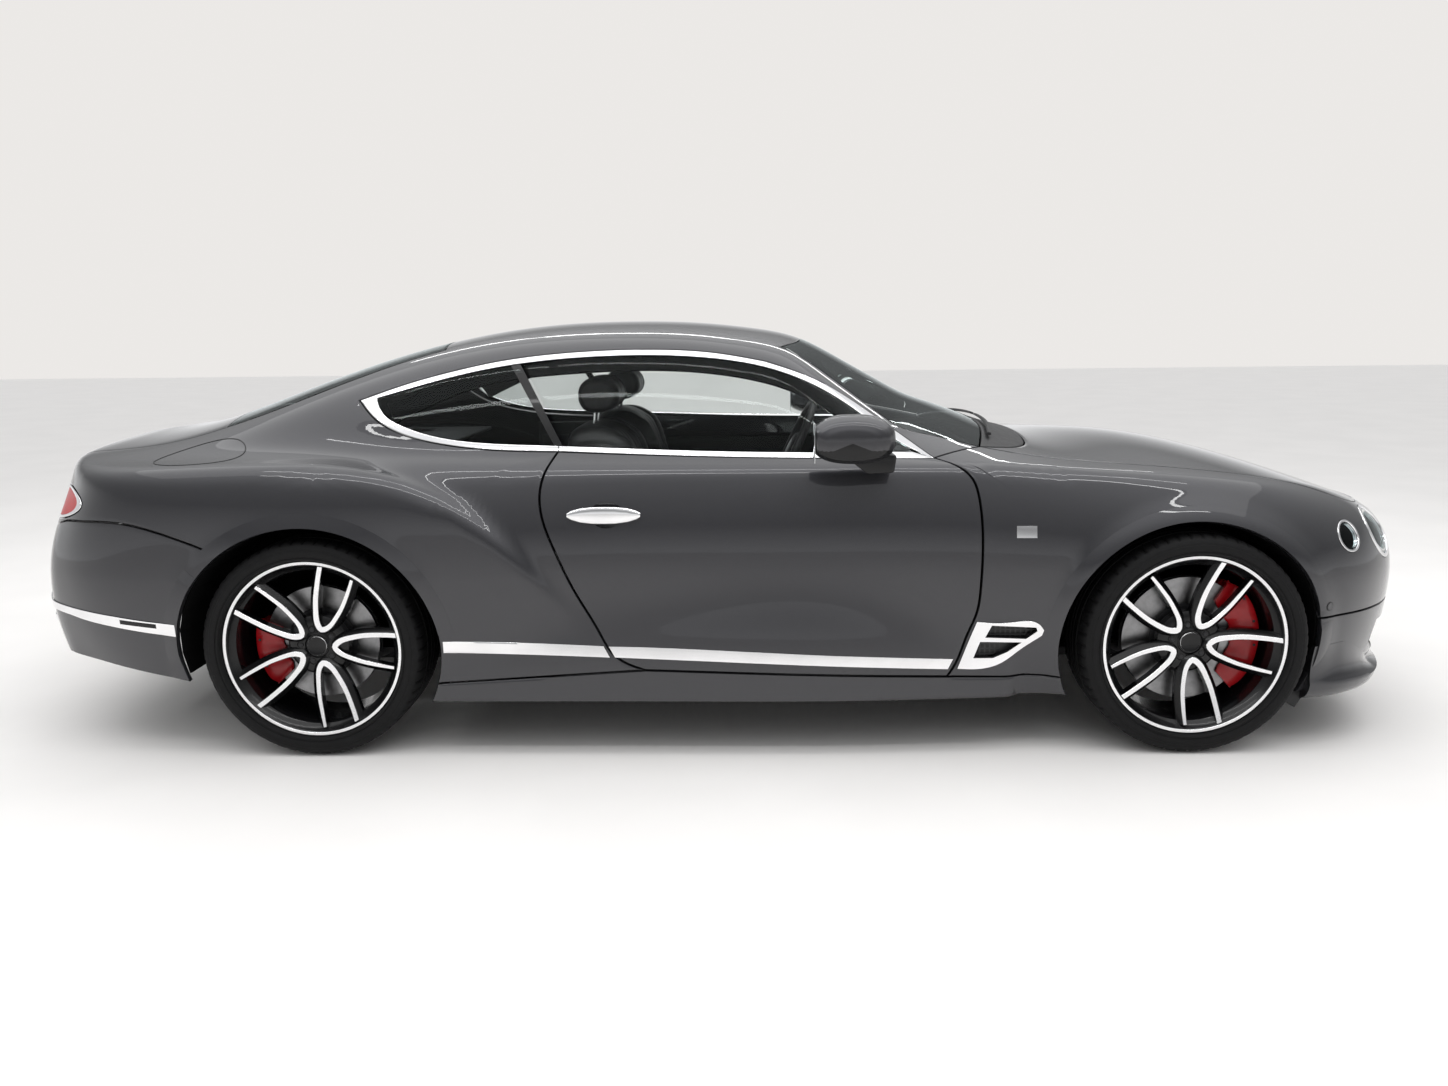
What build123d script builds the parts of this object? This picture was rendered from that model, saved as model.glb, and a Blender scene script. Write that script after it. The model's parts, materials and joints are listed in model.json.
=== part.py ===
"""Two-door fastback coupe car, built as separate named subcomponents.

Millimetres. +X points forward, +Y to the car's left, +Z up. The origin is on the ground under the
middle of the car's overall box. Every outer panel is cut from one smooth body skin, written below as
a field that is negative inside the car and zero on its surface. The right side is described and the
left side is its mirror image.
"""
import math
import os

import numpy as np
from build123d import *

FRONT_AXLE = 1526.0
REAR_AXLE = -1325.0
AXLE_Z = 362.0
TRACK_FRONT = 836.0
TRACK_REAR = 832.0
PANEL_GAP = 5.6
SKIN_T = 16.0


# ---------------------------------------------------------------- body skin
class Curve:
    """Smooth curve through a few knots, straight beyond both ends."""

    def __init__(self, knots):
        table = np.array(sorted(knots), float)
        x, y = table[:, 0], table[:, 1]
        n = len(x)
        h = np.diff(x)
        rows = np.eye(n)
        right = np.zeros(n)
        for i in range(1, n - 1):
            rows[i, i - 1:i + 2] = h[i - 1], 2 * (h[i - 1] + h[i]), h[i]
            right[i] = 3 * ((y[i + 1] - y[i]) / h[i] - (y[i] - y[i - 1]) / h[i - 1])
        c = np.linalg.solve(rows, right)
        self.x, self.y, self.c = x, y, c
        self.b = (y[1:] - y[:-1]) / h - h * (2 * c[:-1] + c[1:]) / 3
        self.d = (c[1:] - c[:-1]) / (3 * h)
        self.end = self.b[-1] + 2 * c[-2] * h[-1] + 3 * self.d[-1] * h[-1] ** 2

    def __call__(self, t):
        t = np.asarray(t, float)
        i = np.clip(np.searchsorted(self.x, t) - 1, 0, len(self.b) - 1)
        u = t - self.x[i]
        v = self.y[i] + u * (self.b[i] + u * (self.c[i] + u * self.d[i]))
        v = np.where(t < self.x[0], self.y[0] + self.b[0] * (t - self.x[0]), v)
        return np.where(t > self.x[-1], self.y[-1] + self.end * (t - self.x[-1]), v)


def table_curves(names, rows):
    """One curve per named column of a station table whose first column is x."""
    return {name: Curve([(row[0], row[i + 1]) for row in rows]) for i, name in enumerate(names)}


# Lower body, metres: half width and height of the sill, of the widest point, of the crest, and the
# height of the deck on the centre line.
BODY = table_curves(
    ("y_low", "z_low", "y_wide", "z_wide", "y_crest", "z_crest", "z_mid"),
    [
        (-2.300, 0.860, 0.240, 0.960, 0.52, 0.860, 0.900, 0.965),
        (-1.900, 0.905, 0.215, 0.970, 0.56, 0.868, 0.925, 0.985),
        (-1.325, 0.925, 0.200, 0.972, 0.60, 0.868, 0.945, 1.100),
        (-0.850, 0.912, 0.192, 0.955, 0.60, 0.872, 0.940, 1.150),
        (-0.300, 0.900, 0.190, 0.944, 0.60, 0.876, 0.935, 1.160),
        (0.300, 0.895, 0.188, 0.940, 0.60, 0.874, 0.932, 1.160),
        (0.800, 0.898, 0.188, 0.944, 0.60, 0.874, 0.933, 1.085),
        (1.100, 0.910, 0.188, 0.956, 0.60, 0.874, 0.925, 0.984),
        (1.526, 0.925, 0.190, 0.972, 0.60, 0.868, 0.896, 0.957),
        (1.950, 0.900, 0.195, 0.960, 0.56, 0.850, 0.834, 0.872),
        (2.350, 0.860, 0.205, 0.930, 0.52, 0.800, 0.700, 0.730),
    ],
)
# Greenhouse, metres: half width at the belt, at the roof rail, and the height of the rail.
GREEN = table_curves(
    ("y_belt", "y_rail"),
    [
        (-2.10, 0.640, 0.420),
        (-1.75, 0.700, 0.490),
        (-1.35, 0.752, 0.550),
        (-0.90, 0.785, 0.590),
        (-0.40, 0.800, 0.615),
        (0.00, 0.802, 0.612),
        (0.40, 0.796, 0.600),
        (0.75, 0.780, 0.590),
    ],
)
BELT_Z = 0.970
RAIL_Z = 1.335
ROOF = Curve([
    (-2.35, 0.930), (-2.10, 0.992), (-1.80, 1.086), (-1.50, 1.194), (-1.20, 1.290), (-0.90, 1.360),
    (-0.60, 1.397), (-0.35, 1.405), (-0.10, 1.398), (0.12, 1.375), (0.30, 1.334), (0.45, 1.258),
    (0.65, 1.146), (0.85, 1.036), (1.05, 0.930),
])
SCREEN_WRAP = Curve([(-2.1, -0.12), (-1.5, -0.10), (-0.9, -0.03), (-0.2, 0.0), (0.2, 0.15),
                     (0.5, 0.30), (0.9, 0.45)])
NOSE = Curve([(0.15, 2.335), (0.22, 2.385), (0.32, 2.410), (0.45, 2.420), (0.60, 2.420),
              (0.70, 2.400), (0.78, 2.350), (0.84, 2.270), (0.95, 2.050)])
TAIL = Curve([(0.20, -2.260), (0.28, -2.340), (0.36, -2.395), (0.45, -2.420), (0.56, -2.425),
              (0.66, -2.408), (0.76, -2.365), (0.86, -2.318), (0.94, -2.312), (1.00, -2.330)])
HAUNCH_Z = Curve([(-2.40, 0.925), (-2.00, 0.945), (-1.60, 0.962), (-1.30, 0.962), (-1.05, 0.930),
                  (-0.85, 0.850), (-0.70, 0.735), (-0.55, 0.570)])
CREST_K = Curve([(-2.3, 0.10), (-1.3, 0.08), (-0.6, 0.04), (1.3, 0.05), (2.0, 0.09), (2.35, 0.12)])
NOSE_START, NOSE_POWER = 1.50, 2.8
TAIL_START, TAIL_POWER = -1.60, 3.2


def soft_max(a, b, k):
    h = np.maximum(k - np.abs(a - b), 0) / k
    return np.maximum(a, b) + h * h * h * k / 6


def soft_min(a, b, k):
    return -soft_max(-a, -b, k)


def half_width(x, z):
    wide, z_wide = BODY["y_wide"](x), BODY["z_wide"](x)
    above = np.maximum(z - z_wide, 0) / (BODY["z_crest"](x) - z_wide)
    below = np.maximum(z_wide - z, 0) / (z_wide - BODY["z_low"](x))
    y = wide - (wide - BODY["y_crest"](x)) * above ** 2 - (wide - BODY["y_low"](x)) * below ** 2
    for axle in (FRONT_AXLE / 1000, REAR_AXLE / 1000):
        lip = np.clip(1 - np.abs(np.hypot(x - axle, z - 0.357) - 0.425) / 0.075, 0, 1)
        y = y + 0.010 * lip ** 2 * (3 - 2 * lip)
    return y


def end_round(x, y, z, half):
    nose = np.maximum((x - NOSE_START) / (NOSE(z) - NOSE_START), 0)
    tail = np.maximum((TAIL_START - x) / (TAIL_START - TAIL(z)), 0)
    across = y / np.maximum(half, 0.3)
    front = (nose ** NOSE_POWER + across ** NOSE_POWER) ** (1 / NOSE_POWER) - 1
    rear = (tail ** TAIL_POWER + across ** TAIL_POWER) ** (1 / TAIL_POWER) - 1
    return np.where(x > 0, front, rear) * 0.93


def field(p):
    """Negative inside the car, zero on its skin, close to a distance in metres."""
    x, y, z = p[..., 0], np.abs(p[..., 1]) + 1e-7, p[..., 2]
    crest = BODY["z_crest"](x)
    deck = crest + (BODY["z_mid"](x) - crest) * (1 - (y / BODY["y_crest"](x)) ** 2)
    lower = soft_max(end_round(x, y, z, half_width(x, z)), z - deck, CREST_K(x))
    wide = 0.983 - 0.10 * (np.abs((x - REAR_AXLE / 1000) / 1.1) ** 3 + np.abs((z - 0.60) / 0.45) ** 3)
    wide = wide - 0.05 * np.maximum(0.6 - z, 0)
    top = (z - HAUNCH_Z(x) - 0.07 * (0.90 - y)) * 0.9
    haunch = soft_max(end_round(x, y, z, wide), top, 0.07)
    t = (z - BELT_Z) / (RAIL_Z - BELT_Z)
    belt, rail = GREEN["y_belt"](x), GREEN["y_rail"](x)
    flank = (y - belt + (belt - rail) * t * (1 - 0.18 * (1 - t))) * 0.86
    crown = (z - ROOF(x + SCREEN_WRAP(x) * y * y) + 0.155 * y * y) * 0.9
    house = soft_max(flank, crown, 0.16)
    house = soft_max(house, np.abs(x + 0.62) - 1.60, 0.10)
    base = soft_min(lower, haunch, 0.05)
    return soft_min(base, house, 0.03 + 0.10 / (1 + np.exp((x + 1.2) / 0.12)))


def gradient(p):
    step = 1e-4
    g = np.stack([(field(p + d) - field(p - d)) / (2 * step) for d in np.eye(3) * step], -1)
    return g


def pull(p):
    """Move points onto the skin along its own slope."""
    for _ in range(8):
        g = gradient(p)
        p = p - g * (field(p) / np.maximum((g * g).sum(-1), 1e-6))[..., None]
    return p


def cast(start, way, reach=1.4):
    """First point of the skin met along a ray from outside."""
    way = np.broadcast_to(np.asarray(way, float), start.shape)
    near = np.zeros(start.shape[:-1])
    far = np.full(near.shape, reach)
    found = np.zeros(near.shape, bool)
    steps = np.linspace(0, reach, 57)
    for t0, t1 in zip(steps[:-1], steps[1:]):
        hit = ~found & (field(start + way * t1) < 0)
        near = np.where(hit, t0, near)
        far = np.where(hit, t1, far)
        found |= hit
    for _ in range(30):
        mid = (near + far) / 2
        inside = field(start + way * mid[..., None]) < 0
        far = np.where(inside, mid, far)
        near = np.where(inside, near, mid)
    return start + way * near[..., None]


def on_side(x, z):
    x, z = np.broadcast_arrays(np.asarray(x, float), np.asarray(z, float))
    return cast(np.stack([x, np.full(x.shape, -1.15), z], -1), (0, 1, 0), 1.15)


def on_top(x, y):
    x, y = np.broadcast_arrays(np.asarray(x, float), np.asarray(y, float))
    return cast(np.stack([x, y, np.full(x.shape, 1.55)], -1), (0, 0, -1))


def on_end(y, z, end):
    y, z = np.broadcast_arrays(np.asarray(y, float), np.asarray(z, float))
    return cast(np.stack([np.full(y.shape, 2.6 * end), y, z], -1), (-end, 0, 0))


def smooth_path(points, count, closed_ends=True):
    """Points spaced evenly along a smooth curve through the given 2-D points."""
    pts = np.array(points, float)
    t = np.concatenate([[0], np.cumsum(np.hypot(*np.diff(pts, axis=0).T))])
    if len(pts) == 2:
        fine = np.linspace(0, 1, 2)[:, None] * (pts[1] - pts[0]) + pts[0]
    else:
        cx, cy = Curve(list(zip(t, pts[:, 0]))), Curve(list(zip(t, pts[:, 1])))
        u = np.linspace(0, t[-1], 200)
        fine = np.stack([cx(u), cy(u)], -1)
    s = np.concatenate([[0], np.cumsum(np.hypot(*np.diff(fine, axis=0).T))])
    want = np.linspace(0, s[-1], count + 1)
    return np.stack([np.interp(want, s, fine[:, 0]), np.interp(want, s, fine[:, 1])], -1)


def line(plane, points, count):
    """A curve on the skin from points read in the side (x, z), top (x, y), front or rear (y, z) view."""
    path = smooth_path(points, count)
    if plane == "side":
        return on_side(path[:, 0], path[:, 1])
    if plane == "top":
        return on_top(path[:, 0], path[:, 1])
    return on_end(path[:, 0], path[:, 1], 1 if plane == "front" else -1)


# ---------------------------------------------------------------- sheets cut from the skin
class Sheet:
    """Triangles lying on the skin; patches weld where their edges share points."""

    def __init__(self):
        self.points = []
        self.keys = {}
        self.faces = []

    def vertex(self, p):
        key = tuple(np.round(p * 1000).astype(int))
        if key not in self.keys:
            self.keys[key] = len(self.points)
            self.points.append(p)
        return self.keys[key]

    def patch(self, grid):
        """Add a grid of points as triangles that face outwards."""
        ids = [[self.vertex(p) for p in row] for row in grid]
        mid = grid[len(grid) // 2 - 1:len(grid) // 2 + 1, grid.shape[1] // 2 - 1:grid.shape[1] // 2 + 1]
        out = gradient(mid.reshape(-1, 3).mean(0))
        turn = np.dot(np.cross(mid[1, 0] - mid[0, 0], mid[0, 1] - mid[0, 0]), out) > 0
        for i in range(len(ids) - 1):
            for j in range(len(ids[0]) - 1):
                a, b, c, d = ids[i][j], ids[i + 1][j], ids[i + 1][j + 1], ids[i][j + 1]
                for tri in ((a, b, c), (a, c, d)):
                    if len(set(tri)) == 3:
                        self.faces.append(tri if turn else tri[::-1])
        return self

    def mirrored(self):
        """The same sheet on the other side of the car."""
        twin = Sheet()
        for p in self.points:
            twin.vertex(p * np.array([1, -1, 1]))
        twin.faces = [face[::-1] for face in self.faces]
        return twin

    def joined(self, other):
        ids = [self.vertex(p) for p in other.points]
        for face in other.faces:
            self.faces.append(tuple(ids[i] for i in face))
        return self

    def rim(self):
        """Directed edges that belong to one triangle only."""
        edges = {(f[k], f[(k + 1) % 3]) for f in self.faces for k in range(3)}
        return [(a, b) for a, b in edges if (b, a) not in edges]

    def shaped(self, gap, depth, bite=0.0):
        """Outer and inner points after drawing the rim in by half a gap and going depth inwards."""
        p = np.array(self.points)
        edges = self.rim()
        after, before = dict(edges), {b: a for a, b in edges}
        ids = np.array(sorted(after))
        here, ahead, back = p[ids], p[[after[i] for i in ids]], p[[before[i] for i in ids]]
        out = gradient(here)
        out /= np.linalg.norm(out, axis=1)[:, None]
        e1, e2 = here - back, ahead - here
        e1 /= np.linalg.norm(e1, axis=1)[:, None]
        e2 /= np.linalg.norm(e2, axis=1)[:, None]
        m1, m2 = np.cross(out, e1), np.cross(out, e2)
        lean = np.maximum(1 + (m1 * m2).sum(1), 0.5)
        shift = (m1 + m2) / lean[:, None] * (gap / 2)
        moved = p.copy()
        moved[ids] = pull(here + shift)
        n = gradient(moved)
        n /= np.linalg.norm(n, axis=1)[:, None]
        deep = depth(moved) if callable(depth) else depth
        inner = moved - n * np.broadcast_to(deep, len(moved))[:, None]
        return moved + n * bite, inner


def coons(first, last, start, end):
    """Grid between two long curves (first, last) and two short ones (start, end), drawn onto the skin."""
    n, m = len(first), len(start)
    u = np.linspace(0, 1, n)[:, None, None]
    v = np.linspace(0, 1, m)[None, :, None]
    rows = (1 - v) * first[:, None] + v * last[:, None]
    cols = (1 - u) * start[None] + u * end[None]
    mix = ((1 - u) * (1 - v) * first[0] + u * (1 - v) * first[-1]
           + (1 - u) * v * last[0] + u * v * last[-1])
    grid = rows + cols - mix
    grid[1:-1, 1:-1] = pull(grid[1:-1, 1:-1])
    return grid


def between(a, b, count):
    """Straight run from point a to point b drawn onto the skin, ends kept."""
    run = a + np.linspace(0, 1, count + 1)[:, None] * (b - a)
    run[1:-1] = pull(run[1:-1])
    return run


def chain(*curves):
    """Curves end to end as one."""
    return np.concatenate([curves[0]] + [c[1:] for c in curves[1:]])


def polyhedron(outer, inner, sheet):
    """Closed flat-faced solid between two sides of a sheet."""
    n = len(outer)
    points = np.concatenate([outer, inner]) * 1000
    faces = [tuple(f) for f in sheet.faces]
    faces += [(f[2] + n, f[1] + n, f[0] + n) for f in sheet.faces]
    for a, b in sheet.rim():
        faces += [(b, a, a + n), (b, a + n, b + n)]
    return solid_of(points, faces)


def solid_of(points, faces):
    made = [Face(Wire.make_polygon([Vector(*points[i]) for i in face], close=True)) for face in faces]
    return Solid(Shell(made))


def panel(sheet, depth=SKIN_T / 1000, gap=PANEL_GAP / 1000):
    outer, inner = sheet.shaped(gap, depth)
    return polyhedron(outer, inner, sheet)


# ---------------------------------------------------------------- panel outlines, right side, metres
DOOR_REAR = [(-0.235, 0.294), (-0.300, 0.318), (-0.341, 0.348), (-0.383, 0.416), (-0.454, 0.539),
             (-0.520, 0.682), (-0.562, 0.797), (-0.568, 0.860), (-0.550, 0.935), (-0.522, 0.986)]
DOOR_FRONT = [(0.736, 0.2645), (0.760, 0.300), (0.800, 0.400), (0.8275, 0.470), (0.8375, 0.550),
              (0.841, 0.675), (0.8375, 0.7875), (0.830, 0.846), (0.814, 0.895), (0.790, 0.922),
              (0.700, 0.957)]
BELT_DOOR = [(-0.522, 0.986), (-0.250, 0.975), (0.000, 0.967), (0.300, 0.961), (0.700, 0.957)]
BELT_REAR = [(-0.522, 0.986), (-0.715, 0.991), (-0.800, 0.997), (-0.942, 1.016), (-1.061, 1.047),
             (-1.146, 1.092), (-1.206, 1.150)]
RAIL_REAR = [(-1.206, 1.150), (-1.015, 1.212), (-0.900, 1.241)]
RAIL_SIDE = [(-0.900, 1.241), (-0.789, 1.265), (-0.530, 1.298), (-0.269, 1.308), (-0.005, 1.294),
             (0.158, 1.265)]
RAIL_FRONT = [(0.158, 1.265), (0.331, 1.202), (0.516, 1.087), (0.614, 1.018), (0.700, 0.957)]
GLASS_TOP = [(-1.148, 1.157), (-1.000, 1.198), (-0.789, 1.247), (-0.530, 1.280), (-0.269, 1.290),
             (-0.005, 1.276), (0.158, 1.247), (0.325, 1.185), (0.500, 1.072), (0.600, 1.000),
             (0.635, 0.982)]
GLASS_LOW = [(-1.148, 1.157), (-1.125, 1.115), (-1.050, 1.069), (-0.942, 1.036), (-0.800, 1.016),
             (-0.529, 1.004), (-0.250, 0.993), (0.000, 0.984), (0.302, 0.978), (0.635, 0.974)]
SCREEN_SIDE = [(0.215, -0.500), (0.450, -0.570), (0.700, -0.640), (0.870, -0.695)]
SCREEN_HEAD = [(0.215, -0.500), (0.275, -0.300), (0.305, 0.000)]
SCREEN_FOOT = [(0.870, -0.695), (0.930, -0.400), (0.955, 0.000)]
ROOF_SIDE = [(0.215, -0.500), (-0.100, -0.520), (-0.500, -0.515), (-0.960, -0.480)]
REAR_GLASS_HEAD = [(-0.960, -0.480), (-0.990, -0.300), (-1.005, 0.000)]
REAR_GLASS_TOP_SIDE = [(-0.960, -0.480), (-1.230, -0.540)]
REAR_GLASS_SIDE = [(-1.230, -0.540), (-1.480, -0.570), (-1.720, -0.560)]
REAR_GLASS_FOOT = [(-1.720, -0.560), (-1.760, -0.300), (-1.775, 0.000)]
LID_SIDE = [(-1.720, -0.560), (-1.950, -0.560), (-2.200, -0.520)]
LID_TAIL_SIDE = [(-0.515, 0.930), (-0.500, 0.850), (-0.480, 0.640)]
SEAM_REAR = [(-1.583, 0.683), (-1.760, 0.748), (-1.918, 0.782), (-2.060, 0.780)]
SEAM_TAIL = [(-0.800, 0.770), (-0.640, 0.715), (-0.480, 0.640)]
BONNET_REAR = [(0.870, -0.695), (1.000, -0.630), (1.080, -0.430), (1.110, 0.000)]
BONNET_SIDE = [(0.870, -0.695), (1.120, -0.728), (1.400, -0.752), (1.600, -0.765), (1.780, -0.762)]
BONNET_CORNER = [(1.780, -0.762), (1.950, -0.740), (2.080, -0.690), (2.180, -0.590), (2.245, -0.440)]
BONNET_FRONT = [(2.245, -0.440), (2.290, -0.200), (2.305, 0.000)]
SEAM_FRONT_SIDE = [(1.925, 0.444), (2.100, 0.444)]
SEAM_FRONT = [(-0.790, 0.444), (-0.640, 0.444), (-0.440, 0.444)]
BUMPER_FRONT_LOW = [(-0.800, 0.195), (-0.600, 0.190), (-0.300, 0.185), (0.000, 0.185)]
BUMPER_REAR_LOW = [(-0.800, 0.325), (-0.600, 0.325), (-0.300, 0.312), (0.000, 0.305)]
ARCH_FRONT = dict(x=FRONT_AXLE / 1000 - 0.011, z=0.357, across=0.420, up=0.405)
ARCH_REAR = dict(x=REAR_AXLE / 1000 - 0.002, z=0.357, across=0.425, up=0.408)
STRIP_SILL_TOP = [(-0.890, 0.393), (-0.706, 0.388), (-0.370, 0.373)]
STRIP_SILL_LOW = [(-0.890, 0.354), (-0.706, 0.349), (-0.350, 0.336)]
STRIP_DOOR_TOP = [(-0.354, 0.372), (-0.260, 0.370), (0.005, 0.359), (0.340, 0.342), (0.755, 0.322)]
STRIP_DOOR_LOW = [(-0.334, 0.336), (-0.260, 0.333), (0.005, 0.322), (0.340, 0.307), (0.738, 0.289)]
STRIP_TAIL_TOP = [(-1.752, 0.456), (-1.850, 0.464), (-1.950, 0.475), (-2.070, 0.486), (-2.150, 0.492)]
STRIP_TAIL_LOW = [(-1.752, 0.416), (-1.859, 0.427), (-1.984, 0.443), (-2.080, 0.455), (-2.150, 0.466)]
STRIP_BACK_TOP = [(-0.790, 0.501), (-0.500, 0.508), (0.000, 0.510)]
STRIP_BACK_LOW = [(-0.790, 0.478), (-0.500, 0.486), (0.000, 0.488)]
VENT_TOP = [(0.829, 0.444), (0.930, 0.441), (1.030, 0.434), (1.044, 0.416)]
VENT_LOW = [(0.768, 0.290), (0.855, 0.289), (0.905, 0.303), (0.972, 0.350), (1.038, 0.398)]
VENT_HOLES = [
    [(0.857, 0.391), (0.877, 0.431), (1.018, 0.425), (1.022, 0.412), (0.988, 0.386)],
    [(0.820, 0.324), (0.841, 0.377), (0.975, 0.374), (0.930, 0.342), (0.884, 0.323)],
]
VENT_BACK_TOP = [(0.815, 0.440), (1.035, 0.432)]
VENT_BACK_LOW = [(0.815, 0.312), (1.035, 0.360)]
# Lamp openings: centre, radius
HEADLAMPS = [((2.038, -0.834, 0.696), 0.056), ((2.196, -0.662, 0.676), 0.098)]
TAIL_LAMP = dict(y=-0.682, z=0.822, along=0.165, up=0.056)
EXHAUST = dict(y=-0.560, z=0.403, along=0.086, up=0.046)
INTAKE_SIDE = [(-0.716, 0.385), (-0.520, 0.376), (-0.470, 0.318), (-0.505, 0.250), (-0.640, 0.258), (-0.724, 0.310)]
INTAKE_SIDE_TOP = [(-0.732, 0.392), (-0.460, 0.384)]
INTAKE_SIDE_LOW = [(-0.732, 0.255), (-0.460, 0.240)]
INTAKE_MID = [(-0.372, 0.362), (0.372, 0.362), (0.325, 0.235), (-0.325, 0.235)]
HANDLE = dict(x=(-0.482, -0.241), z=0.796, half=0.0275)
WIPERS = [[(0.932, -0.560), (0.972, -0.300), (0.988, -0.030)], [(0.990, 0.050), (0.975, 0.320), (0.935, 0.590)]]
# Mirror head sections: y, centre x, centre z, half depth, half height
MIRROR_RINGS = [
    (-0.942, 0.428, 1.034, 0.070, 0.040), (-0.950, 0.426, 1.036, 0.100, 0.060), (-0.975, 0.423, 1.038, 0.122, 0.073),
    (-1.010, 0.420, 1.038, 0.130, 0.078), (-1.050, 0.418, 1.037, 0.127, 0.075), (-1.078, 0.415, 1.035, 0.108, 0.062),
    (-1.093, 0.412, 1.033, 0.072, 0.038),
]
MIRROR_BACK = 0.300
RAIL_TRIM_LOW = [(-1.085, 1.085), (-0.789, 1.208), (-0.530, 1.243), (-0.269, 1.254), (-0.005, 1.240),
                 (0.158, 1.210), (0.325, 1.148), (0.480, 1.045), (0.540, 1.004)]
RAIL_TRIM_TOP = [(-1.120, 1.150), (-0.900, 1.232), (-0.789, 1.256), (-0.530, 1.289), (-0.269, 1.299),
                 (-0.005, 1.285), (0.158, 1.256), (0.331, 1.193), (0.516, 1.080), (0.614, 1.012)]
FINE = 1


def arch(shape, a0, a1, count):
    """Run of a wheel-arch edge between two angles, degrees from straight ahead."""
    a = np.radians(np.linspace(a0, a1, count * FINE + 1))
    return on_side(shape["x"] + shape["across"] * np.cos(a), shape["z"] + shape["up"] * np.sin(a))


def run(plane, points, count):
    return line(plane, points, count * FINE)


def link(a, b, count):
    return between(a, b, count * FINE)


def both(sheet):
    """One sheet across the centre line."""
    return sheet.joined(sheet.mirrored())


def outline_curves():
    """Every shared edge once, so that neighbouring panels use the same points."""
    c = {}
    c["door_rear"] = run("side", DOOR_REAR, 8)
    c["door_front"] = run("side", DOOR_FRONT, 8)
    c["belt_door"] = run("side", BELT_DOOR, 12)
    c["belt_rear"] = run("side", BELT_REAR, 7)
    c["rail_rear"] = run("side", RAIL_REAR, 4)
    c["rail_side"] = run("side", RAIL_SIDE, 8)
    c["rail_front"] = run("side", RAIL_FRONT, 6)
    c["screen_side"] = run("top", SCREEN_SIDE, 6)
    c["screen_head"] = run("top", SCREEN_HEAD, 5)
    c["screen_foot"] = run("top", SCREEN_FOOT, 5)
    c["roof_side"] = run("top", ROOF_SIDE, 8)
    c["glass_head"] = run("top", REAR_GLASS_HEAD, 5)
    c["glass_top_side"] = run("top", REAR_GLASS_TOP_SIDE, 4)
    c["glass_side"] = run("top", REAR_GLASS_SIDE, 5)
    c["glass_foot"] = run("top", REAR_GLASS_FOOT, 5)
    top = run("top", LID_SIDE, 4)
    tail = run("rear", LID_TAIL_SIDE, 3)
    c["lid_side"] = chain(top, link(top[-1], tail[0], 2), tail)
    side, back = run("side", SEAM_REAR, 5), run("rear", SEAM_TAIL, 3)
    c["seam_rear"] = chain(side, link(side[-1], back[0], 2), back)
    c["seam_rear"][0] = arch(ARCH_REAR, 127, 127, 1)[0]
    c["seam_rear"][-1] = c["lid_side"][-1]
    c["bonnet_rear"] = run("top", BONNET_REAR, 5)
    c["bonnet_side"] = run("top", BONNET_SIDE, 8)
    c["bonnet_corner"] = run("top", BONNET_CORNER, 7)
    c["bonnet_front"] = run("top", BONNET_FRONT, 5)
    side, front = run("side", SEAM_FRONT_SIDE, 2), run("front", SEAM_FRONT, 3)
    c["seam_front"] = chain(side, link(side[-1], front[0], 1), front)
    c["seam_front"][0] = arch(ARCH_FRONT, 12.4, 12.4, 1)[0]
    low = c["seam_front"][-1]
    c["cheek"] = link(low, c["bonnet_corner"][-1], 4)
    return c


def door_sheet(c):
    low = run("side", [DOOR_REAR[0], DOOR_FRONT[0]], 12)
    return Sheet().patch(coons(low, c["belt_door"], c["door_rear"], c["door_front"]))


def wing_sheet(c):
    back, top, lead = arch(ARCH_FRONT, 195, 118, 8), arch(ARCH_FRONT, 118, 45, 9), arch(ARCH_FRONT, 45, 12.4, 1)
    low = link(back[0], c["door_front"][0], 4)
    mid = link(back[-1], c["door_front"][-1], 4)
    high = link(top[-1], c["bonnet_side"][-1], 4)
    foot = link(c["door_front"][-1], c["bonnet_side"][0], 1)
    sheet = Sheet().patch(coons(back, c["door_front"], low, mid))
    sheet.patch(coons(top, chain(foot, c["bonnet_side"]), mid, high))
    return sheet.patch(coons(chain(lead, c["seam_front"]), c["bonnet_corner"], high, c["cheek"]))


def shell_sheet(c):
    """Roof, pillars and both rear quarters: one pressing on each side, welded at the centre line."""
    low_arch, mid_arch = arch(ARCH_REAR, -15.2, 62, 8), arch(ARCH_REAR, 62, 88, 7)
    last_arch = arch(ARCH_REAR, 88, 127, 14)
    low = link(low_arch[0], c["door_rear"][0], 5)
    mid = link(low_arch[-1], c["door_rear"][-1], 5)
    tip = link(mid_arch[-1], c["belt_rear"][-1], 5)
    across = link(c["rail_rear"][0], c["glass_side"][0], 5)
    sheet = Sheet().patch(coons(low_arch, c["door_rear"], low, mid))
    sheet.patch(coons(mid_arch, c["belt_rear"], mid, tip))
    side = chain(c["glass_side"], c["lid_side"])
    sheet.patch(coons(last_arch, side, chain(tip, across), c["seam_rear"]))
    outer = chain(c["rail_rear"], c["rail_side"], c["rail_front"])
    inner = chain(c["glass_top_side"][::-1], c["roof_side"][::-1], c["screen_side"])
    foot = link(c["rail_front"][-1], c["screen_side"][-1], 5)
    sheet.patch(coons(outer, inner, across, foot))
    middle = run("top", [(0.305, 0.0), (-1.005, 0.0)], 8)
    sheet.patch(coons(c["roof_side"], middle, c["screen_head"], c["glass_head"]))
    return both(sheet)


def windscreen_sheet(c):
    middle = run("top", [(0.305, 0.0), (0.955, 0.0)], 6)
    return both(Sheet().patch(coons(c["screen_side"], middle, c["screen_head"], c["screen_foot"])))


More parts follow.
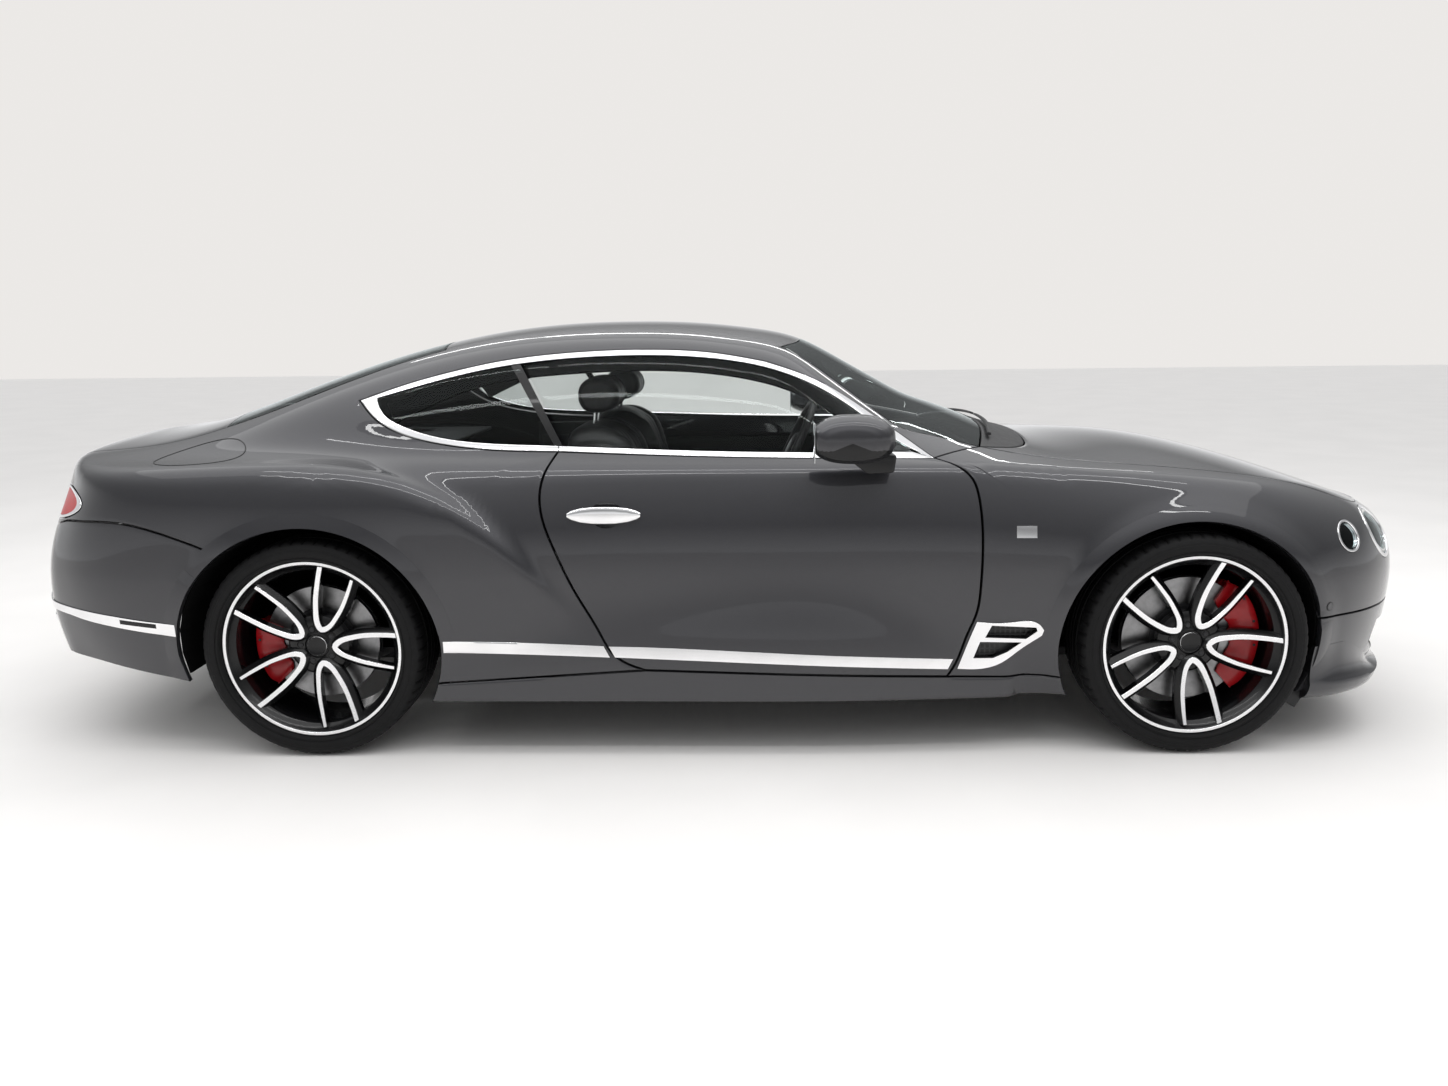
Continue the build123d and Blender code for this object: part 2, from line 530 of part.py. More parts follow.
def rear_window_sheet(c):
    middle = run("top", [(-1.005, 0.0), (-1.775, 0.0)], 9)
    side = chain(c["glass_top_side"], c["glass_side"])
    return both(Sheet().patch(coons(side, middle, c["glass_head"], c["glass_foot"])))


def cowl_sheet(c):
    middle = run("top", [(0.955, 0.0), (1.110, 0.0)], 2)
    corner = np.repeat(c["screen_foot"][:1], 2 * FINE + 1, axis=0)
    return both(Sheet().patch(coons(c["screen_foot"], c["bonnet_rear"], corner, middle)))


def bonnet_sheet(c):
    middle = run("top", [(1.110, 0.0), (2.305, 0.0)], 15)
    side = chain(c["bonnet_side"], c["bonnet_corner"])
    return both(Sheet().patch(coons(side, middle, c["bonnet_rear"], c["bonnet_front"])))


def lid_sheet(c):
    top = run("top", [(-1.775, 0.0), (-2.200, 0.0)], 4)
    tail = run("rear", [(0.0, 0.930), (0.0, 0.640)], 3)
    middle = chain(top, link(top[-1], tail[0], 2), tail)
    low = run("rear", [LID_TAIL_SIDE[-1], (0.0, 0.640)], 5)
    return both(Sheet().patch(coons(c["lid_side"], middle, c["glass_foot"], low)))


def rear_bumper_sheet(c):
    low_arch = arch(ARCH_REAR, 127, 195.2, 7)
    top = chain(c["seam_rear"], run("rear", [LID_TAIL_SIDE[-1], (0.0, 0.640)], 5))
    side = run("side", [(low_arch[-1][0], low_arch[-1][2]), (-1.940, 0.283), (-2.070, 0.303)], 5)
    back = run("rear", BUMPER_REAR_LOW, 9)
    low = chain(side, link(side[-1], back[0], 1), back)
    middle = run("rear", [(0.0, 0.640), (0.0, 0.310)], 7)
    return both(Sheet().patch(coons(top, low, low_arch, middle)))


def front_bumper_sheet(c):
    low_arch = arch(ARCH_FRONT, 12.4, -26, 4)
    cheek = c["seam_front"][-1]
    sill = run("front", [(-0.440, 0.400), (0.0, 0.400)], 5)
    top = chain(c["seam_front"], link(cheek, sill[0], 1), sill)
    side = run("side", [(low_arch[-1][0], low_arch[-1][2]), (2.060, 0.180)], 3)
    front = run("front", BUMPER_FRONT_LOW, 8)
    low = chain(side, link(side[-1], front[0], 1), front)
    middle = run("front", [(0.0, 0.400), (0.0, 0.185)], 4)
    return both(Sheet().patch(coons(top, low, low_arch, middle)))


def grille_sheet(c):
    side = chain(c["cheek"][::-1], link(c["cheek"][0], on_end(-0.440, 0.400, 1), 1))
    middle = link(c["bonnet_front"][-1], on_end(0.0, 0.400, 1), 5)
    low = run("front", [(-0.440, 0.400), (0.0, 0.400)], 5)
    return both(Sheet().patch(coons(side, middle, c["bonnet_front"], low)))


def sill_sheet():
    front, rear = arch(ARCH_FRONT, 195, 204.8, 1), arch(ARCH_REAR, -15.2, -24.7, 1)
    door = run("side", [DOOR_REAR[0], DOOR_FRONT[0]], 12)
    top = chain(link(rear[0], door[0], 5), door, link(door[-1], front[0], 5))
    low = run("side", [(rear[-1][0], rear[-1][2]), (front[-1][0], front[-1][2])], 22)
    return Sheet().patch(coons(top, low, rear, front))


def split(points, x):
    """Cut a window outline in two at x."""
    xs, zs = zip(*points)
    z = float(np.interp(x, xs, zs))
    return [p for p in points if p[0] < x] + [(x, z)], [(x, z)] + [p for p in points if p[0] > x]


def door_glass_sheet():
    low, top = split(GLASS_LOW, -0.506)[1], split(GLASS_TOP, -0.662)[1]
    first, last = run("side", low, 12), run("side", top, 12)
    return Sheet().patch(coons(first, last, link(first[0], last[0], 3), link(first[-1], last[-1], 3)))


def quarter_glass_sheet():
    low, top = split(GLASS_LOW, -0.506)[0], split(GLASS_TOP, -0.662)[0]
    first, last = run("side", low, 6), run("side", top, 6)
    return Sheet().patch(coons(first, last, link(first[0], last[0], 3), link(first[-1], last[-1], 3)))


def window_trim_sheets(c):
    """Bright surround: over the windows and round the rear tip on the body, along the belt on the door."""
    outer = chain(c["rail_rear"], c["rail_side"], c["rail_front"])
    inner = run("side", GLASS_TOP, 18)
    over = coons(outer, inner, link(outer[0], inner[0], 1), link(outer[-1], inner[-1], 1))
    rear = run("side", split(GLASS_LOW, -0.522)[0][::-1], 7)
    under = coons(c["belt_rear"], rear, link(c["belt_rear"][0], rear[0], 1),
                  link(c["belt_rear"][-1], rear[-1], 1))
    body = Sheet().patch(over).patch(under)
    low = run("side", split(GLASS_LOW, -0.522)[1], 12)
    belt = coons(c["belt_door"], low, link(c["belt_door"][0], low[0], 1),
                 link(c["belt_door"][-1], low[-1], 1))
    return body, Sheet().patch(belt)


def polar(centre, axis, along, up, inner, outer, rings, sectors):
    """Disc or ring on the skin about a centre, its half-lengths taken across and up the axis."""
    axis = np.array(axis, float) / np.linalg.norm(axis)
    side = np.cross((0.0, 0.0, 1.0), axis)
    side /= np.linalg.norm(side)
    high = np.cross(axis, side)
    share = np.linspace(inner, outer, rings * FINE + 1)[:, None, None]
    turn = np.linspace(0, 2 * math.pi, sectors * FINE + 1)[None, :, None]
    start = np.array(centre) + axis * 0.15 + share * (side * along * np.cos(turn) + high * up * np.sin(turn))
    return Sheet().patch(cast(start, -axis, 0.45))


def lamp_rings(centre, axis, along, up):
    """Bezel, lens and backing of one lamp, set inside an opening of the given half-lengths."""
    bezel = polar(centre, axis, along - 0.0018, up - 0.0018, 0.87, 1.0, 1, 24)
    lens = polar(centre, axis, along * 0.87 - 0.0030, up * 0.87 - 0.0030, 0.0, 1.0, 2, 24)
    backing = polar(centre, axis, along * 0.96 - 0.0030, up * 0.96 - 0.0030, 0.0, 1.0, 2, 24)
    return bezel, lens, backing


def headlamp_axis(centre):
    place = pull(np.array([centre]))
    return place[0], gradient(place)[0] / np.linalg.norm(gradient(place)[0])


def tail_lamp_rings():
    t = TAIL_LAMP
    centre = on_end(t["y"], t["z"], -1)
    return lamp_rings(centre, (-1, 0, 0), t["along"], t["up"])


def strip(plane, top, low, count):
    first, last = run(plane, top, count), run(plane, low, count)
    return Sheet().patch(coons(first, last, link(first[0], last[0], 1), link(first[-1], last[-1], 1)))


def tail_strip_sheet():
    """Bright strip from the rear wheel arch round the corner and across the back."""
    edges = []
    for side, back in ((STRIP_TAIL_TOP, STRIP_BACK_TOP), (STRIP_TAIL_LOW, STRIP_BACK_LOW)):
        first, last = run("side", side, 12), run("rear", back, 11)
        edges.append(chain(first, link(first[-1], last[0], 5), last))
    top, low = edges
    return both(Sheet().patch(coons(top, low, link(top[0], low[0], 1), link(top[-1], low[-1], 1))))


def wiper_sheet(path):
    behind = [(x - 0.014, y) for x, y in path]
    return strip("top", path, behind, 6)


def mirror_rings(points):
    """Sections of the mirror head, flat on the side that carries the glass."""
    rings = []
    for y, x, z, deep, high in MIRROR_RINGS:
        a = np.linspace(0, 2 * math.pi, points, endpoint=False)
        c, s = np.cos(a), np.sin(a)
        px = x + deep * np.sign(c) * np.abs(c) ** 0.85
        pz = z + high * np.sign(s) * np.abs(s) ** 0.80 * np.where(s < 0, 0.92, 1.0)
        rings.append(np.stack([np.maximum(px, MIRROR_BACK), np.full(points, y), pz], -1))
    return rings


def handle_rings(points):
    """Sections of the door handle bar from its rear end to its front end."""
    rings = []
    x0, x1 = HANDLE["x"]
    a = np.linspace(0, 2 * math.pi, points, endpoint=False)
    for t in (-0.97, -0.86, -0.62, -0.30, 0.0, 0.30, 0.62, 0.86, 0.97):
        x = (x0 + x1) / 2 + (x1 - x0) / 2 * t
        high = HANDLE["half"] * (1 - abs(t) ** 2.6) ** 0.55
        out = 0.015 - 0.007 * t * t
        base = on_side(x, HANDLE["z"])[1]
        y = base - out - 0.0065 * np.cos(a)
        rings.append(np.stack([np.full(points, x), y, HANDLE["z"] + high * np.sin(a)], -1))
    return rings


# ---- BUILD
MADE = {}


def mirrored(solid):
    return mirror(solid, about=Plane.XZ)


def save(name, *solids):
    """Write one node; several solids that do not touch share a file."""
    os.makedirs("parts", exist_ok=True)
    whole = solids[0] if len(solids) == 1 else Compound(children=list(solids))
    export_step(whole, f"parts/{name}.step")
    MADE[name] = whole


def pair(name, *solids):
    """Write a right-hand node and its mirror image."""
    save(f"{name}_right", *solids)
    save(f"{name}_left", *[mirrored(solid) for solid in solids])


def twins(solids):
    """The solids with their mirror images."""
    return list(solids) + [mirrored(solid) for solid in solids]


def laid(sheet, top, base, gap=0.0):
    """Solid over a sheet between two heights above the skin, metres (below the skin when negative)."""
    outer, inner = sheet.shaped(gap, -base, top)
    return polyhedron(outer, inner, sheet)


def rings_solid(rings):
    """Closed solid through a row of sections with equal point counts."""
    n = len(rings[0])
    ends = [ring.mean(0) for ring in (rings[0], rings[-1])]
    points = np.concatenate(list(rings) + [np.array(ends)]) * 1000
    faces = []
    for k in range(len(rings) - 1):
        for i in range(n):
            a, b = k * n + i, k * n + (i + 1) % n
            faces += [(a, b, b + n), (a, b + n, a + n)]
    first, last = len(points) - 2, len(points) - 1
    top = (len(rings) - 1) * n
    for i in range(n):
        j = (i + 1) % n
        faces += [(first, j, i), (last, top + i, top + j)]
    solid = solid_of(points, faces)
    return solid_of(points, [f[::-1] for f in faces]) if solid.volume < 0 else solid


def column(points, axis, start, length):
    """Outline pushed along X (points are y, z) or Y (points are x, z), metres."""
    mm = [(1000 * a, 1000 * b) for a, b in points]
    if axis == "x":
        plane = Plane(origin=(start, 0, 0), x_dir=(0, 1, 0), z_dir=(1, 0, 0))
    else:
        plane = Plane(origin=(0, start, 0), x_dir=(1, 0, 0), z_dir=(0, -1, 0))
    return extrude(make_face(plane * Polyline(*mm, close=True)), length, both=True)


def oval(shape, grow, count=32):
    turn = [2 * math.pi * i / count for i in range(count)]
    return [(shape["y"] + (shape["along"] + grow) * math.cos(a), shape["z"] + (shape["up"] + grow) * math.sin(a))
            for a in turn]


def bored(centre, axis, radius, near, far):
    """Cylinder along an axis between two depths under a point on the skin, millimetres."""
    plane = Plane(origin=tuple(1000 * centre), z_dir=tuple(axis))
    depth = far - near
    return plane * Pos(0, 0, -near - depth / 2) * Cylinder(radius, depth)


def at(x, y, z, rx=0, ry=0, rz=0):
    return Pos(x, y, z) * Rot(rx, ry, rz)


def slab(x0, x1, y0, y1, z0, z1, round_by=0, edges="all"):
    """Block between two corners with rounded edges."""
    body = Pos((x0 + x1) / 2, (y0 + y1) / 2, (z0 + z1) / 2) * Box(x1 - x0, y1 - y0, z1 - z0)
    if not round_by:
        return body
    picked = body.edges() if edges == "all" else body.edges().filter_by(edges)
    return fillet(picked, round_by)


def across(points, y, width):
    """Side-view outline of (x, z) points made solid over a width centred at y."""
    plane = Plane(origin=(0, y, 0), x_dir=(1, 0, 0), z_dir=(0, -1, 0))
    return extrude(make_face(plane * Polyline(*points, close=True)), width / 2, both=True)


def lathe(profile, x, y, z):
    """Solid turned about the car's Y axis: profile points are (distance along Y, radius)."""
    face = make_face(Plane.XY * Polyline(*[(r, a) for a, r in profile], close=True))
    return Pos(x, y, z) * revolve(face, Axis.Y)


# Wheels: name, axle x, hub y, tyre half width, outward side
WHEELS = [
    ("front_right", FRONT_AXLE, -TRACK_FRONT, 130.0, -1),
    ("front_left", FRONT_AXLE, TRACK_FRONT, 130.0, 1),
    ("rear_right", REAR_AXLE, -TRACK_REAR, 140.0, -1),
    ("rear_left", REAR_AXLE, TRACK_REAR, 140.0, 1),
]
TYRE_R = 362.0
RIM_R = 293.0
BEAD_R = 279.0
RIM_SHARE = 0.80
SPOKE_COUNT = 5
# One spoke is a loop open outwards: radius, half width at its middle line
LOOP = [(0.068, 0.0105), (0.080, 0.0215), (0.112, 0.0335), (0.157, 0.0445), (0.200, 0.050), (0.235, 0.053),
        (0.266, 0.0545)]
LOOP_IN, LOOP_OUT = 0.007, 0.021
LOOP_TURN = {"front": -80.7, "rear": 69.6}


def make_tyre(half):
    """Tyre section turned about the axle: bead, sidewall bulge, shoulder and tread."""
    bead, over = BEAD_R + 1.0, RIM_R + 2.0
    seat = half * RIM_SHARE - 1.0
    right = [
        (seat, bead), (seat, over), (half * 0.93, over + 3), (half, over + 18), (half * 0.985, over + 34),
        (half * 0.93, TYRE_R - 14), (half * 0.84, TYRE_R - 4), (half * 0.55, TYRE_R),
    ]
    inside = [
        (half * 0.50, TYRE_R - 14), (half * 0.80, TYRE_R - 22), (half * 0.90, over + 18),
        (seat - 10, over), (seat - 14, bead),
    ]
    profile = right + [(-y, r) for y, r in reversed(right)]
    profile += [(-y, r) for y, r in reversed(inside)] + inside
    return lathe(profile, 0, 0, 0)


def make_rim(half, face, side, turn):
    """Barrel, hub and spoke loops; `face` is the distance of the hub face outboard of the wheel centre."""
    s = side
    edge = half * RIM_SHARE
    barrel = [
        (edge, RIM_R), (edge + 8, RIM_R), (edge + 8, RIM_R - 14), (edge - 14, BEAD_R - 10),
        (edge - 40, BEAD_R - 24), (-edge + 12, BEAD_R - 24), (-edge - 2, BEAD_R - 6), (-edge - 8, RIM_R - 6),
        (-edge - 8, RIM_R), (-edge, RIM_R), (-edge, BEAD_R), (-edge + 24, BEAD_R), (-edge + 40, BEAD_R - 17),
        (edge - 62, BEAD_R - 17), (edge - 40, BEAD_R), (edge, BEAD_R),
    ]
    body = lathe([(y * s, r) for y, r in barrel], 0, 0, 0)
    hub = [(face + 2, 0), (face + 2, 38), (face - 3, 42), (face - 5, 96), (face - 40, 104), (face - 40, 0)]
    body = body + lathe([(y * s, r) for y, r in hub], 0, 0, 0)
    right = [(56, 12)] + [(1000 * r, 1000 * (w + LOOP_OUT)) for r, w in LOOP]
    inside = [(1000 * r + 2, max(1000 * (w - LOOP_IN), 3)) for r, w in LOOP]
    loop = [(r, -w) for r, w in reversed(right)] + right + inside[::-1] + [(r, -w) for r, w in inside]
    blade = across(loop, (face - 16) * s, 32)
    for i in range(SPOKE_COUNT):
        body = body + Rot(0, -(turn + 72 * i), 0) * blade
    return body


def make_disc(radius, near, thick, hat):
    """Brake disc with a raised hat; near is its inboard face and hat the outboard face, along Y."""
    profile = [(near, 70), (near, radius), (near + thick, radius), (near + thick, 90), (hat, 82), (hat, 30),
               (hat - 6 * math.copysign(1, thick), 30), (hat - 6 * math.copysign(1, thick), 74)]
    return lathe(profile, 0, 0, 0)


def make_caliper(radius, near, far, mid_angle, spread):
    """Brake caliper straddling the disc over part of a turn."""
    a0, a1 = math.radians(mid_angle - spread), math.radians(mid_angle + spread)
    steps = [a0 + (a1 - a0) * i / 8 for i in range(9)]
    outer = [((radius + 32) * math.cos(a), (radius + 32) * math.sin(a)) for a in steps]
    inner = [((radius - 68) * math.cos(a), (radius - 68) * math.sin(a)) for a in reversed(steps)]
    return across(outer + inner, (near + far) / 2, abs(far - near))


def door_depth(p):
    """Door thickness by place: full in the middle, thin towards the hinge edge and the belt."""
    front = np.interp(p[:, 0], [0.62, 0.78], [1.0, 0.32])
    high = np.interp(p[:, 2], [0.80, 0.95], [1.0, 0.55])
    return 0.115 * front * high


def thick_panel(sheet, depth, draw, gap=PANEL_GAP / 1000):
    """Panel whose inner side is drawn towards its middle, so that its edges taper."""
    outer, inner = sheet.shaped(gap, depth)
    middle = np.array([outer[:, 0].mean(), 0, outer[:, 2].mean()])
    scale = np.array([draw, 1.0, draw])
    inner = middle * (1 - scale) + inner * scale
    return polyhedron(outer, inner, sheet)


def headlamp_solids():
    """Right-hand lamps: solids for the lamp node and the bores they need in the wing."""
    solids, bores = [], []
    for centre, r in HEADLAMPS:
        place, axis = headlamp_axis(centre)
        bezel, lens, backing = lamp_rings(place, axis, r, r)
        solids += [laid(bezel, 0.0025, -0.006), laid(lens, -0.001, -0.005), laid(backing, -0.024, -0.040)]
        bores.append(bored(place, axis, 1000 * r, -60, 60))
    return solids, bores


def tail_lamp_solids():
    bezel, lens, backing = tail_lamp_rings()
    solids = [laid(bezel, 0.002, -0.006), laid(lens, -0.0005, -0.005), laid(backing, -0.024, -0.038)]
    return solids, column(oval(TAIL_LAMP, 0.0040), "x", -2200, 260)


def grille_solids(c):
    """Bright frame standing a little proud and the dark mesh set back inside it."""
    sheet = grille_sheet(c)
    frame = laid(sheet, 0.004, -0.030, PANEL_GAP / 1000)
    frame = frame - laid(sheet, 0.060, -0.090, 0.056)
    return frame, laid(sheet, -0.022, -0.034, 0.062)


def build_panels():
    c = outline_curves()
    grip = column([(x, HANDLE["z"] + z) for x, z in ((-0.406, 0.0), (-0.394, 0.031), (-0.354, 0.043),
                                                     (-0.314, 0.031), (-0.302, 0.0), (-0.314, -0.031),
                                                     (-0.354, -0.043), (-0.394, -0.031))], "y", -960, 62)
    door = thick_panel(door_sheet(c), door_depth, 0.955) - grip
    pair("door", door)
    lamps, bores = headlamp_solids()
    wing = panel(wing_sheet(c))
    for bore in bores:
        wing = wing - bore
    holes = [column(points, "y", -930, 70) for points in VENT_HOLES]
    for hole in holes:
        wing = wing - hole
    pair("front_wing", wing)
    save("headlamps", *twins(lamps))
    lamps, bore = tail_lamp_solids()
    save("body_shell", panel(shell_sheet(c)) - bore - mirrored(bore))
    save("tail_lamps", *twins(lamps))
    save("windscreen", panel(windscreen_sheet(c), 0.006))
    save("rear_window", panel(rear_window_sheet(c), 0.006))
    save("cowl_panel", panel(cowl_sheet(c), 0.010))
    save("bonnet", panel(bonnet_sheet(c)))
    save("boot_lid", panel(lid_sheet(c)))
    pipe = column(oval(EXHAUST, 0.005), "x", -2300, 200)
    save("rear_bumper", panel(rear_bumper_sheet(c)) - pipe - mirrored(pipe))
    mouth = column(INTAKE_SIDE, "x", 2200, 260)
    bumper = panel(front_bumper_sheet(c)) - mouth - mirrored(mouth) - column(INTAKE_MID, "x", 2300, 200)
    save("front_bumper", bumper)
    frame, mesh = grille_solids(c)
    save("grille_frame", frame)
    save("grille", mesh)
    side_mesh = laid(strip("front", INTAKE_SIDE_TOP, INTAKE_SIDE_LOW, 4), -0.026, -0.036)
    mid_mesh = laid(strip("front", [(-0.385, 0.370), (0.385, 0.370)], [(-0.385, 0.228), (0.385, 0.228)], 8),
                    -0.026, -0.036)
    vent_back = laid(strip("side", VENT_BACK_TOP, VENT_BACK_LOW, 3), -0.024, -0.032)
    save("air_intakes", mid_mesh, *twins([side_mesh, vent_back]))
    sill = panel(sill_sheet(), 0.012)
    save("sills", sill, mirrored(sill))
    pair("door_glass", panel(door_glass_sheet(), 0.006, 0.0115))
    glass = panel(quarter_glass_sheet(), 0.006, 0.004)
    save("quarter_glasses", glass, mirrored(glass))
    body_trim, door_trim = window_trim_sheets(c)
    trim = panel(body_trim, 0.010, 0.0)
    save("window_trims", trim, mirrored(trim))
    vent = laid(strip("side", VENT_TOP, VENT_LOW, 6), 0.0055, 0.002)
    for hole in holes:
        vent = vent - hole
    sill_strip = laid(strip("side", STRIP_SILL_TOP, STRIP_SILL_LOW, 5), 0.004, 0.001)
    exhaust = column(oval(EXHAUST, 0.0), "x", -2290, 66) - column(oval(EXHAUST, -0.005), "x", -2300, 80)
    save("body_trims", laid(tail_strip_sheet(), 0.0045, 0.0015), *twins([vent, sill_strip, exhaust]))
    belt = panel(door_trim, 0.010, 0.003)
    door_strip = laid(strip("side", STRIP_DOOR_TOP, STRIP_DOOR_LOW, 12), 0.004, 0.001)
    pair("door_trims", belt, door_strip, rings_solid(handle_rings(8)))
    rail = laid(strip("side", RAIL_TRIM_TOP, RAIL_TRIM_LOW, 12), -0.020, -0.030)
    save("cabin_trims", *twins([rail, slab(-870, -560, -724, -704, 250, 960)]))


def build_running_gear():
    for name, x, y, half, s in WHEELS:
        place = Pos(x, y, AXLE_Z)
        end = name.split("_")[0]
        face = 74.0 if end == "front" else 78.0
        save(f"tyre_{name}", place * make_tyre(half))
        save(f"rim_{name}", place * make_rim(half, face, s, LOOP_TURN[end]))
        disc_r = 205.0 if x > 0 else 190.0
        save(f"brake_disc_{name}", place * make_disc(disc_r, -16.0 * s, 34.0 * s, (face - 42) * s))
        angle = 5.0 if x > 0 else 190.0
        caliper = make_caliper(disc_r, -52.0 * s, 36.0 * s, angle, 52.0 if x > 0 else 32.0)
        slot = lathe([(-21 * s, 0), (-21 * s, disc_r + 5), (23 * s, disc_r + 5), (23 * s, 0)], 0, 0, 0)
        carrier = slab(-48, 48, min(-40 * s, -94 * s), max(-40 * s, -94 * s), -120, 130, 12, Axis.Y)
        carrier = carrier + lathe([(-94 * s, 0), (-94 * s, 62), (-26 * s, 62), (-26 * s, 24), (22 * s, 24),
                                   (22 * s, 0)], 0, 0, 0)
        lug = math.radians(angle)
        arm = at(math.cos(lug) * 90, -60 * s, math.sin(lug) * 90, 0, -angle, 0) * Box(120, 28, 60)
        save(f"hub_carrier_{name}", place * (carrier + arm + (caliper - slot)))


def build_floor():
    outline = [(-1950, -440), (-1720, -440), (-880, -440), (-860, -800), (1010, -800), (1060, -440), (1980, -440),
               (2150, -600), (2300, -300)]
    outline += [(x, -y) for x, y in reversed(outline)]
    pan = Pos(0, 0, 172) * extrude(make_face(Polyline(*outline, close=True)), 40)
    save("floor_pan", pan)
    bulkhead = slab(955, 985, -790, 790, 216, 925, 10, Axis.X)
    save("bulkhead", bulkhead)
    build_liners()
    save("engine", slab(1060, 1780, -360, 360, 260, 790, 30))
    arms = []
    for name, x, y, half, s in WHEELS:
        tip, root = 712.0, 452.0
        shape = [(x - 150, root * s), (x + 150, root * s), (x + 42, tip * s), (x - 42, tip * s)]
        arms.append(Pos(0, 0, 222) * extrude(make_face(Polyline(*shape, close=True)), 26))
    save("suspension_arms", *arms)


def build_liners():
    """Wheel arch liners: a tunnel from just inside the panel edge to an inner wall."""
    for name, shape, wall, a0, a1 in (("front", ARCH_FRONT, 0.478, -24, 201), ("rear", ARCH_REAR, 0.600, -22, 192)):
        edge = arch(shape, a0, a1, 20)
        edge = edge - gradient(edge) / np.linalg.norm(gradient(edge), axis=1)[:, None] * 0.027
        turn = np.radians(np.linspace(a0, a1, 21))
        grow = np.stack([np.cos(turn), 0 * turn, np.sin(turn)], -1)
        near, back = edge + grow * 0.003, edge + grow * 0.009
        far = np.array([1, 0, 1]) * near + np.array([0, -wall, 0])
        behind = np.array([1, 0, 1]) * back + np.array([0, -wall, 0])
        count = len(edge)
        points = np.concatenate([near, far, behind, back]) * 1000
        faces = []
        for k in range(4):
            for i in range(count - 1):
                a, b = k * count + i, ((k + 1) % 4) * count + i
                faces += [(a, a + 1, b + 1), (a, b + 1, b)]
        ends = [0, count, 2 * count, 3 * count]
        faces += [(ends[0], ends[1], ends[2]), (ends[0], ends[2], ends[3])]
        last = [e + count - 1 for e in ends]
        faces += [(last[0], last[2], last[1]), (last[0], last[3], last[2])]
        tunnel = solid_of(points, faces)
        if tunnel.volume < 0:
            tunnel = solid_of(points, [f[::-1] for f in faces])
        outline = [(p[0], max(p[2], 0.262)) for p in behind]
        plate = column(outline, "y", -1000 * wall + 3, 3)
        save(f"wheelhouses_{name}", *twins([tunnel, plate]))


def build_cabin():
    dash_profile = [(560, 560), (640, 520), (900, 520), (930, 900), (800, 950), (620, 940), (545, 880), (540, 760)]
    dash = across(dash_profile, 0, 1400)
    console = slab(-420, 530, -105, 105, 216, 560, 30)
    save("dashboard", fillet(dash.edges().filter_by(Axis.Y), 18))
    save("centre_console", console)
    seats = []
    squab = [(-250, 320), (240, 350), (270, 420), (240, 470), (-180, 430), (-235, 425)]
    back = [(-215, 448), (-325, 452), (-450, 700), (-545, 960), (-540, 1040), (-480, 1066), (-400, 1060),
            (-330, 1000), (-270, 820), (-190, 560)]
    rest = [(-480, 1078), (-400, 1078), (-352, 1110), (-345, 1160), (-375, 1210), (-440, 1224), (-500, 1195),
            (-512, 1130)]
    for y in (-370, 370):
        for outline, w in ((squab, 500), (back, 480), (rest, 280)):
            seats.append(across(outline, y, w))
    save("front_seats", *[fillet(s.edges().filter_by(Axis.Y), 15) for s in seats])
    bench = []
    for y in (-330, 330):
        cushion = [(-940, 330), (-560, 360), (-550, 450), (-880, 440)]
        upright = [(-890, 450), (-960, 460), (-1010, 900), (-950, 900)]
        for outline, w in ((cushion, 520), (upright, 520)):
            bench.append(across(outline, y, w))
    save("rear_seats", *[fillet(s.edges().filter_by(Axis.Y), 12) for s in bench])
    save("parcel_shelf", slab(-1640, -1050, -560, 560, 940, 956, 6, Axis.Z))
    wheel = Pos(258, -370, 942) * Rot(0, -65, 0) * (Torus(178, 15) + Cylinder(62, 34)
            + Box(340, 36, 18) + Pos(-85, 0, 0) * Box(170, 36, 18))
    save("steering_wheel", wheel)


def build_fittings():
    head = rings_solid(mirror_rings(16))
    foot = across([(395, 985), (560, 985), (552, 930), (470, 926)], -936, 84)
    pair("door_mirror", head + foot)
    save("wipers", *[laid(wiper_sheet(path), 0.020, 0.010) for path in WIPERS])
    flap = across([(1852, 150), (1905, 120), (1938, 176), (1905, 180), (1870, 180)], -760, 190)
    save("mud_deflectors", flap, mirrored(flap))


def main():
    build_panels()
    build_running_gear()
    build_floor()
    build_cabin()
    build_fittings()


if __name__ == "__main__":
    main()
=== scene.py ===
"""Looks of the coupe: panels, wheels, lamps, cabin, materials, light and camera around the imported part."""
import json
import math

import bmesh
import bpy
import numpy as np
from mathutils import Matrix, Vector

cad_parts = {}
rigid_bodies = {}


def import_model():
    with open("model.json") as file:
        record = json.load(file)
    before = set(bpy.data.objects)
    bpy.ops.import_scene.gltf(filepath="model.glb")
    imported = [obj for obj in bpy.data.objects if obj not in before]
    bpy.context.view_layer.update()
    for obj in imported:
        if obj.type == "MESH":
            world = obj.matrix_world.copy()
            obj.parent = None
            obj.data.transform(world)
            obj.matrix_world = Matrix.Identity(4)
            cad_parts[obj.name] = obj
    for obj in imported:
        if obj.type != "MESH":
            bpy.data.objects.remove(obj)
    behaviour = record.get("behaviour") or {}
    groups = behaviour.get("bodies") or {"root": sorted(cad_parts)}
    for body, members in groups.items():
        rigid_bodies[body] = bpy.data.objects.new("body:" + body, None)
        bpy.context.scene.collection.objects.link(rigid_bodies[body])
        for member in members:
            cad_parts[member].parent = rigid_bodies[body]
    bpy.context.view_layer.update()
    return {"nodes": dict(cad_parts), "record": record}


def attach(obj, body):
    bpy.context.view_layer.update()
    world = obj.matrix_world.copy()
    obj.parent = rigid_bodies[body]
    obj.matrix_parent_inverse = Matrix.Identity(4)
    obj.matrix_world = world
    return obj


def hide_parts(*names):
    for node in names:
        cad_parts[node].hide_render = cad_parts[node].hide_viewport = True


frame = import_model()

# Metres, in the part's own frame: +X to the front of the car, +Y to its left, +Z up
FRONT_AXLE = 1.526
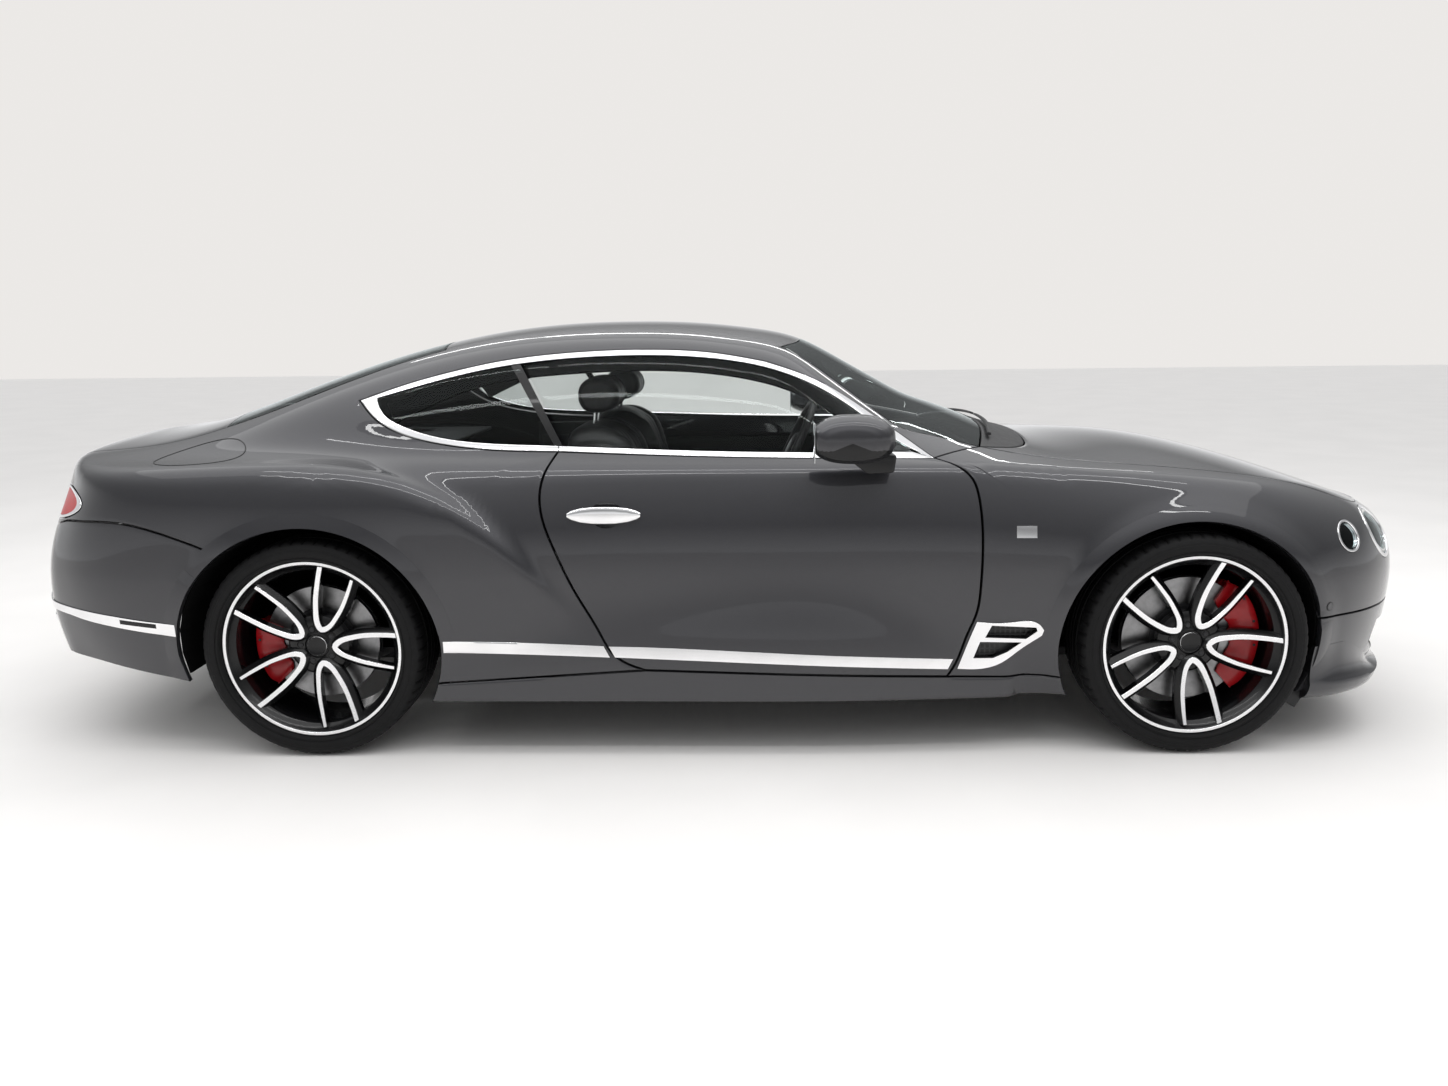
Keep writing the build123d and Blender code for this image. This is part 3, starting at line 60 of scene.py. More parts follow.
REAR_AXLE = -1.325
AXLE_Z = 0.362
HUB_FRONT = 0.836
HUB_REAR = 0.832
SIDES = ((1, "right"), (-1, "left"))
# Wheels: name, axle x, hub y, tyre half width, outward side
WHEELS = [
    ("front_right", FRONT_AXLE, -HUB_FRONT, 0.130, -1),
    ("front_left", FRONT_AXLE, HUB_FRONT, 0.130, 1),
    ("rear_right", REAR_AXLE, -HUB_REAR, 0.140, -1),
    ("rear_left", REAR_AXLE, HUB_REAR, 0.140, 1),
]
RIM_SHARE = 0.80
SPOKE_COUNT = 5


# ---------------------------------------------------------------- body skin
class Curve:
    """Smooth curve through a few knots, straight beyond both ends."""

    def __init__(self, knots):
        table = np.array(sorted(knots), float)
        x, y = table[:, 0], table[:, 1]
        n = len(x)
        h = np.diff(x)
        rows = np.eye(n)
        right = np.zeros(n)
        for i in range(1, n - 1):
            rows[i, i - 1:i + 2] = h[i - 1], 2 * (h[i - 1] + h[i]), h[i]
            right[i] = 3 * ((y[i + 1] - y[i]) / h[i] - (y[i] - y[i - 1]) / h[i - 1])
        c = np.linalg.solve(rows, right)
        self.x, self.y, self.c = x, y, c
        self.b = (y[1:] - y[:-1]) / h - h * (2 * c[:-1] + c[1:]) / 3
        self.d = (c[1:] - c[:-1]) / (3 * h)
        self.end = self.b[-1] + 2 * c[-2] * h[-1] + 3 * self.d[-1] * h[-1] ** 2

    def __call__(self, t):
        t = np.asarray(t, float)
        i = np.clip(np.searchsorted(self.x, t) - 1, 0, len(self.b) - 1)
        u = t - self.x[i]
        v = self.y[i] + u * (self.b[i] + u * (self.c[i] + u * self.d[i]))
        v = np.where(t < self.x[0], self.y[0] + self.b[0] * (t - self.x[0]), v)
        return np.where(t > self.x[-1], self.y[-1] + self.end * (t - self.x[-1]), v)


def table_curves(names, rows):
    """One curve per named column of a station table whose first column is x."""
    return {name: Curve([(row[0], row[i + 1]) for row in rows]) for i, name in enumerate(names)}


# Lower body, metres: half width and height of the sill, of the widest point, of the crest, and the
# height of the deck on the centre line.
BODY = table_curves(
    ("y_low", "z_low", "y_wide", "z_wide", "y_crest", "z_crest", "z_mid"),
    [
        (-2.300, 0.860, 0.240, 0.960, 0.52, 0.860, 0.900, 0.965),
        (-1.900, 0.905, 0.215, 0.970, 0.56, 0.868, 0.925, 0.985),
        (-1.325, 0.925, 0.200, 0.972, 0.60, 0.868, 0.945, 1.100),
        (-0.850, 0.912, 0.192, 0.955, 0.60, 0.872, 0.940, 1.150),
        (-0.300, 0.900, 0.190, 0.944, 0.60, 0.876, 0.935, 1.160),
        (0.300, 0.895, 0.188, 0.940, 0.60, 0.874, 0.932, 1.160),
        (0.800, 0.898, 0.188, 0.944, 0.60, 0.874, 0.933, 1.085),
        (1.100, 0.910, 0.188, 0.956, 0.60, 0.874, 0.925, 0.984),
        (1.526, 0.925, 0.190, 0.972, 0.60, 0.868, 0.896, 0.957),
        (1.950, 0.900, 0.195, 0.960, 0.56, 0.850, 0.834, 0.872),
        (2.350, 0.860, 0.205, 0.930, 0.52, 0.800, 0.700, 0.730),
    ],
)
# Greenhouse, metres: half width at the belt, at the roof rail, and the height of the rail.
GREEN = table_curves(
    ("y_belt", "y_rail"),
    [
        (-2.10, 0.640, 0.420),
        (-1.75, 0.700, 0.490),
        (-1.35, 0.752, 0.550),
        (-0.90, 0.785, 0.590),
        (-0.40, 0.800, 0.615),
        (0.00, 0.802, 0.612),
        (0.40, 0.796, 0.600),
        (0.75, 0.780, 0.590),
    ],
)
BELT_Z = 0.970
RAIL_Z = 1.335
ROOF = Curve([
    (-2.35, 0.930), (-2.10, 0.992), (-1.80, 1.086), (-1.50, 1.194), (-1.20, 1.290), (-0.90, 1.360),
    (-0.60, 1.397), (-0.35, 1.405), (-0.10, 1.398), (0.12, 1.375), (0.30, 1.334), (0.45, 1.258),
    (0.65, 1.146), (0.85, 1.036), (1.05, 0.930),
])
SCREEN_WRAP = Curve([(-2.1, -0.12), (-1.5, -0.10), (-0.9, -0.03), (-0.2, 0.0), (0.2, 0.15),
                     (0.5, 0.30), (0.9, 0.45)])
NOSE = Curve([(0.15, 2.335), (0.22, 2.385), (0.32, 2.410), (0.45, 2.420), (0.60, 2.420),
              (0.70, 2.400), (0.78, 2.350), (0.84, 2.270), (0.95, 2.050)])
TAIL = Curve([(0.20, -2.260), (0.28, -2.340), (0.36, -2.395), (0.45, -2.420), (0.56, -2.425),
              (0.66, -2.408), (0.76, -2.365), (0.86, -2.318), (0.94, -2.312), (1.00, -2.330)])
HAUNCH_Z = Curve([(-2.40, 0.925), (-2.00, 0.945), (-1.60, 0.962), (-1.30, 0.962), (-1.05, 0.930),
                  (-0.85, 0.850), (-0.70, 0.735), (-0.55, 0.570)])
CREST_K = Curve([(-2.3, 0.10), (-1.3, 0.08), (-0.6, 0.04), (1.3, 0.05), (2.0, 0.09), (2.35, 0.12)])
NOSE_START, NOSE_POWER = 1.50, 2.8
TAIL_START, TAIL_POWER = -1.60, 3.2


def soft_max(a, b, k):
    h = np.maximum(k - np.abs(a - b), 0) / k
    return np.maximum(a, b) + h * h * h * k / 6


def soft_min(a, b, k):
    return -soft_max(-a, -b, k)


def half_width(x, z):
    wide, z_wide = BODY["y_wide"](x), BODY["z_wide"](x)
    above = np.maximum(z - z_wide, 0) / (BODY["z_crest"](x) - z_wide)
    below = np.maximum(z_wide - z, 0) / (z_wide - BODY["z_low"](x))
    y = wide - (wide - BODY["y_crest"](x)) * above ** 2 - (wide - BODY["y_low"](x)) * below ** 2
    for axle in (FRONT_AXLE, REAR_AXLE):
        lip = np.clip(1 - np.abs(np.hypot(x - axle, z - 0.357) - 0.425) / 0.075, 0, 1)
        y = y + 0.010 * lip ** 2 * (3 - 2 * lip)
    return y


def end_round(x, y, z, half):
    nose = np.maximum((x - NOSE_START) / (NOSE(z) - NOSE_START), 0)
    tail = np.maximum((TAIL_START - x) / (TAIL_START - TAIL(z)), 0)
    across = y / np.maximum(half, 0.3)
    front = (nose ** NOSE_POWER + across ** NOSE_POWER) ** (1 / NOSE_POWER) - 1
    rear = (tail ** TAIL_POWER + across ** TAIL_POWER) ** (1 / TAIL_POWER) - 1
    return np.where(x > 0, front, rear) * 0.93


def field(p):
    """Negative inside the car, zero on its skin, close to a distance in metres."""
    x, y, z = p[..., 0], np.abs(p[..., 1]) + 1e-7, p[..., 2]
    crest = BODY["z_crest"](x)
    deck = crest + (BODY["z_mid"](x) - crest) * (1 - (y / BODY["y_crest"](x)) ** 2)
    lower = soft_max(end_round(x, y, z, half_width(x, z)), z - deck, CREST_K(x))
    wide = 0.983 - 0.10 * (np.abs((x - REAR_AXLE) / 1.1) ** 3 + np.abs((z - 0.60) / 0.45) ** 3)
    wide = wide - 0.05 * np.maximum(0.6 - z, 0)
    top = (z - HAUNCH_Z(x) - 0.07 * (0.90 - y)) * 0.9
    haunch = soft_max(end_round(x, y, z, wide), top, 0.07)
    t = (z - BELT_Z) / (RAIL_Z - BELT_Z)
    belt, rail = GREEN["y_belt"](x), GREEN["y_rail"](x)
    flank = (y - belt + (belt - rail) * t * (1 - 0.18 * (1 - t))) * 0.86
    crown = (z - ROOF(x + SCREEN_WRAP(x) * y * y) + 0.155 * y * y) * 0.9
    house = soft_max(flank, crown, 0.16)
    house = soft_max(house, np.abs(x + 0.62) - 1.60, 0.10)
    base = soft_min(lower, haunch, 0.05)
    return soft_min(base, house, 0.03 + 0.10 / (1 + np.exp((x + 1.2) / 0.12)))


def gradient(p):
    step = 1e-4
    g = np.stack([(field(p + d) - field(p - d)) / (2 * step) for d in np.eye(3) * step], -1)
    return g


def pull(p):
    """Move points onto the skin along its own slope."""
    for _ in range(8):
        g = gradient(p)
        p = p - g * (field(p) / np.maximum((g * g).sum(-1), 1e-6))[..., None]
    return p


def cast(start, way, reach=1.4):
    """First point of the skin met along a ray from outside."""
    way = np.broadcast_to(np.asarray(way, float), start.shape)
    near = np.zeros(start.shape[:-1])
    far = np.full(near.shape, reach)
    found = np.zeros(near.shape, bool)
    steps = np.linspace(0, reach, 57)
    for t0, t1 in zip(steps[:-1], steps[1:]):
        hit = ~found & (field(start + way * t1) < 0)
        near = np.where(hit, t0, near)
        far = np.where(hit, t1, far)
        found |= hit
    for _ in range(30):
        mid = (near + far) / 2
        inside = field(start + way * mid[..., None]) < 0
        far = np.where(inside, mid, far)
        near = np.where(inside, near, mid)
    return start + way * near[..., None]


def on_side(x, z):
    x, z = np.broadcast_arrays(np.asarray(x, float), np.asarray(z, float))
    return cast(np.stack([x, np.full(x.shape, -1.15), z], -1), (0, 1, 0), 1.15)


def on_top(x, y):
    x, y = np.broadcast_arrays(np.asarray(x, float), np.asarray(y, float))
    return cast(np.stack([x, y, np.full(x.shape, 1.55)], -1), (0, 0, -1))


def on_end(y, z, end):
    y, z = np.broadcast_arrays(np.asarray(y, float), np.asarray(z, float))
    return cast(np.stack([np.full(y.shape, 2.6 * end), y, z], -1), (-end, 0, 0))


def smooth_path(points, count):
    """Points spaced evenly along a smooth curve through the given 2-D points."""
    pts = np.array(points, float)
    t = np.concatenate([[0], np.cumsum(np.hypot(*np.diff(pts, axis=0).T))])
    if len(pts) == 2:
        fine = np.linspace(0, 1, 2)[:, None] * (pts[1] - pts[0]) + pts[0]
    else:
        cx, cy = Curve(list(zip(t, pts[:, 0]))), Curve(list(zip(t, pts[:, 1])))
        u = np.linspace(0, t[-1], 200)
        fine = np.stack([cx(u), cy(u)], -1)
    s = np.concatenate([[0], np.cumsum(np.hypot(*np.diff(fine, axis=0).T))])
    want = np.linspace(0, s[-1], count + 1)
    return np.stack([np.interp(want, s, fine[:, 0]), np.interp(want, s, fine[:, 1])], -1)


def line(plane, points, count):
    """A curve on the skin from points read in the side (x, z), top (x, y), front or rear (y, z) view."""
    path = smooth_path(points, count)
    if plane == "side":
        return on_side(path[:, 0], path[:, 1])
    if plane == "top":
        return on_top(path[:, 0], path[:, 1])
    return on_end(path[:, 0], path[:, 1], 1 if plane == "front" else -1)


# ---------------------------------------------------------------- sheets cut from the skin
class Sheet:
    """Triangles lying on the skin; patches weld where their edges share points."""

    def __init__(self):
        self.points = []
        self.keys = {}
        self.faces = []

    def vertex(self, p):
        key = tuple(np.round(p * 1000).astype(int))
        if key not in self.keys:
            self.keys[key] = len(self.points)
            self.points.append(p)
        return self.keys[key]

    def patch(self, grid):
        """Add a grid of points as triangles that face outwards."""
        ids = [[self.vertex(p) for p in row] for row in grid]
        mid = grid[len(grid) // 2 - 1:len(grid) // 2 + 1, grid.shape[1] // 2 - 1:grid.shape[1] // 2 + 1]
        out = gradient(mid.reshape(-1, 3).mean(0))
        turn = np.dot(np.cross(mid[1, 0] - mid[0, 0], mid[0, 1] - mid[0, 0]), out) > 0
        for i in range(len(ids) - 1):
            for j in range(len(ids[0]) - 1):
                a, b, c, d = ids[i][j], ids[i + 1][j], ids[i + 1][j + 1], ids[i][j + 1]
                for tri in ((a, b, c), (a, c, d)):
                    if len(set(tri)) == 3:
                        self.faces.append(tri if turn else tri[::-1])
        return self

    def mirrored(self):
        """The same sheet on the other side of the car."""
        twin = Sheet()
        for p in self.points:
            twin.vertex(p * np.array([1, -1, 1]))
        twin.faces = [face[::-1] for face in self.faces]
        return twin

    def joined(self, other):
        ids = [self.vertex(p) for p in other.points]
        for face in other.faces:
            self.faces.append(tuple(ids[i] for i in face))
        return self

    def rim(self):
        """Directed edges that belong to one triangle only."""
        edges = {(f[k], f[(k + 1) % 3]) for f in self.faces for k in range(3)}
        return [(a, b) for a, b in edges if (b, a) not in edges]

    def shaped(self, gap, depth, bite=0.0):
        """Outer and inner points after drawing the rim in by half a gap and going depth inwards."""
        p = np.array(self.points)
        edges = self.rim()
        after, before = dict(edges), {b: a for a, b in edges}
        ids = np.array(sorted(after))
        here, ahead, back = p[ids], p[[after[i] for i in ids]], p[[before[i] for i in ids]]
        out = gradient(here)
        out /= np.linalg.norm(out, axis=1)[:, None]
        e1, e2 = here - back, ahead - here
        e1 /= np.linalg.norm(e1, axis=1)[:, None]
        e2 /= np.linalg.norm(e2, axis=1)[:, None]
        m1, m2 = np.cross(out, e1), np.cross(out, e2)
        lean = np.maximum(1 + (m1 * m2).sum(1), 0.5)
        shift = (m1 + m2) / lean[:, None] * (gap / 2)
        moved = p.copy()
        moved[ids] = pull(here + shift)
        n = gradient(moved)
        n /= np.linalg.norm(n, axis=1)[:, None]
        deep = depth(moved) if callable(depth) else depth
        inner = moved - n * np.broadcast_to(deep, len(moved))[:, None]
        return moved + n * bite, inner


def coons(first, last, start, end):
    """Grid between two long curves (first, last) and two short ones (start, end), drawn onto the skin."""
    n, m = len(first), len(start)
    u = np.linspace(0, 1, n)[:, None, None]
    v = np.linspace(0, 1, m)[None, :, None]
    rows = (1 - v) * first[:, None] + v * last[:, None]
    cols = (1 - u) * start[None] + u * end[None]
    mix = ((1 - u) * (1 - v) * first[0] + u * (1 - v) * first[-1]
           + (1 - u) * v * last[0] + u * v * last[-1])
    grid = rows + cols - mix
    grid[1:-1, 1:-1] = pull(grid[1:-1, 1:-1])
    return grid


def between(a, b, count):
    """Straight run from point a to point b drawn onto the skin, ends kept."""
    run = a + np.linspace(0, 1, count + 1)[:, None] * (b - a)
    run[1:-1] = pull(run[1:-1])
    return run


def chain(*curves):
    """Curves end to end as one."""
    return np.concatenate([curves[0]] + [c[1:] for c in curves[1:]])


# ---------------------------------------------------------------- panel outlines, right side, metres
DOOR_REAR = [(-0.235, 0.294), (-0.300, 0.318), (-0.341, 0.348), (-0.383, 0.416), (-0.454, 0.539),
             (-0.520, 0.682), (-0.562, 0.797), (-0.568, 0.860), (-0.550, 0.935), (-0.522, 0.986)]
DOOR_FRONT = [(0.736, 0.2645), (0.760, 0.300), (0.800, 0.400), (0.8275, 0.470), (0.8375, 0.550),
              (0.841, 0.675), (0.8375, 0.7875), (0.830, 0.846), (0.814, 0.895), (0.790, 0.922),
              (0.700, 0.957)]
BELT_DOOR = [(-0.522, 0.986), (-0.250, 0.975), (0.000, 0.967), (0.300, 0.961), (0.700, 0.957)]
BELT_REAR = [(-0.522, 0.986), (-0.715, 0.991), (-0.800, 0.997), (-0.942, 1.016), (-1.061, 1.047),
             (-1.146, 1.092), (-1.206, 1.150)]
RAIL_REAR = [(-1.206, 1.150), (-1.015, 1.212), (-0.900, 1.241)]
RAIL_SIDE = [(-0.900, 1.241), (-0.789, 1.265), (-0.530, 1.298), (-0.269, 1.308), (-0.005, 1.294),
             (0.158, 1.265)]
RAIL_FRONT = [(0.158, 1.265), (0.331, 1.202), (0.516, 1.087), (0.614, 1.018), (0.700, 0.957)]
GLASS_TOP = [(-1.148, 1.157), (-1.000, 1.198), (-0.789, 1.247), (-0.530, 1.280), (-0.269, 1.290),
             (-0.005, 1.276), (0.158, 1.247), (0.325, 1.185), (0.500, 1.072), (0.600, 1.000),
             (0.635, 0.982)]
GLASS_LOW = [(-1.148, 1.157), (-1.125, 1.115), (-1.050, 1.069), (-0.942, 1.036), (-0.800, 1.016),
             (-0.529, 1.004), (-0.250, 0.993), (0.000, 0.984), (0.302, 0.978), (0.635, 0.974)]
SCREEN_SIDE = [(0.215, -0.500), (0.450, -0.570), (0.700, -0.640), (0.870, -0.695)]
SCREEN_HEAD = [(0.215, -0.500), (0.275, -0.300), (0.305, 0.000)]
SCREEN_FOOT = [(0.870, -0.695), (0.930, -0.400), (0.955, 0.000)]
ROOF_SIDE = [(0.215, -0.500), (-0.100, -0.520), (-0.500, -0.515), (-0.960, -0.480)]
REAR_GLASS_HEAD = [(-0.960, -0.480), (-0.990, -0.300), (-1.005, 0.000)]
REAR_GLASS_TOP_SIDE = [(-0.960, -0.480), (-1.230, -0.540)]
REAR_GLASS_SIDE = [(-1.230, -0.540), (-1.480, -0.570), (-1.720, -0.560)]
REAR_GLASS_FOOT = [(-1.720, -0.560), (-1.760, -0.300), (-1.775, 0.000)]
LID_SIDE = [(-1.720, -0.560), (-1.950, -0.560), (-2.200, -0.520)]
LID_TAIL_SIDE = [(-0.515, 0.930), (-0.500, 0.850), (-0.480, 0.640)]
SEAM_REAR = [(-1.583, 0.683), (-1.760, 0.748), (-1.918, 0.782), (-2.060, 0.780)]
SEAM_TAIL = [(-0.800, 0.770), (-0.640, 0.715), (-0.480, 0.640)]
BONNET_REAR = [(0.870, -0.695), (1.000, -0.630), (1.080, -0.430), (1.110, 0.000)]
BONNET_SIDE = [(0.870, -0.695), (1.120, -0.728), (1.400, -0.752), (1.600, -0.765), (1.780, -0.762)]
BONNET_CORNER = [(1.780, -0.762), (1.950, -0.740), (2.080, -0.690), (2.180, -0.590), (2.245, -0.440)]
BONNET_FRONT = [(2.245, -0.440), (2.290, -0.200), (2.305, 0.000)]
SEAM_FRONT_SIDE = [(1.925, 0.444), (2.100, 0.444)]
SEAM_FRONT = [(-0.790, 0.444), (-0.640, 0.444), (-0.440, 0.444)]
BUMPER_FRONT_LOW = [(-0.800, 0.195), (-0.600, 0.190), (-0.300, 0.185), (0.000, 0.185)]
BUMPER_REAR_LOW = [(-0.800, 0.325), (-0.600, 0.325), (-0.300, 0.312), (0.000, 0.305)]
ARCH_FRONT = dict(x=FRONT_AXLE - 0.011, z=0.357, across=0.420, up=0.405)
ARCH_REAR = dict(x=REAR_AXLE - 0.002, z=0.357, across=0.425, up=0.408)
STRIP_SILL_TOP = [(-0.890, 0.393), (-0.706, 0.388), (-0.370, 0.373)]
STRIP_SILL_LOW = [(-0.890, 0.354), (-0.706, 0.349), (-0.350, 0.336)]
STRIP_DOOR_TOP = [(-0.354, 0.372), (-0.260, 0.370), (0.005, 0.359), (0.340, 0.342), (0.755, 0.322)]
STRIP_DOOR_LOW = [(-0.334, 0.336), (-0.260, 0.333), (0.005, 0.322), (0.340, 0.307), (0.738, 0.289)]
STRIP_TAIL_TOP = [(-1.752, 0.456), (-1.850, 0.464), (-1.950, 0.475), (-2.070, 0.486), (-2.150, 0.492)]
STRIP_TAIL_LOW = [(-1.752, 0.416), (-1.859, 0.427), (-1.984, 0.443), (-2.080, 0.455), (-2.150, 0.466)]
STRIP_BACK_TOP = [(-0.790, 0.501), (-0.500, 0.508), (0.000, 0.510)]
STRIP_BACK_LOW = [(-0.790, 0.478), (-0.500, 0.486), (0.000, 0.488)]
VENT_TOP = [(0.829, 0.444), (0.930, 0.441), (1.030, 0.434), (1.044, 0.416)]
VENT_LOW = [(0.768, 0.290), (0.855, 0.289), (0.905, 0.303), (0.972, 0.350), (1.038, 0.398)]
VENT_HOLES = [
    [(0.857, 0.391), (0.877, 0.431), (1.018, 0.425), (1.022, 0.412), (0.988, 0.386)],
    [(0.820, 0.324), (0.841, 0.377), (0.975, 0.374), (0.930, 0.342), (0.884, 0.323)],
]
VENT_BACK_TOP = [(0.815, 0.440), (1.035, 0.432)]
VENT_BACK_LOW = [(0.815, 0.312), (1.035, 0.360)]
# Lamp openings: centre, radius
HEADLAMPS = [((2.038, -0.834, 0.696), 0.056), ((2.196, -0.662, 0.676), 0.098)]
TAIL_LAMP = dict(y=-0.682, z=0.822, along=0.165, up=0.056)
BEZEL_SHARE = 0.87
EXHAUST = dict(y=-0.560, z=0.403, along=0.086, up=0.046)
INTAKE_SIDE = [(-0.716, 0.385), (-0.520, 0.376), (-0.470, 0.318), (-0.505, 0.250), (-0.640, 0.258),
               (-0.724, 0.310)]
INTAKE_SIDE_TOP = [(-0.732, 0.392), (-0.460, 0.384)]
INTAKE_SIDE_LOW = [(-0.732, 0.255), (-0.460, 0.240)]
INTAKE_MID = [(-0.372, 0.362), (0.372, 0.362), (0.325, 0.235), (-0.325, 0.235)]
HANDLE = dict(x=(-0.482, -0.241), z=0.796, half=0.0275)
WIPERS = [[(0.932, -0.560), (0.972, -0.300), (0.988, -0.030)], [(0.990, 0.050), (0.975, 0.320),
                                                                (0.935, 0.590)]]
# Mirror head sections: y, centre x, centre z, half depth, half height
MIRROR_RINGS = [
    (-0.942, 0.428, 1.034, 0.070, 0.040), (-0.950, 0.426, 1.036, 0.100, 0.060), (-0.975, 0.423, 1.038, 0.122,
                                                                                 0.073),
    (-1.010, 0.420, 1.038, 0.130, 0.078), (-1.050, 0.418, 1.037, 0.127, 0.075), (-1.078, 0.415, 1.035, 0.108,
                                                                                 0.062),
    (-1.093, 0.412, 1.033, 0.072, 0.038),
]
MIRROR_BACK = 0.300
RAIL_TRIM_LOW = [(-1.085, 1.085), (-0.789, 1.208), (-0.530, 1.243), (-0.269, 1.254), (-0.005, 1.240),
                 (0.158, 1.210), (0.325, 1.148), (0.480, 1.045), (0.540, 1.004)]
RAIL_TRIM_TOP = [(-1.120, 1.150), (-0.900, 1.232), (-0.789, 1.256), (-0.530, 1.289), (-0.269, 1.299),
                 (-0.005, 1.285), (0.158, 1.256), (0.331, 1.193), (0.516, 1.080), (0.614, 1.012)]
FINE = 6


def arch(shape, a0, a1, count):
    """Run of a wheel-arch edge between two angles, degrees from straight ahead."""
    a = np.radians(np.linspace(a0, a1, count * FINE + 1))
    return on_side(shape["x"] + shape["across"] * np.cos(a), shape["z"] + shape["up"] * np.sin(a))


def run(plane, points, count):
    return line(plane, points, count * FINE)


def link(a, b, count):
    return between(a, b, count * FINE)


def both(sheet):
    """One sheet across the centre line."""
    return sheet.joined(sheet.mirrored())


def outline_curves():
    """Every shared edge once, so that neighbouring panels use the same points."""
    c = {}
    c["door_rear"] = run("side", DOOR_REAR, 8)
    c["door_front"] = run("side", DOOR_FRONT, 8)
    c["belt_door"] = run("side", BELT_DOOR, 12)
    c["belt_rear"] = run("side", BELT_REAR, 7)
    c["rail_rear"] = run("side", RAIL_REAR, 4)
    c["rail_side"] = run("side", RAIL_SIDE, 8)
    c["rail_front"] = run("side", RAIL_FRONT, 6)
    c["screen_side"] = run("top", SCREEN_SIDE, 6)
    c["screen_head"] = run("top", SCREEN_HEAD, 5)
    c["screen_foot"] = run("top", SCREEN_FOOT, 5)
    c["roof_side"] = run("top", ROOF_SIDE, 8)
    c["glass_head"] = run("top", REAR_GLASS_HEAD, 5)
    c["glass_top_side"] = run("top", REAR_GLASS_TOP_SIDE, 4)
    c["glass_side"] = run("top", REAR_GLASS_SIDE, 5)
    c["glass_foot"] = run("top", REAR_GLASS_FOOT, 5)
    top = run("top", LID_SIDE, 4)
    tail = run("rear", LID_TAIL_SIDE, 3)
    c["lid_side"] = chain(top, link(top[-1], tail[0], 2), tail)
    side, back = run("side", SEAM_REAR, 5), run("rear", SEAM_TAIL, 3)
    c["seam_rear"] = chain(side, link(side[-1], back[0], 2), back)
    c["seam_rear"][0] = arch(ARCH_REAR, 127, 127, 1)[0]
    c["seam_rear"][-1] = c["lid_side"][-1]
    c["bonnet_rear"] = run("top", BONNET_REAR, 5)
    c["bonnet_side"] = run("top", BONNET_SIDE, 8)
    c["bonnet_corner"] = run("top", BONNET_CORNER, 7)
    c["bonnet_front"] = run("top", BONNET_FRONT, 5)
    side, front = run("side", SEAM_FRONT_SIDE, 2), run("front", SEAM_FRONT, 3)
    c["seam_front"] = chain(side, link(side[-1], front[0], 1), front)
    c["seam_front"][0] = arch(ARCH_FRONT, 12.4, 12.4, 1)[0]
    low = c["seam_front"][-1]
    c["cheek"] = link(low, c["bonnet_corner"][-1], 4)
    return c


def door_sheet(c):
    low = run("side", [DOOR_REAR[0], DOOR_FRONT[0]], 12)
    return Sheet().patch(coons(low, c["belt_door"], c["door_rear"], c["door_front"]))


def wing_sheet(c):
    back, top, lead = arch(ARCH_FRONT, 195, 118, 8), arch(ARCH_FRONT, 118, 45, 9), arch(ARCH_FRONT, 45, 12.4,
                                                                                        1)
    low = link(back[0], c["door_front"][0], 4)
    mid = link(back[-1], c["door_front"][-1], 4)
    high = link(top[-1], c["bonnet_side"][-1], 4)
    foot = link(c["door_front"][-1], c["bonnet_side"][0], 1)
    sheet = Sheet().patch(coons(back, c["door_front"], low, mid))
    sheet.patch(coons(top, chain(foot, c["bonnet_side"]), mid, high))
    return sheet.patch(coons(chain(lead, c["seam_front"]), c["bonnet_corner"], high, c["cheek"]))


def shell_sheet(c):
    """Roof, pillars and both rear quarters: one pressing on each side, welded at the centre line."""
    low_arch, mid_arch = arch(ARCH_REAR, -15.2, 62, 8), arch(ARCH_REAR, 62, 88, 7)
    last_arch = arch(ARCH_REAR, 88, 127, 14)
    low = link(low_arch[0], c["door_rear"][0], 5)
    mid = link(low_arch[-1], c["door_rear"][-1], 5)
    tip = link(mid_arch[-1], c["belt_rear"][-1], 5)
    across = link(c["rail_rear"][0], c["glass_side"][0], 5)
    sheet = Sheet().patch(coons(low_arch, c["door_rear"], low, mid))
    sheet.patch(coons(mid_arch, c["belt_rear"], mid, tip))
    side = chain(c["glass_side"], c["lid_side"])
    sheet.patch(coons(last_arch, side, chain(tip, across), c["seam_rear"]))
    outer = chain(c["rail_rear"], c["rail_side"], c["rail_front"])
    inner = chain(c["glass_top_side"][::-1], c["roof_side"][::-1], c["screen_side"])
    foot = link(c["rail_front"][-1], c["screen_side"][-1], 5)
    sheet.patch(coons(outer, inner, across, foot))
    middle = run("top", [(0.305, 0.0), (-1.005, 0.0)], 8)
    sheet.patch(coons(c["roof_side"], middle, c["screen_head"], c["glass_head"]))
    return both(sheet)


def windscreen_sheet(c):
    middle = run("top", [(0.305, 0.0), (0.955, 0.0)], 6)
    return both(Sheet().patch(coons(c["screen_side"], middle, c["screen_head"], c["screen_foot"])))


def rear_window_sheet(c):
    middle = run("top", [(-1.005, 0.0), (-1.775, 0.0)], 9)
    side = chain(c["glass_top_side"], c["glass_side"])
    return both(Sheet().patch(coons(side, middle, c["glass_head"], c["glass_foot"])))


def cowl_sheet(c):
    middle = run("top", [(0.955, 0.0), (1.110, 0.0)], 2)
    corner = np.repeat(c["screen_foot"][:1], 2 * FINE + 1, axis=0)
    return both(Sheet().patch(coons(c["screen_foot"], c["bonnet_rear"], corner, middle)))


def bonnet_sheet(c):
    middle = run("top", [(1.110, 0.0), (2.305, 0.0)], 15)
    side = chain(c["bonnet_side"], c["bonnet_corner"])
    return both(Sheet().patch(coons(side, middle, c["bonnet_rear"], c["bonnet_front"])))


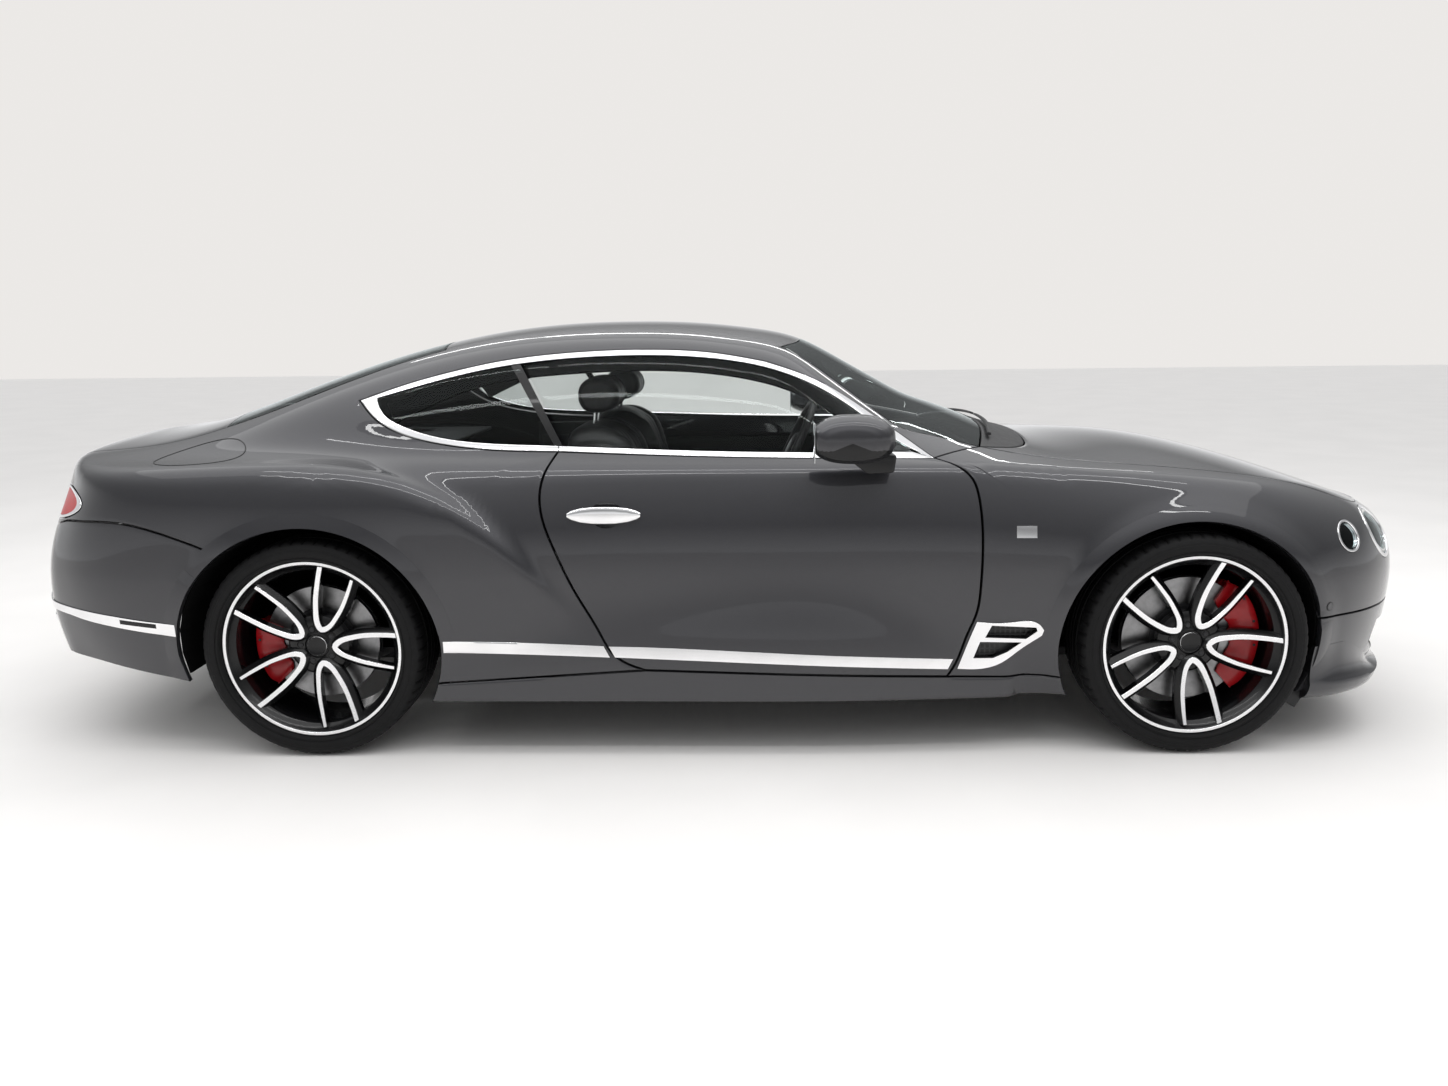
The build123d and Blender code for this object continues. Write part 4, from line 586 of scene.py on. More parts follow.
def lid_sheet(c):
    top = run("top", [(-1.775, 0.0), (-2.200, 0.0)], 4)
    tail = run("rear", [(0.0, 0.930), (0.0, 0.640)], 3)
    middle = chain(top, link(top[-1], tail[0], 2), tail)
    low = run("rear", [LID_TAIL_SIDE[-1], (0.0, 0.640)], 5)
    return both(Sheet().patch(coons(c["lid_side"], middle, c["glass_foot"], low)))


def rear_bumper_sheet(c):
    low_arch = arch(ARCH_REAR, 127, 195.2, 7)
    top = chain(c["seam_rear"], run("rear", [LID_TAIL_SIDE[-1], (0.0, 0.640)], 5))
    side = run("side", [(low_arch[-1][0], low_arch[-1][2]), (-1.940, 0.283), (-2.070, 0.303)], 5)
    back = run("rear", BUMPER_REAR_LOW, 9)
    low = chain(side, link(side[-1], back[0], 1), back)
    middle = run("rear", [(0.0, 0.640), (0.0, 0.310)], 7)
    return both(Sheet().patch(coons(top, low, low_arch, middle)))


def front_bumper_sheet(c):
    low_arch = arch(ARCH_FRONT, 12.4, -26, 4)
    cheek = c["seam_front"][-1]
    sill = run("front", [(-0.440, 0.400), (0.0, 0.400)], 5)
    top = chain(c["seam_front"], link(cheek, sill[0], 1), sill)
    side = run("side", [(low_arch[-1][0], low_arch[-1][2]), (2.060, 0.180)], 3)
    front = run("front", BUMPER_FRONT_LOW, 8)
    low = chain(side, link(side[-1], front[0], 1), front)
    middle = run("front", [(0.0, 0.400), (0.0, 0.185)], 4)
    return both(Sheet().patch(coons(top, low, low_arch, middle)))


def grille_sheet(c):
    side = chain(c["cheek"][::-1], link(c["cheek"][0], on_end(-0.440, 0.400, 1), 1))
    middle = link(c["bonnet_front"][-1], on_end(0.0, 0.400, 1), 5)
    low = run("front", [(-0.440, 0.400), (0.0, 0.400)], 5)
    return both(Sheet().patch(coons(side, middle, c["bonnet_front"], low)))


def sill_sheet():
    front, rear = arch(ARCH_FRONT, 195, 204.8, 1), arch(ARCH_REAR, -15.2, -24.7, 1)
    door = run("side", [DOOR_REAR[0], DOOR_FRONT[0]], 12)
    top = chain(link(rear[0], door[0], 5), door, link(door[-1], front[0], 5))
    low = run("side", [(rear[-1][0], rear[-1][2]), (front[-1][0], front[-1][2])], 22)
    return Sheet().patch(coons(top, low, rear, front))


def split(points, x):
    """Cut a window outline in two at x."""
    xs, zs = zip(*points)
    z = float(np.interp(x, xs, zs))
    return [p for p in points if p[0] < x] + [(x, z)], [(x, z)] + [p for p in points if p[0] > x]


def door_glass_sheet():
    low, top = split(GLASS_LOW, -0.506)[1], split(GLASS_TOP, -0.662)[1]
    first, last = run("side", low, 12), run("side", top, 12)
    return Sheet().patch(coons(first, last, link(first[0], last[0], 3), link(first[-1], last[-1], 3)))


def quarter_glass_sheet():
    low, top = split(GLASS_LOW, -0.506)[0], split(GLASS_TOP, -0.662)[0]
    first, last = run("side", low, 6), run("side", top, 6)
    return Sheet().patch(coons(first, last, link(first[0], last[0], 3), link(first[-1], last[-1], 3)))


def window_trim_sheets(c):
    """Bright surround: over the windows and round the rear tip on the body, along the belt on the door."""
    outer = chain(c["rail_rear"], c["rail_side"], c["rail_front"])
    inner = run("side", GLASS_TOP, 18)
    over = coons(outer, inner, link(outer[0], inner[0], 1), link(outer[-1], inner[-1], 1))
    rear = run("side", split(GLASS_LOW, -0.522)[0][::-1], 7)
    under = coons(c["belt_rear"], rear, link(c["belt_rear"][0], rear[0], 1),
                  link(c["belt_rear"][-1], rear[-1], 1))
    body = Sheet().patch(over).patch(under)
    low = run("side", split(GLASS_LOW, -0.522)[1], 12)
    belt = coons(c["belt_door"], low, link(c["belt_door"][0], low[0], 1),
                 link(c["belt_door"][-1], low[-1], 1))
    return body, Sheet().patch(belt)


def disc_sheet(centre, axis, along, up, inner, outer, rings, sectors):
    """Disc or ring on the skin about a centre, its half-lengths taken across and up the axis."""
    axis = np.array(axis, float) / np.linalg.norm(axis)
    side = np.cross((0.0, 0.0, 1.0), axis)
    side /= np.linalg.norm(side)
    high = np.cross(axis, side)
    share = np.linspace(inner, outer, rings + 1)[:, None, None]
    turn = np.linspace(0, 2 * math.pi, sectors + 1)[None, :, None]
    start = np.array(centre) + axis * 0.15 + share * (side * along * np.cos(turn) + high * up * np.sin(turn))
    return Sheet().patch(cast(start, -axis, 0.45))


def lamp_rings(centre, axis, along, up):
    """Bezel and lens of one lamp, set inside an opening of the given half-lengths."""
    bezel = disc_sheet(centre, axis, along - 0.0018, up - 0.0018, BEZEL_SHARE, 1.0, FINE, 24 * FINE)
    lens = disc_sheet(centre, axis, along * BEZEL_SHARE - 0.0030, up * BEZEL_SHARE - 0.0030, 0.0, 1.0,
                      2 * FINE, 24 * FINE)
    return bezel, lens


def headlamp_axis(centre):
    place = pull(np.array([centre]))
    return place[0], gradient(place)[0] / np.linalg.norm(gradient(place)[0])


def tail_lamp_rings():
    t = TAIL_LAMP
    centre = on_end(t["y"], t["z"], -1)
    return lamp_rings(centre, (-1, 0, 0), t["along"], t["up"])


def strip(plane, top, low, count):
    first, last = run(plane, top, count), run(plane, low, count)
    return Sheet().patch(coons(first, last, link(first[0], last[0], 1), link(first[-1], last[-1], 1)))


def tail_strip_sheet():
    """Bright strip from the rear wheel arch round the corner and across the back."""
    edges = []
    for side, back in ((STRIP_TAIL_TOP, STRIP_BACK_TOP), (STRIP_TAIL_LOW, STRIP_BACK_LOW)):
        first, last = run("side", side, 12), run("rear", back, 11)
        edges.append(chain(first, link(first[-1], last[0], 5), last))
    top, low = edges
    return both(Sheet().patch(coons(top, low, link(top[0], low[0], 1), link(top[-1], low[-1], 1))))


def wiper_sheet(path):
    behind = [(x - 0.014, y) for x, y in path]
    return strip("top", path, behind, 6)


def mirror_rings(points):
    """Sections of the mirror head, flat on the side that carries the glass."""
    rings = []
    for y, x, z, deep, high in MIRROR_RINGS:
        a = np.linspace(0, 2 * math.pi, points, endpoint=False)
        c, s = np.cos(a), np.sin(a)
        px = x + deep * np.sign(c) * np.abs(c) ** 0.85
        pz = z + high * np.sign(s) * np.abs(s) ** 0.80 * np.where(s < 0, 0.92, 1.0)
        rings.append(np.stack([np.maximum(px, MIRROR_BACK), np.full(points, y), pz], -1))
    return rings


def handle_rings(points):
    """Sections of the door handle bar from its rear end to its front end."""
    rings = []
    x0, x1 = HANDLE["x"]
    a = np.linspace(0, 2 * math.pi, points, endpoint=False)
    for t in (-0.97, -0.86, -0.62, -0.30, 0.0, 0.30, 0.62, 0.86, 0.97):
        x = (x0 + x1) / 2 + (x1 - x0) / 2 * t
        high = HANDLE["half"] * (1 - abs(t) ** 2.6) ** 0.55
        out = 0.015 - 0.007 * t * t
        base = on_side(x, HANDLE["z"])[1]
        y = base - out - 0.0065 * np.cos(a)
        rings.append(np.stack([np.full(points, x), y, HANDLE["z"] + high * np.sin(a)], -1))
    return rings
# ---------------------------------------------------------------- materials
def node_material(name):
    m = bpy.data.materials.new(name)
    m.use_nodes = True
    tree = m.node_tree
    return m, tree, tree.nodes["Principled BSDF"], tree.nodes["Material Output"]


def set_values(node, **values):
    """Set inputs by name; an underscore stands for a space."""
    for key, value in values.items():
        node.inputs[key.replace("_", " ")].default_value = value
    return node


def new_node(tree, kind, **values):
    return set_values(tree.nodes.new("ShaderNode" + kind), **values)


def texture(tree, kind, **values):
    """Texture in the object's own coordinates, metres."""
    node = new_node(tree, kind, **values)
    tree.links.new(new_node(tree, "TexCoord").outputs["Object"], node.inputs["Vector"])
    return node


def noise(tree, scale, detail=2.0):
    return texture(tree, "TexNoise", Scale=scale, Detail=detail)


def ramp(tree, source, *stops):
    """Colour between two stops, each a position and a colour."""
    node = new_node(tree, "ValToRGB")
    for element, (at, color) in zip(node.color_ramp.elements, stops):
        element.position = at
        element.color = color + (1,)
    tree.links.new(source, node.inputs["Fac"])
    return node.outputs["Color"]


def spread(tree, source, low, high):
    node = new_node(tree, "MapRange", To_Min=low, To_Max=high)
    tree.links.new(source, node.inputs["Value"])
    return node.outputs["Result"]


def bump(tree, shader, source, strength, distance):
    node = new_node(tree, "Bump", Strength=strength, Distance=distance)
    tree.links.new(source, node.inputs["Height"])
    tree.links.new(node.outputs["Normal"], shader.inputs["Normal"])


def surface(name, color, rough, metal=0.0, vary=0.15, scale=60.0, bump_by=0.0, bump_scale=400.0, coat=0.0,
            **more):
    """Procedural surface: colour and roughness drift a little, with a fine bump where asked."""
    m, tree, bsdf, _ = node_material(name)
    patch = noise(tree, scale, 4)
    dark = tuple(c * (1 - vary) for c in color)
    light = tuple(min(1, c * (1 + vary)) for c in color)
    tree.links.new(ramp(tree, patch.outputs["Fac"], (0.35, dark), (0.65, light)), bsdf.inputs["Base Color"])
    tree.links.new(spread(tree, patch.outputs["Fac"], rough * 0.8, rough * 1.2), bsdf.inputs["Roughness"])
    set_values(bsdf, Metallic=metal, Coat_Weight=coat, Coat_Roughness=0.03, **more)
    if bump_by:
        grain = noise(tree, bump_scale, 3)
        bump(tree, bsdf, grain.outputs["Fac"], bump_by, 0.001)
    return m


def paint_material():
    """Metallic paint: fine flakes under a clear coat."""
    m, tree, bsdf, _ = node_material("metallic_grey_paint")
    flake = texture(tree, "TexVoronoi", Scale=2600.0)
    tree.links.new(ramp(tree, flake.outputs["Color"], (0.0, (0.024, 0.024, 0.027)),
                        (1.0, (0.056, 0.056, 0.063))),
                   bsdf.inputs["Base Color"])
    tree.links.new(spread(tree, flake.outputs["Distance"], 0.36, 0.48), bsdf.inputs["Roughness"])
    set_values(bsdf, Metallic=0.80, Coat_Weight=1.0, Coat_Roughness=0.02, Coat_IOR=1.5)
    return m


def glass_material(name, tint, gloss=1.22):
    """Tinted glass; without gloss it is the side of a pane that only lets light through."""
    m, tree, bsdf, out = node_material(name)
    tree.nodes.remove(bsdf)
    clear = new_node(tree, "BsdfTransparent")
    streak = noise(tree, 3.0, 2)
    tree.links.new(ramp(tree, streak.outputs["Fac"], (0.3, tuple(c * 0.97 for c in tint)), (0.7, tint)),
                   clear.inputs["Color"])
    if not gloss:
        tree.links.new(clear.outputs["BSDF"], out.inputs["Surface"])
        return m
    shine = new_node(tree, "BsdfGlossy", Roughness=0.0, Color=(0.9, 0.95, 0.95, 1))
    mix = new_node(tree, "MixShader")
    tree.links.new(new_node(tree, "Fresnel", IOR=gloss).outputs["Fac"], mix.inputs["Fac"])
    tree.links.new(clear.outputs["BSDF"], mix.inputs[1])
    tree.links.new(shine.outputs["BSDF"], mix.inputs[2])
    tree.links.new(mix.outputs["Shader"], out.inputs["Surface"])
    return m


def leather_material(name, color):
    """Leather: pebbled grain, its tone and roughness drifting in soft patches."""
    m, tree, bsdf, _ = node_material(name)
    pebble = texture(tree, "TexVoronoi", Scale=420.0)
    patch = noise(tree, 22.0, 4)
    dark, light = (tuple(c * share for c in color) for share in (0.8, 1.25))
    tree.links.new(ramp(tree, patch.outputs["Fac"], (0.35, dark), (0.65, light)), bsdf.inputs["Base Color"])
    tree.links.new(spread(tree, patch.outputs["Fac"], 0.38, 0.52), bsdf.inputs["Roughness"])
    bump(tree, bsdf, pebble.outputs["Distance"], 0.5, 0.0008)
    return m


def mesh_material(name, scale):
    """Black lattice: paler bars along the edges of regular cells, with painted shade, near black, in the
    holes between them.
    """
    m, tree, bsdf, _ = node_material(name)
    cells = texture(tree, "TexVoronoi", Scale=scale, Randomness=0.0)
    cells.feature = "DISTANCE_TO_EDGE"
    # Painted shade: the holes are near black for the dark space behind the mesh, and the bars are a paler
    # black.
    tree.links.new(ramp(tree, cells.outputs["Distance"], (0.10, (0.030, 0.030, 0.031)),
                        (0.22, (0.002, 0.002, 0.002))),
                   bsdf.inputs["Base Color"])
    set_values(bsdf, Roughness=0.35)
    bump(tree, bsdf, cells.outputs["Distance"], 0.8, 0.004)
    return m


PAINT = paint_material()
CHROME = surface("bright_chrome", (0.88, 0.88, 0.89), 0.09, 1.0, 0.03, 12.0)
WINDOW_TINT, PRIVACY_TINT = (0.955, 0.970, 0.965), (0.86, 0.88, 0.875)
TINT = glass_material("window_glass", WINDOW_TINT)
TINT_BACK = glass_material("window_glass_inside", WINDOW_TINT, 0)
DARK_TINT = glass_material("privacy_glass", PRIVACY_TINT)
DARK_TINT_BACK = glass_material("privacy_glass_inside", PRIVACY_TINT, 0)
RUBBER = surface("tyre_rubber", (0.0062, 0.0062, 0.0066), 0.66, 0.0, 0.25, 30.0, 0.25, 900.0,
                Specular_IOR_Level=0.22)
BLACK_GLOSS = surface("wheel_black", (0.0035, 0.0035, 0.004), 0.24, 0.0, 0.1, 20.0, coat=0.25,
                      Specular_IOR_Level=0.25)
MACHINED = surface("machined_alloy", (0.90, 0.90, 0.91), 0.26, 1.0, 0.03, 90.0, 0.05, 1500.0)
DISC = surface("brake_steel", (0.27, 0.27, 0.275), 0.32, 1.0, 0.12, 50.0, 0.15, 700.0)
DARK_STEEL = surface("hat_black", (0.03, 0.03, 0.032), 0.45, 0.5, 0.15, 50.0, 0.15, 700.0)
RED = surface("caliper_red", (0.36, 0.004, 0.008), 0.30, 0.0, 0.08, 40.0, 0.05, 300.0, coat=0.35,
              Specular_IOR_Level=0.3)
LEATHER = leather_material("black_leather", (0.020, 0.019, 0.020))
TRIM = surface("cabin_trim", (0.014, 0.014, 0.015), 0.55, 0.0, 0.2, 30.0, 0.4, 500.0)
HEADLINER = surface("headliner_cloth", (0.030, 0.030, 0.032), 0.9, 0.0, 0.2, 500.0, 0.4, 1800.0)
PLASTIC = surface("black_plastic", (0.008, 0.008, 0.009), 0.50, 0.0, 0.2, 40.0, 0.3, 600.0)
# Near-black felt, the liners' own colour; on the rail trim it also carries painted shade under the roof rail.
LINER = surface("felt_black_and_painted_shade", (0.0030, 0.0030, 0.0032), 0.95, 0.0, 0.3, 300.0, 0.5, 900.0,
                Specular_IOR_Level=0.1)
ALLOY = surface("cast_alloy", (0.30, 0.30, 0.31), 0.45, 0.8, 0.2, 30.0, 0.4, 200.0)
UNDERSIDE = surface("underbody_black", (0.015, 0.015, 0.016), 0.7, 0.0, 0.3, 25.0, 0.5, 150.0)
LAMP_RED = surface("lamp_red", (0.46, 0.001, 0.003), 0.30, 0.0, 0.12, 160.0, 0.3, 340.0, coat=0.12,
                   Specular_IOR_Level=0.3)
LAMP_CLEAR = glass_material("lamp_lens", (0.93, 0.94, 0.95))
REFLECTOR = surface("lamp_reflector", (0.80, 0.81, 0.83), 0.30, 0.30, 0.22, 120.0, 0.8, 150.0)
MIRROR = surface("mirror_silver", (0.85, 0.87, 0.88), 0.02, 1.0, 0.02, 4.0)
WOOD = surface("veneer_dark", (0.045, 0.030, 0.022), 0.18, 0.0, 0.4, 14.0, coat=1.0)
# Lattice for the grille, intakes and speakers, with painted shade in its holes
MESH = mesh_material("grille_mesh", 62.0)
BLANK = surface("plate_blank", (0.72, 0.72, 0.70), 0.4, 0.0, 0.03, 20.0, 0.05, 300.0)
BY_SLOT = dict(body_paint=PAINT, bright_trim=CHROME, glass_tint=TINT, tyre=RUBBER, wheel_black=BLACK_GLOSS,
               disc_steel=DISC, caliper_red=RED, seat_leather=LEATHER, cabin_black=TRIM,
               black_plastic=PLASTIC, engine_alloy=ALLOY, lamp_clear=LAMP_CLEAR, lamp_red=LAMP_RED)
SLOTS = {part["node"]: part["material_slot"] for part in frame["record"]["subparts"]}
BODY_OF = {node: body for body, nodes in frame["record"]["behaviour"]["bodies"].items() for node in nodes}
for node, obj in frame["nodes"].items():
    obj.data.materials.clear()
    obj.data.materials.append(BY_SLOT[SLOTS[node]])
for node, other in dict(wheelhouses_front=LINER, wheelhouses_rear=LINER, floor_pan=UNDERSIDE,
                        bulkhead=UNDERSIDE).items():
    frame["nodes"][node].data.materials[0] = other


# ---------------------------------------------------------------- mesh helpers
def mesh_object(name, points, faces, materials, indices=None, smooth=True, angle=35.0):
    mesh = bpy.data.meshes.new(name)
    mesh.from_pydata([tuple(p) for p in points], [], [tuple(int(i) for i in f) for f in faces])
    for m in materials:
        mesh.materials.append(m)
    if indices is not None:
        mesh.polygons.foreach_set("material_index", np.asarray(indices, np.int32))
    if smooth:
        mesh.polygons.foreach_set("use_smooth", np.ones(len(mesh.polygons), bool))
        mesh.set_sharp_from_angle(angle=math.radians(angle))
    obj = bpy.data.objects.new(name, mesh)
    bpy.context.scene.collection.objects.link(obj)
    return obj


def outwards(obj):
    """Make all face normals agree and point outwards."""
    work = bmesh.new()
    work.from_mesh(obj.data)
    bmesh.ops.recalc_face_normals(work, faces=work.faces)
    work.to_mesh(obj.data)
    work.free()
    return obj


def for_side(sign, sheet):
    """The sheet itself on the right of the car, its mirror image on the left."""
    return sheet if sign > 0 else sheet.mirrored()


def moved_to(sign, obj):
    """The same for an object that was built on the right."""
    if sign < 0:
        obj.data.transform(Matrix.Diagonal((1, -1, 1, 1)))
        obj.data.flip_normals()
    return obj


def baked(obj):
    """Keep what the modifiers make and drop them."""
    bpy.context.view_layer.update()
    graph = bpy.context.evaluated_depsgraph_get()
    made = bpy.data.meshes.new_from_object(obj.evaluated_get(graph))
    obj.modifiers.clear()
    obj.data = made
    return obj


def stands_for(obj, *nodes, body=None):
    """The piece is shown in place of these CAD nodes and moves with their body."""
    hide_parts(*nodes)
    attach(obj, body or BODY_OF[nodes[0]])
    return obj


def cut(obj, *cutters):
    """Take the cutters out of a closed mesh, then drop them."""
    for tool in cutters:
        step = obj.modifiers.new("cut", "BOOLEAN")
        step.operation = "DIFFERENCE"
        step.solver = "EXACT"
        step.object = tool
    baked(obj).data.set_sharp_from_angle(angle=math.radians(40))
    for tool in cutters:
        bpy.data.objects.remove(tool)
    return obj


def closed_rings(name, rings, materials, looped=False, pick=None, angle=35.0):
    """Mesh through rings of points; open rows are capped, looped rows join up.

    pick gives a face's material.
    """
    n = len(rings[0])
    count = len(rings)
    points = [p for ring in rings for p in ring]
    faces, index = [], []
    for k in range(count if looped else count - 1):
        nxt = (k + 1) % count
        for i in range(n):
            j = (i + 1) % n
            faces.append((k * n + i, k * n + j, nxt * n + j, nxt * n + i))
            index.append(pick(k, i) if pick else 0)
    if not looped:
        for k in (0, count - 1):
            points.append(np.mean(rings[k], axis=0))
            for i in range(n):
                faces.append((k * n + i, k * n + (i + 1) % n, len(points) - 1))
                index.append(pick(k, i) if pick else 0)
    return outwards(mesh_object(name, points, faces, materials, index, angle=angle))


def turned(name, profile, centre, materials, pick=None, count=96, shape=None, angle=35.0):
    """Lathe about the car's Y axis; profile points are (y, r) in metres, shape may move each point."""
    rings = []
    for k in range(count):
        a = 2 * math.pi * k / count
        ring = []
        for y, r in profile:
            if shape:
                y, r = shape(y, r, k)
            ring.append((centre[0] + r * math.cos(a), centre[1] + y, centre[2] + r * math.sin(a)))
        rings.append(ring)
    return closed_rings(name, rings, materials, True, pick, angle)


def spun(name, profile, centre, axis, materials, pick=None, count=48, angle=35.0):
    """Lathe about any axis; profile points are (radius, height along the axis) in metres."""
    axis = Vector(axis).normalized()
    side = axis.orthogonal().normalized()
    high = axis.cross(side)
    centre = Vector(centre)
    rings = []
    for k in range(count):
        a = 2 * math.pi * k / count
        way = side * math.cos(a) + high * math.sin(a)
        rings.append([tuple(centre + way * r + axis * h) for r, h in profile])
    return closed_rings(name, rings, materials, True, pick, angle)


def pushed(name, loop, way, start, end, materials=None):
    """Prism: a closed loop of 3-D points moved along a direction from start to end."""
    way = np.array(way, float)
    loop = np.array(loop, float)
    return closed_rings(name, [loop + way * start, loop + way * end], materials or [PLASTIC])


def side_loop(points, y):
    return [(x, y, z) for x, z in points]


def end_loop(points, x):
    return [(x, y, z) for y, z in points]


def rounded_block(name, lo, hi, radius, materials, segments=4):
    """Box with softly rounded edges."""
    (x0, y0, z0), (x1, y1, z1) = lo, hi
    points = [(x, y, z) for x in (x0, x1) for y in (y0, y1) for z in (z0, z1)]
    faces = [(0, 1, 3, 2), (4, 6, 7, 5), (0, 4, 5, 1), (2, 3, 7, 6), (0, 2, 6, 4), (1, 5, 7, 3)]
    obj = mesh_object(name, points, faces, materials)
    return soften(obj, radius, segments)


def soften(obj, radius, segments=3, angle=30.0):
    """Round the edges of a mesh and keep it smooth."""
    outwards(obj)
    step = obj.modifiers.new("round", "BEVEL")
    step.width = radius
    step.segments = segments
    step.limit_method = "ANGLE"
    step.angle_limit = math.radians(angle)
    made = baked(obj).data
    made.polygons.foreach_set("use_smooth", np.ones(len(made.polygons), bool))
    made.set_sharp_from_angle(angle=math.radians(50))
    return obj


def bar(name, outline, y, width, radius, materials, segments=3):
    """Side-view outline made solid across a width and rounded."""
    return soften(pushed(name, side_loop(outline, y), (0, 1, 0), -width / 2, width / 2, materials), radius,
                  segments)


def tube(name, path, radius, materials, count=12, looped=False):
    """Round rod along a path of points."""
    path = [Vector(p) for p in path]
    rings = []
    n = len(path)
    for i, p in enumerate(path):
        ahead = path[(i + 1) % n] if looped or i < n - 1 else p
        back = path[i - 1] if looped or i else p
        way = (ahead - back).normalized()
        ref = Vector((0, 1, 0)) if abs(way.y) < 0.9 else Vector((0, 0, 1))
        side = way.cross(ref).normalized()
        high = way.cross(side)
        rings.append([tuple(p + (side * math.cos(a) + high * math.sin(a)) * radius)
                      for a in (2 * math.pi * k / count for k in range(count))])
    return closed_rings(name, rings, materials, looped)


def fine_loop(outline, count):
    """Evenly spaced points on a rounded closed outline."""
    pts = np.array(outline, float)
    for _ in range(3):
        nxt = np.roll(pts, -1, axis=0)
        pts = np.stack([pts * 0.75 + nxt * 0.25, pts * 0.25 + nxt * 0.75], 1).reshape(-1, 2)
    ring = np.concatenate([pts, pts[:1]])
    run_length = np.concatenate([[0], np.cumsum(np.hypot(*np.diff(ring, axis=0).T))])
    at = np.linspace(0, run_length[-1], count, endpoint=False)
    return np.stack([np.interp(at, run_length, ring[:, 0]), np.interp(at, run_length, ring[:, 1])], 1)


# ---------------------------------------------------------------- panels
SHUT_LINE = 0.0056
PANEL_DEPTH = 0.016
GLASS_DEPTH = 0.006
# Where cutters across the car start from: about the middle of the side's bulge
SIDE_Y = 0.93
# Pocket behind the door handle, an oval in side view: its y is the x of the car
HANDLE_POCKET = dict(y=-0.354, z=HANDLE["z"], along=0.052, up=0.043)
# Black cover of the pillar between the side windows: x of its edges at the rail and at the belt
PILLAR_TOP, PILLAR_LOW = (-0.696, -0.664), (-0.536, -0.508)
# Strips sunk under the skin on each side: name, view, upper and lower edge, steps, heights of both faces
SUNK_STRIPS = [
    ("vent_back", "side", VENT_BACK_TOP, VENT_BACK_LOW, 3, -0.024, -0.032, [MESH, PLASTIC], "air_intakes"),
    ("side_intake", "front", INTAKE_SIDE_TOP, INTAKE_SIDE_LOW, 4, -0.026, -0.036, [MESH, PLASTIC],
     "air_intakes"),
    # The rail trim is near-black felt, darker than the cabin trim: its own black with painted shade under the
    # roof rail.
    ("rail_trim", "side", RAIL_TRIM_TOP, RAIL_TRIM_LOW, 12, -0.020, -0.030, [LINER, TRIM], "cabin_trims"),
]


def panel_object(name, sheet, depth, gap, materials, body, nodes, draw=None, hem=0.0022, bite=0.0):
    """A skin panel with rolled edges; its inner side takes the second material, if there is one.

    Its rim is drawn in by half the gap, its outer side stands bite above the skin and its inner side
    depth below. hem is how far the rolled edge goes down, draw shrinks the inner side.
    """
    materials = (materials * 2)[:2]
    outer, inner = sheet.shaped(gap, depth, bite)
    if draw:
        middle = np.array([outer[:, 0].mean(), 0, outer[:, 2].mean()])
        scale = np.array([draw, 1.0, draw])
        inner = middle * (1 - scale) + inner * scale
    n = len(outer)
    rim = sheet.rim()
    ids = sorted({i for edge in rim for i in edge})
    slot_of = {i: 2 * n + k for k, i in enumerate(ids)}
    down = inner - outer
    down /= np.linalg.norm(down, axis=1)[:, None]
    edge_points = outer[ids] + down[ids] * hem
    lifted = outer.copy()
    after, before = dict(rim), {b: a for a, b in rim}
    here, ahead, back = outer[ids], outer[[after[i] for i in ids]], outer[[before[i] for i in ids]]
    out = gradient(here)
    out /= np.linalg.norm(out, axis=1)[:, None]
    e1, e2 = here - back, ahead - here
    m = np.cross(out, e1 / np.linalg.norm(e1, axis=1)[:, None]) \
        + np.cross(out, e2 / np.linalg.norm(e2, axis=1)[:, None])
    m /= np.maximum(np.linalg.norm(m, axis=1), 1e-6)[:, None]
    lifted[ids] = outer[ids] + m * hem * 0.7 - out * hem * 0.12
    points = np.concatenate([lifted, inner, edge_points])
    faces = [tuple(f) for f in sheet.faces]
    index = [0] * len(faces)
    faces += [(f[2] + n, f[1] + n, f[0] + n) for f in sheet.faces]
    index += [1] * len(sheet.faces)
    for a, b in rim:
        faces += [(b, a, slot_of[a], slot_of[b]), (slot_of[b], slot_of[a], a + n, b + n)]
        index += [0, 0]
    obj = mesh_object(name, points, faces, materials, index, angle=50.0)
    return stands_for(obj, *nodes, body=body)


def laid_object(name, sheet, top, base, materials, node, gap=0.0, hem=0.0008):
    """Trim over or under the skin between two heights above it."""
    return panel_object(name, sheet, -base, gap, materials, BODY_OF[node], [node], hem=hem, bite=top)


def door_depth(p):
    front = np.interp(p[:, 0], [0.62, 0.78], [1.0, 0.32])
    high = np.interp(p[:, 2], [0.80, 0.95], [1.0, 0.55])
    return 0.115 * front * high


def bore_solid(centre, axis, radius):
    axis = Vector(axis).normalized()
    side = axis.orthogonal().normalized()
    high = axis.cross(side)
    loop = [tuple(Vector(centre) + (side * math.cos(a) + high * math.sin(a)) * radius)
            for a in (2 * math.pi * k / 72 for k in range(72))]
    return pushed("bore", loop, axis, -0.06, 0.06)


def oval_loop(shape, grow, x, count=72):
    return [(x, shape["y"] + (shape["along"] + grow) * math.cos(2 * math.pi * k / count),
             shape["z"] + (shape["up"] + grow) * math.sin(2 * math.pi * k / count)) for k in range(count)]


def along_x(loop, start, end):
    """Cutters along the car through a loop on the right and its mirror image."""
    return [pushed("bore", one, (1, 0, 0), start, end) for one in (loop, [(x, -y, z) for x, y, z in loop])]


def through_side(outline, sign, reach):
    """Cutter across one side of the car through an outline in side view."""
    return pushed("bore", side_loop(outline, -SIDE_Y * sign), (0, 1, 0), -reach, reach)


def skin_panel(name, sheet, materials, depth=PANEL_DEPTH, gap=SHUT_LINE, draw=None):
    return panel_object("skin_" + name, sheet, depth, gap, materials, BODY_OF[name], [name], draw)


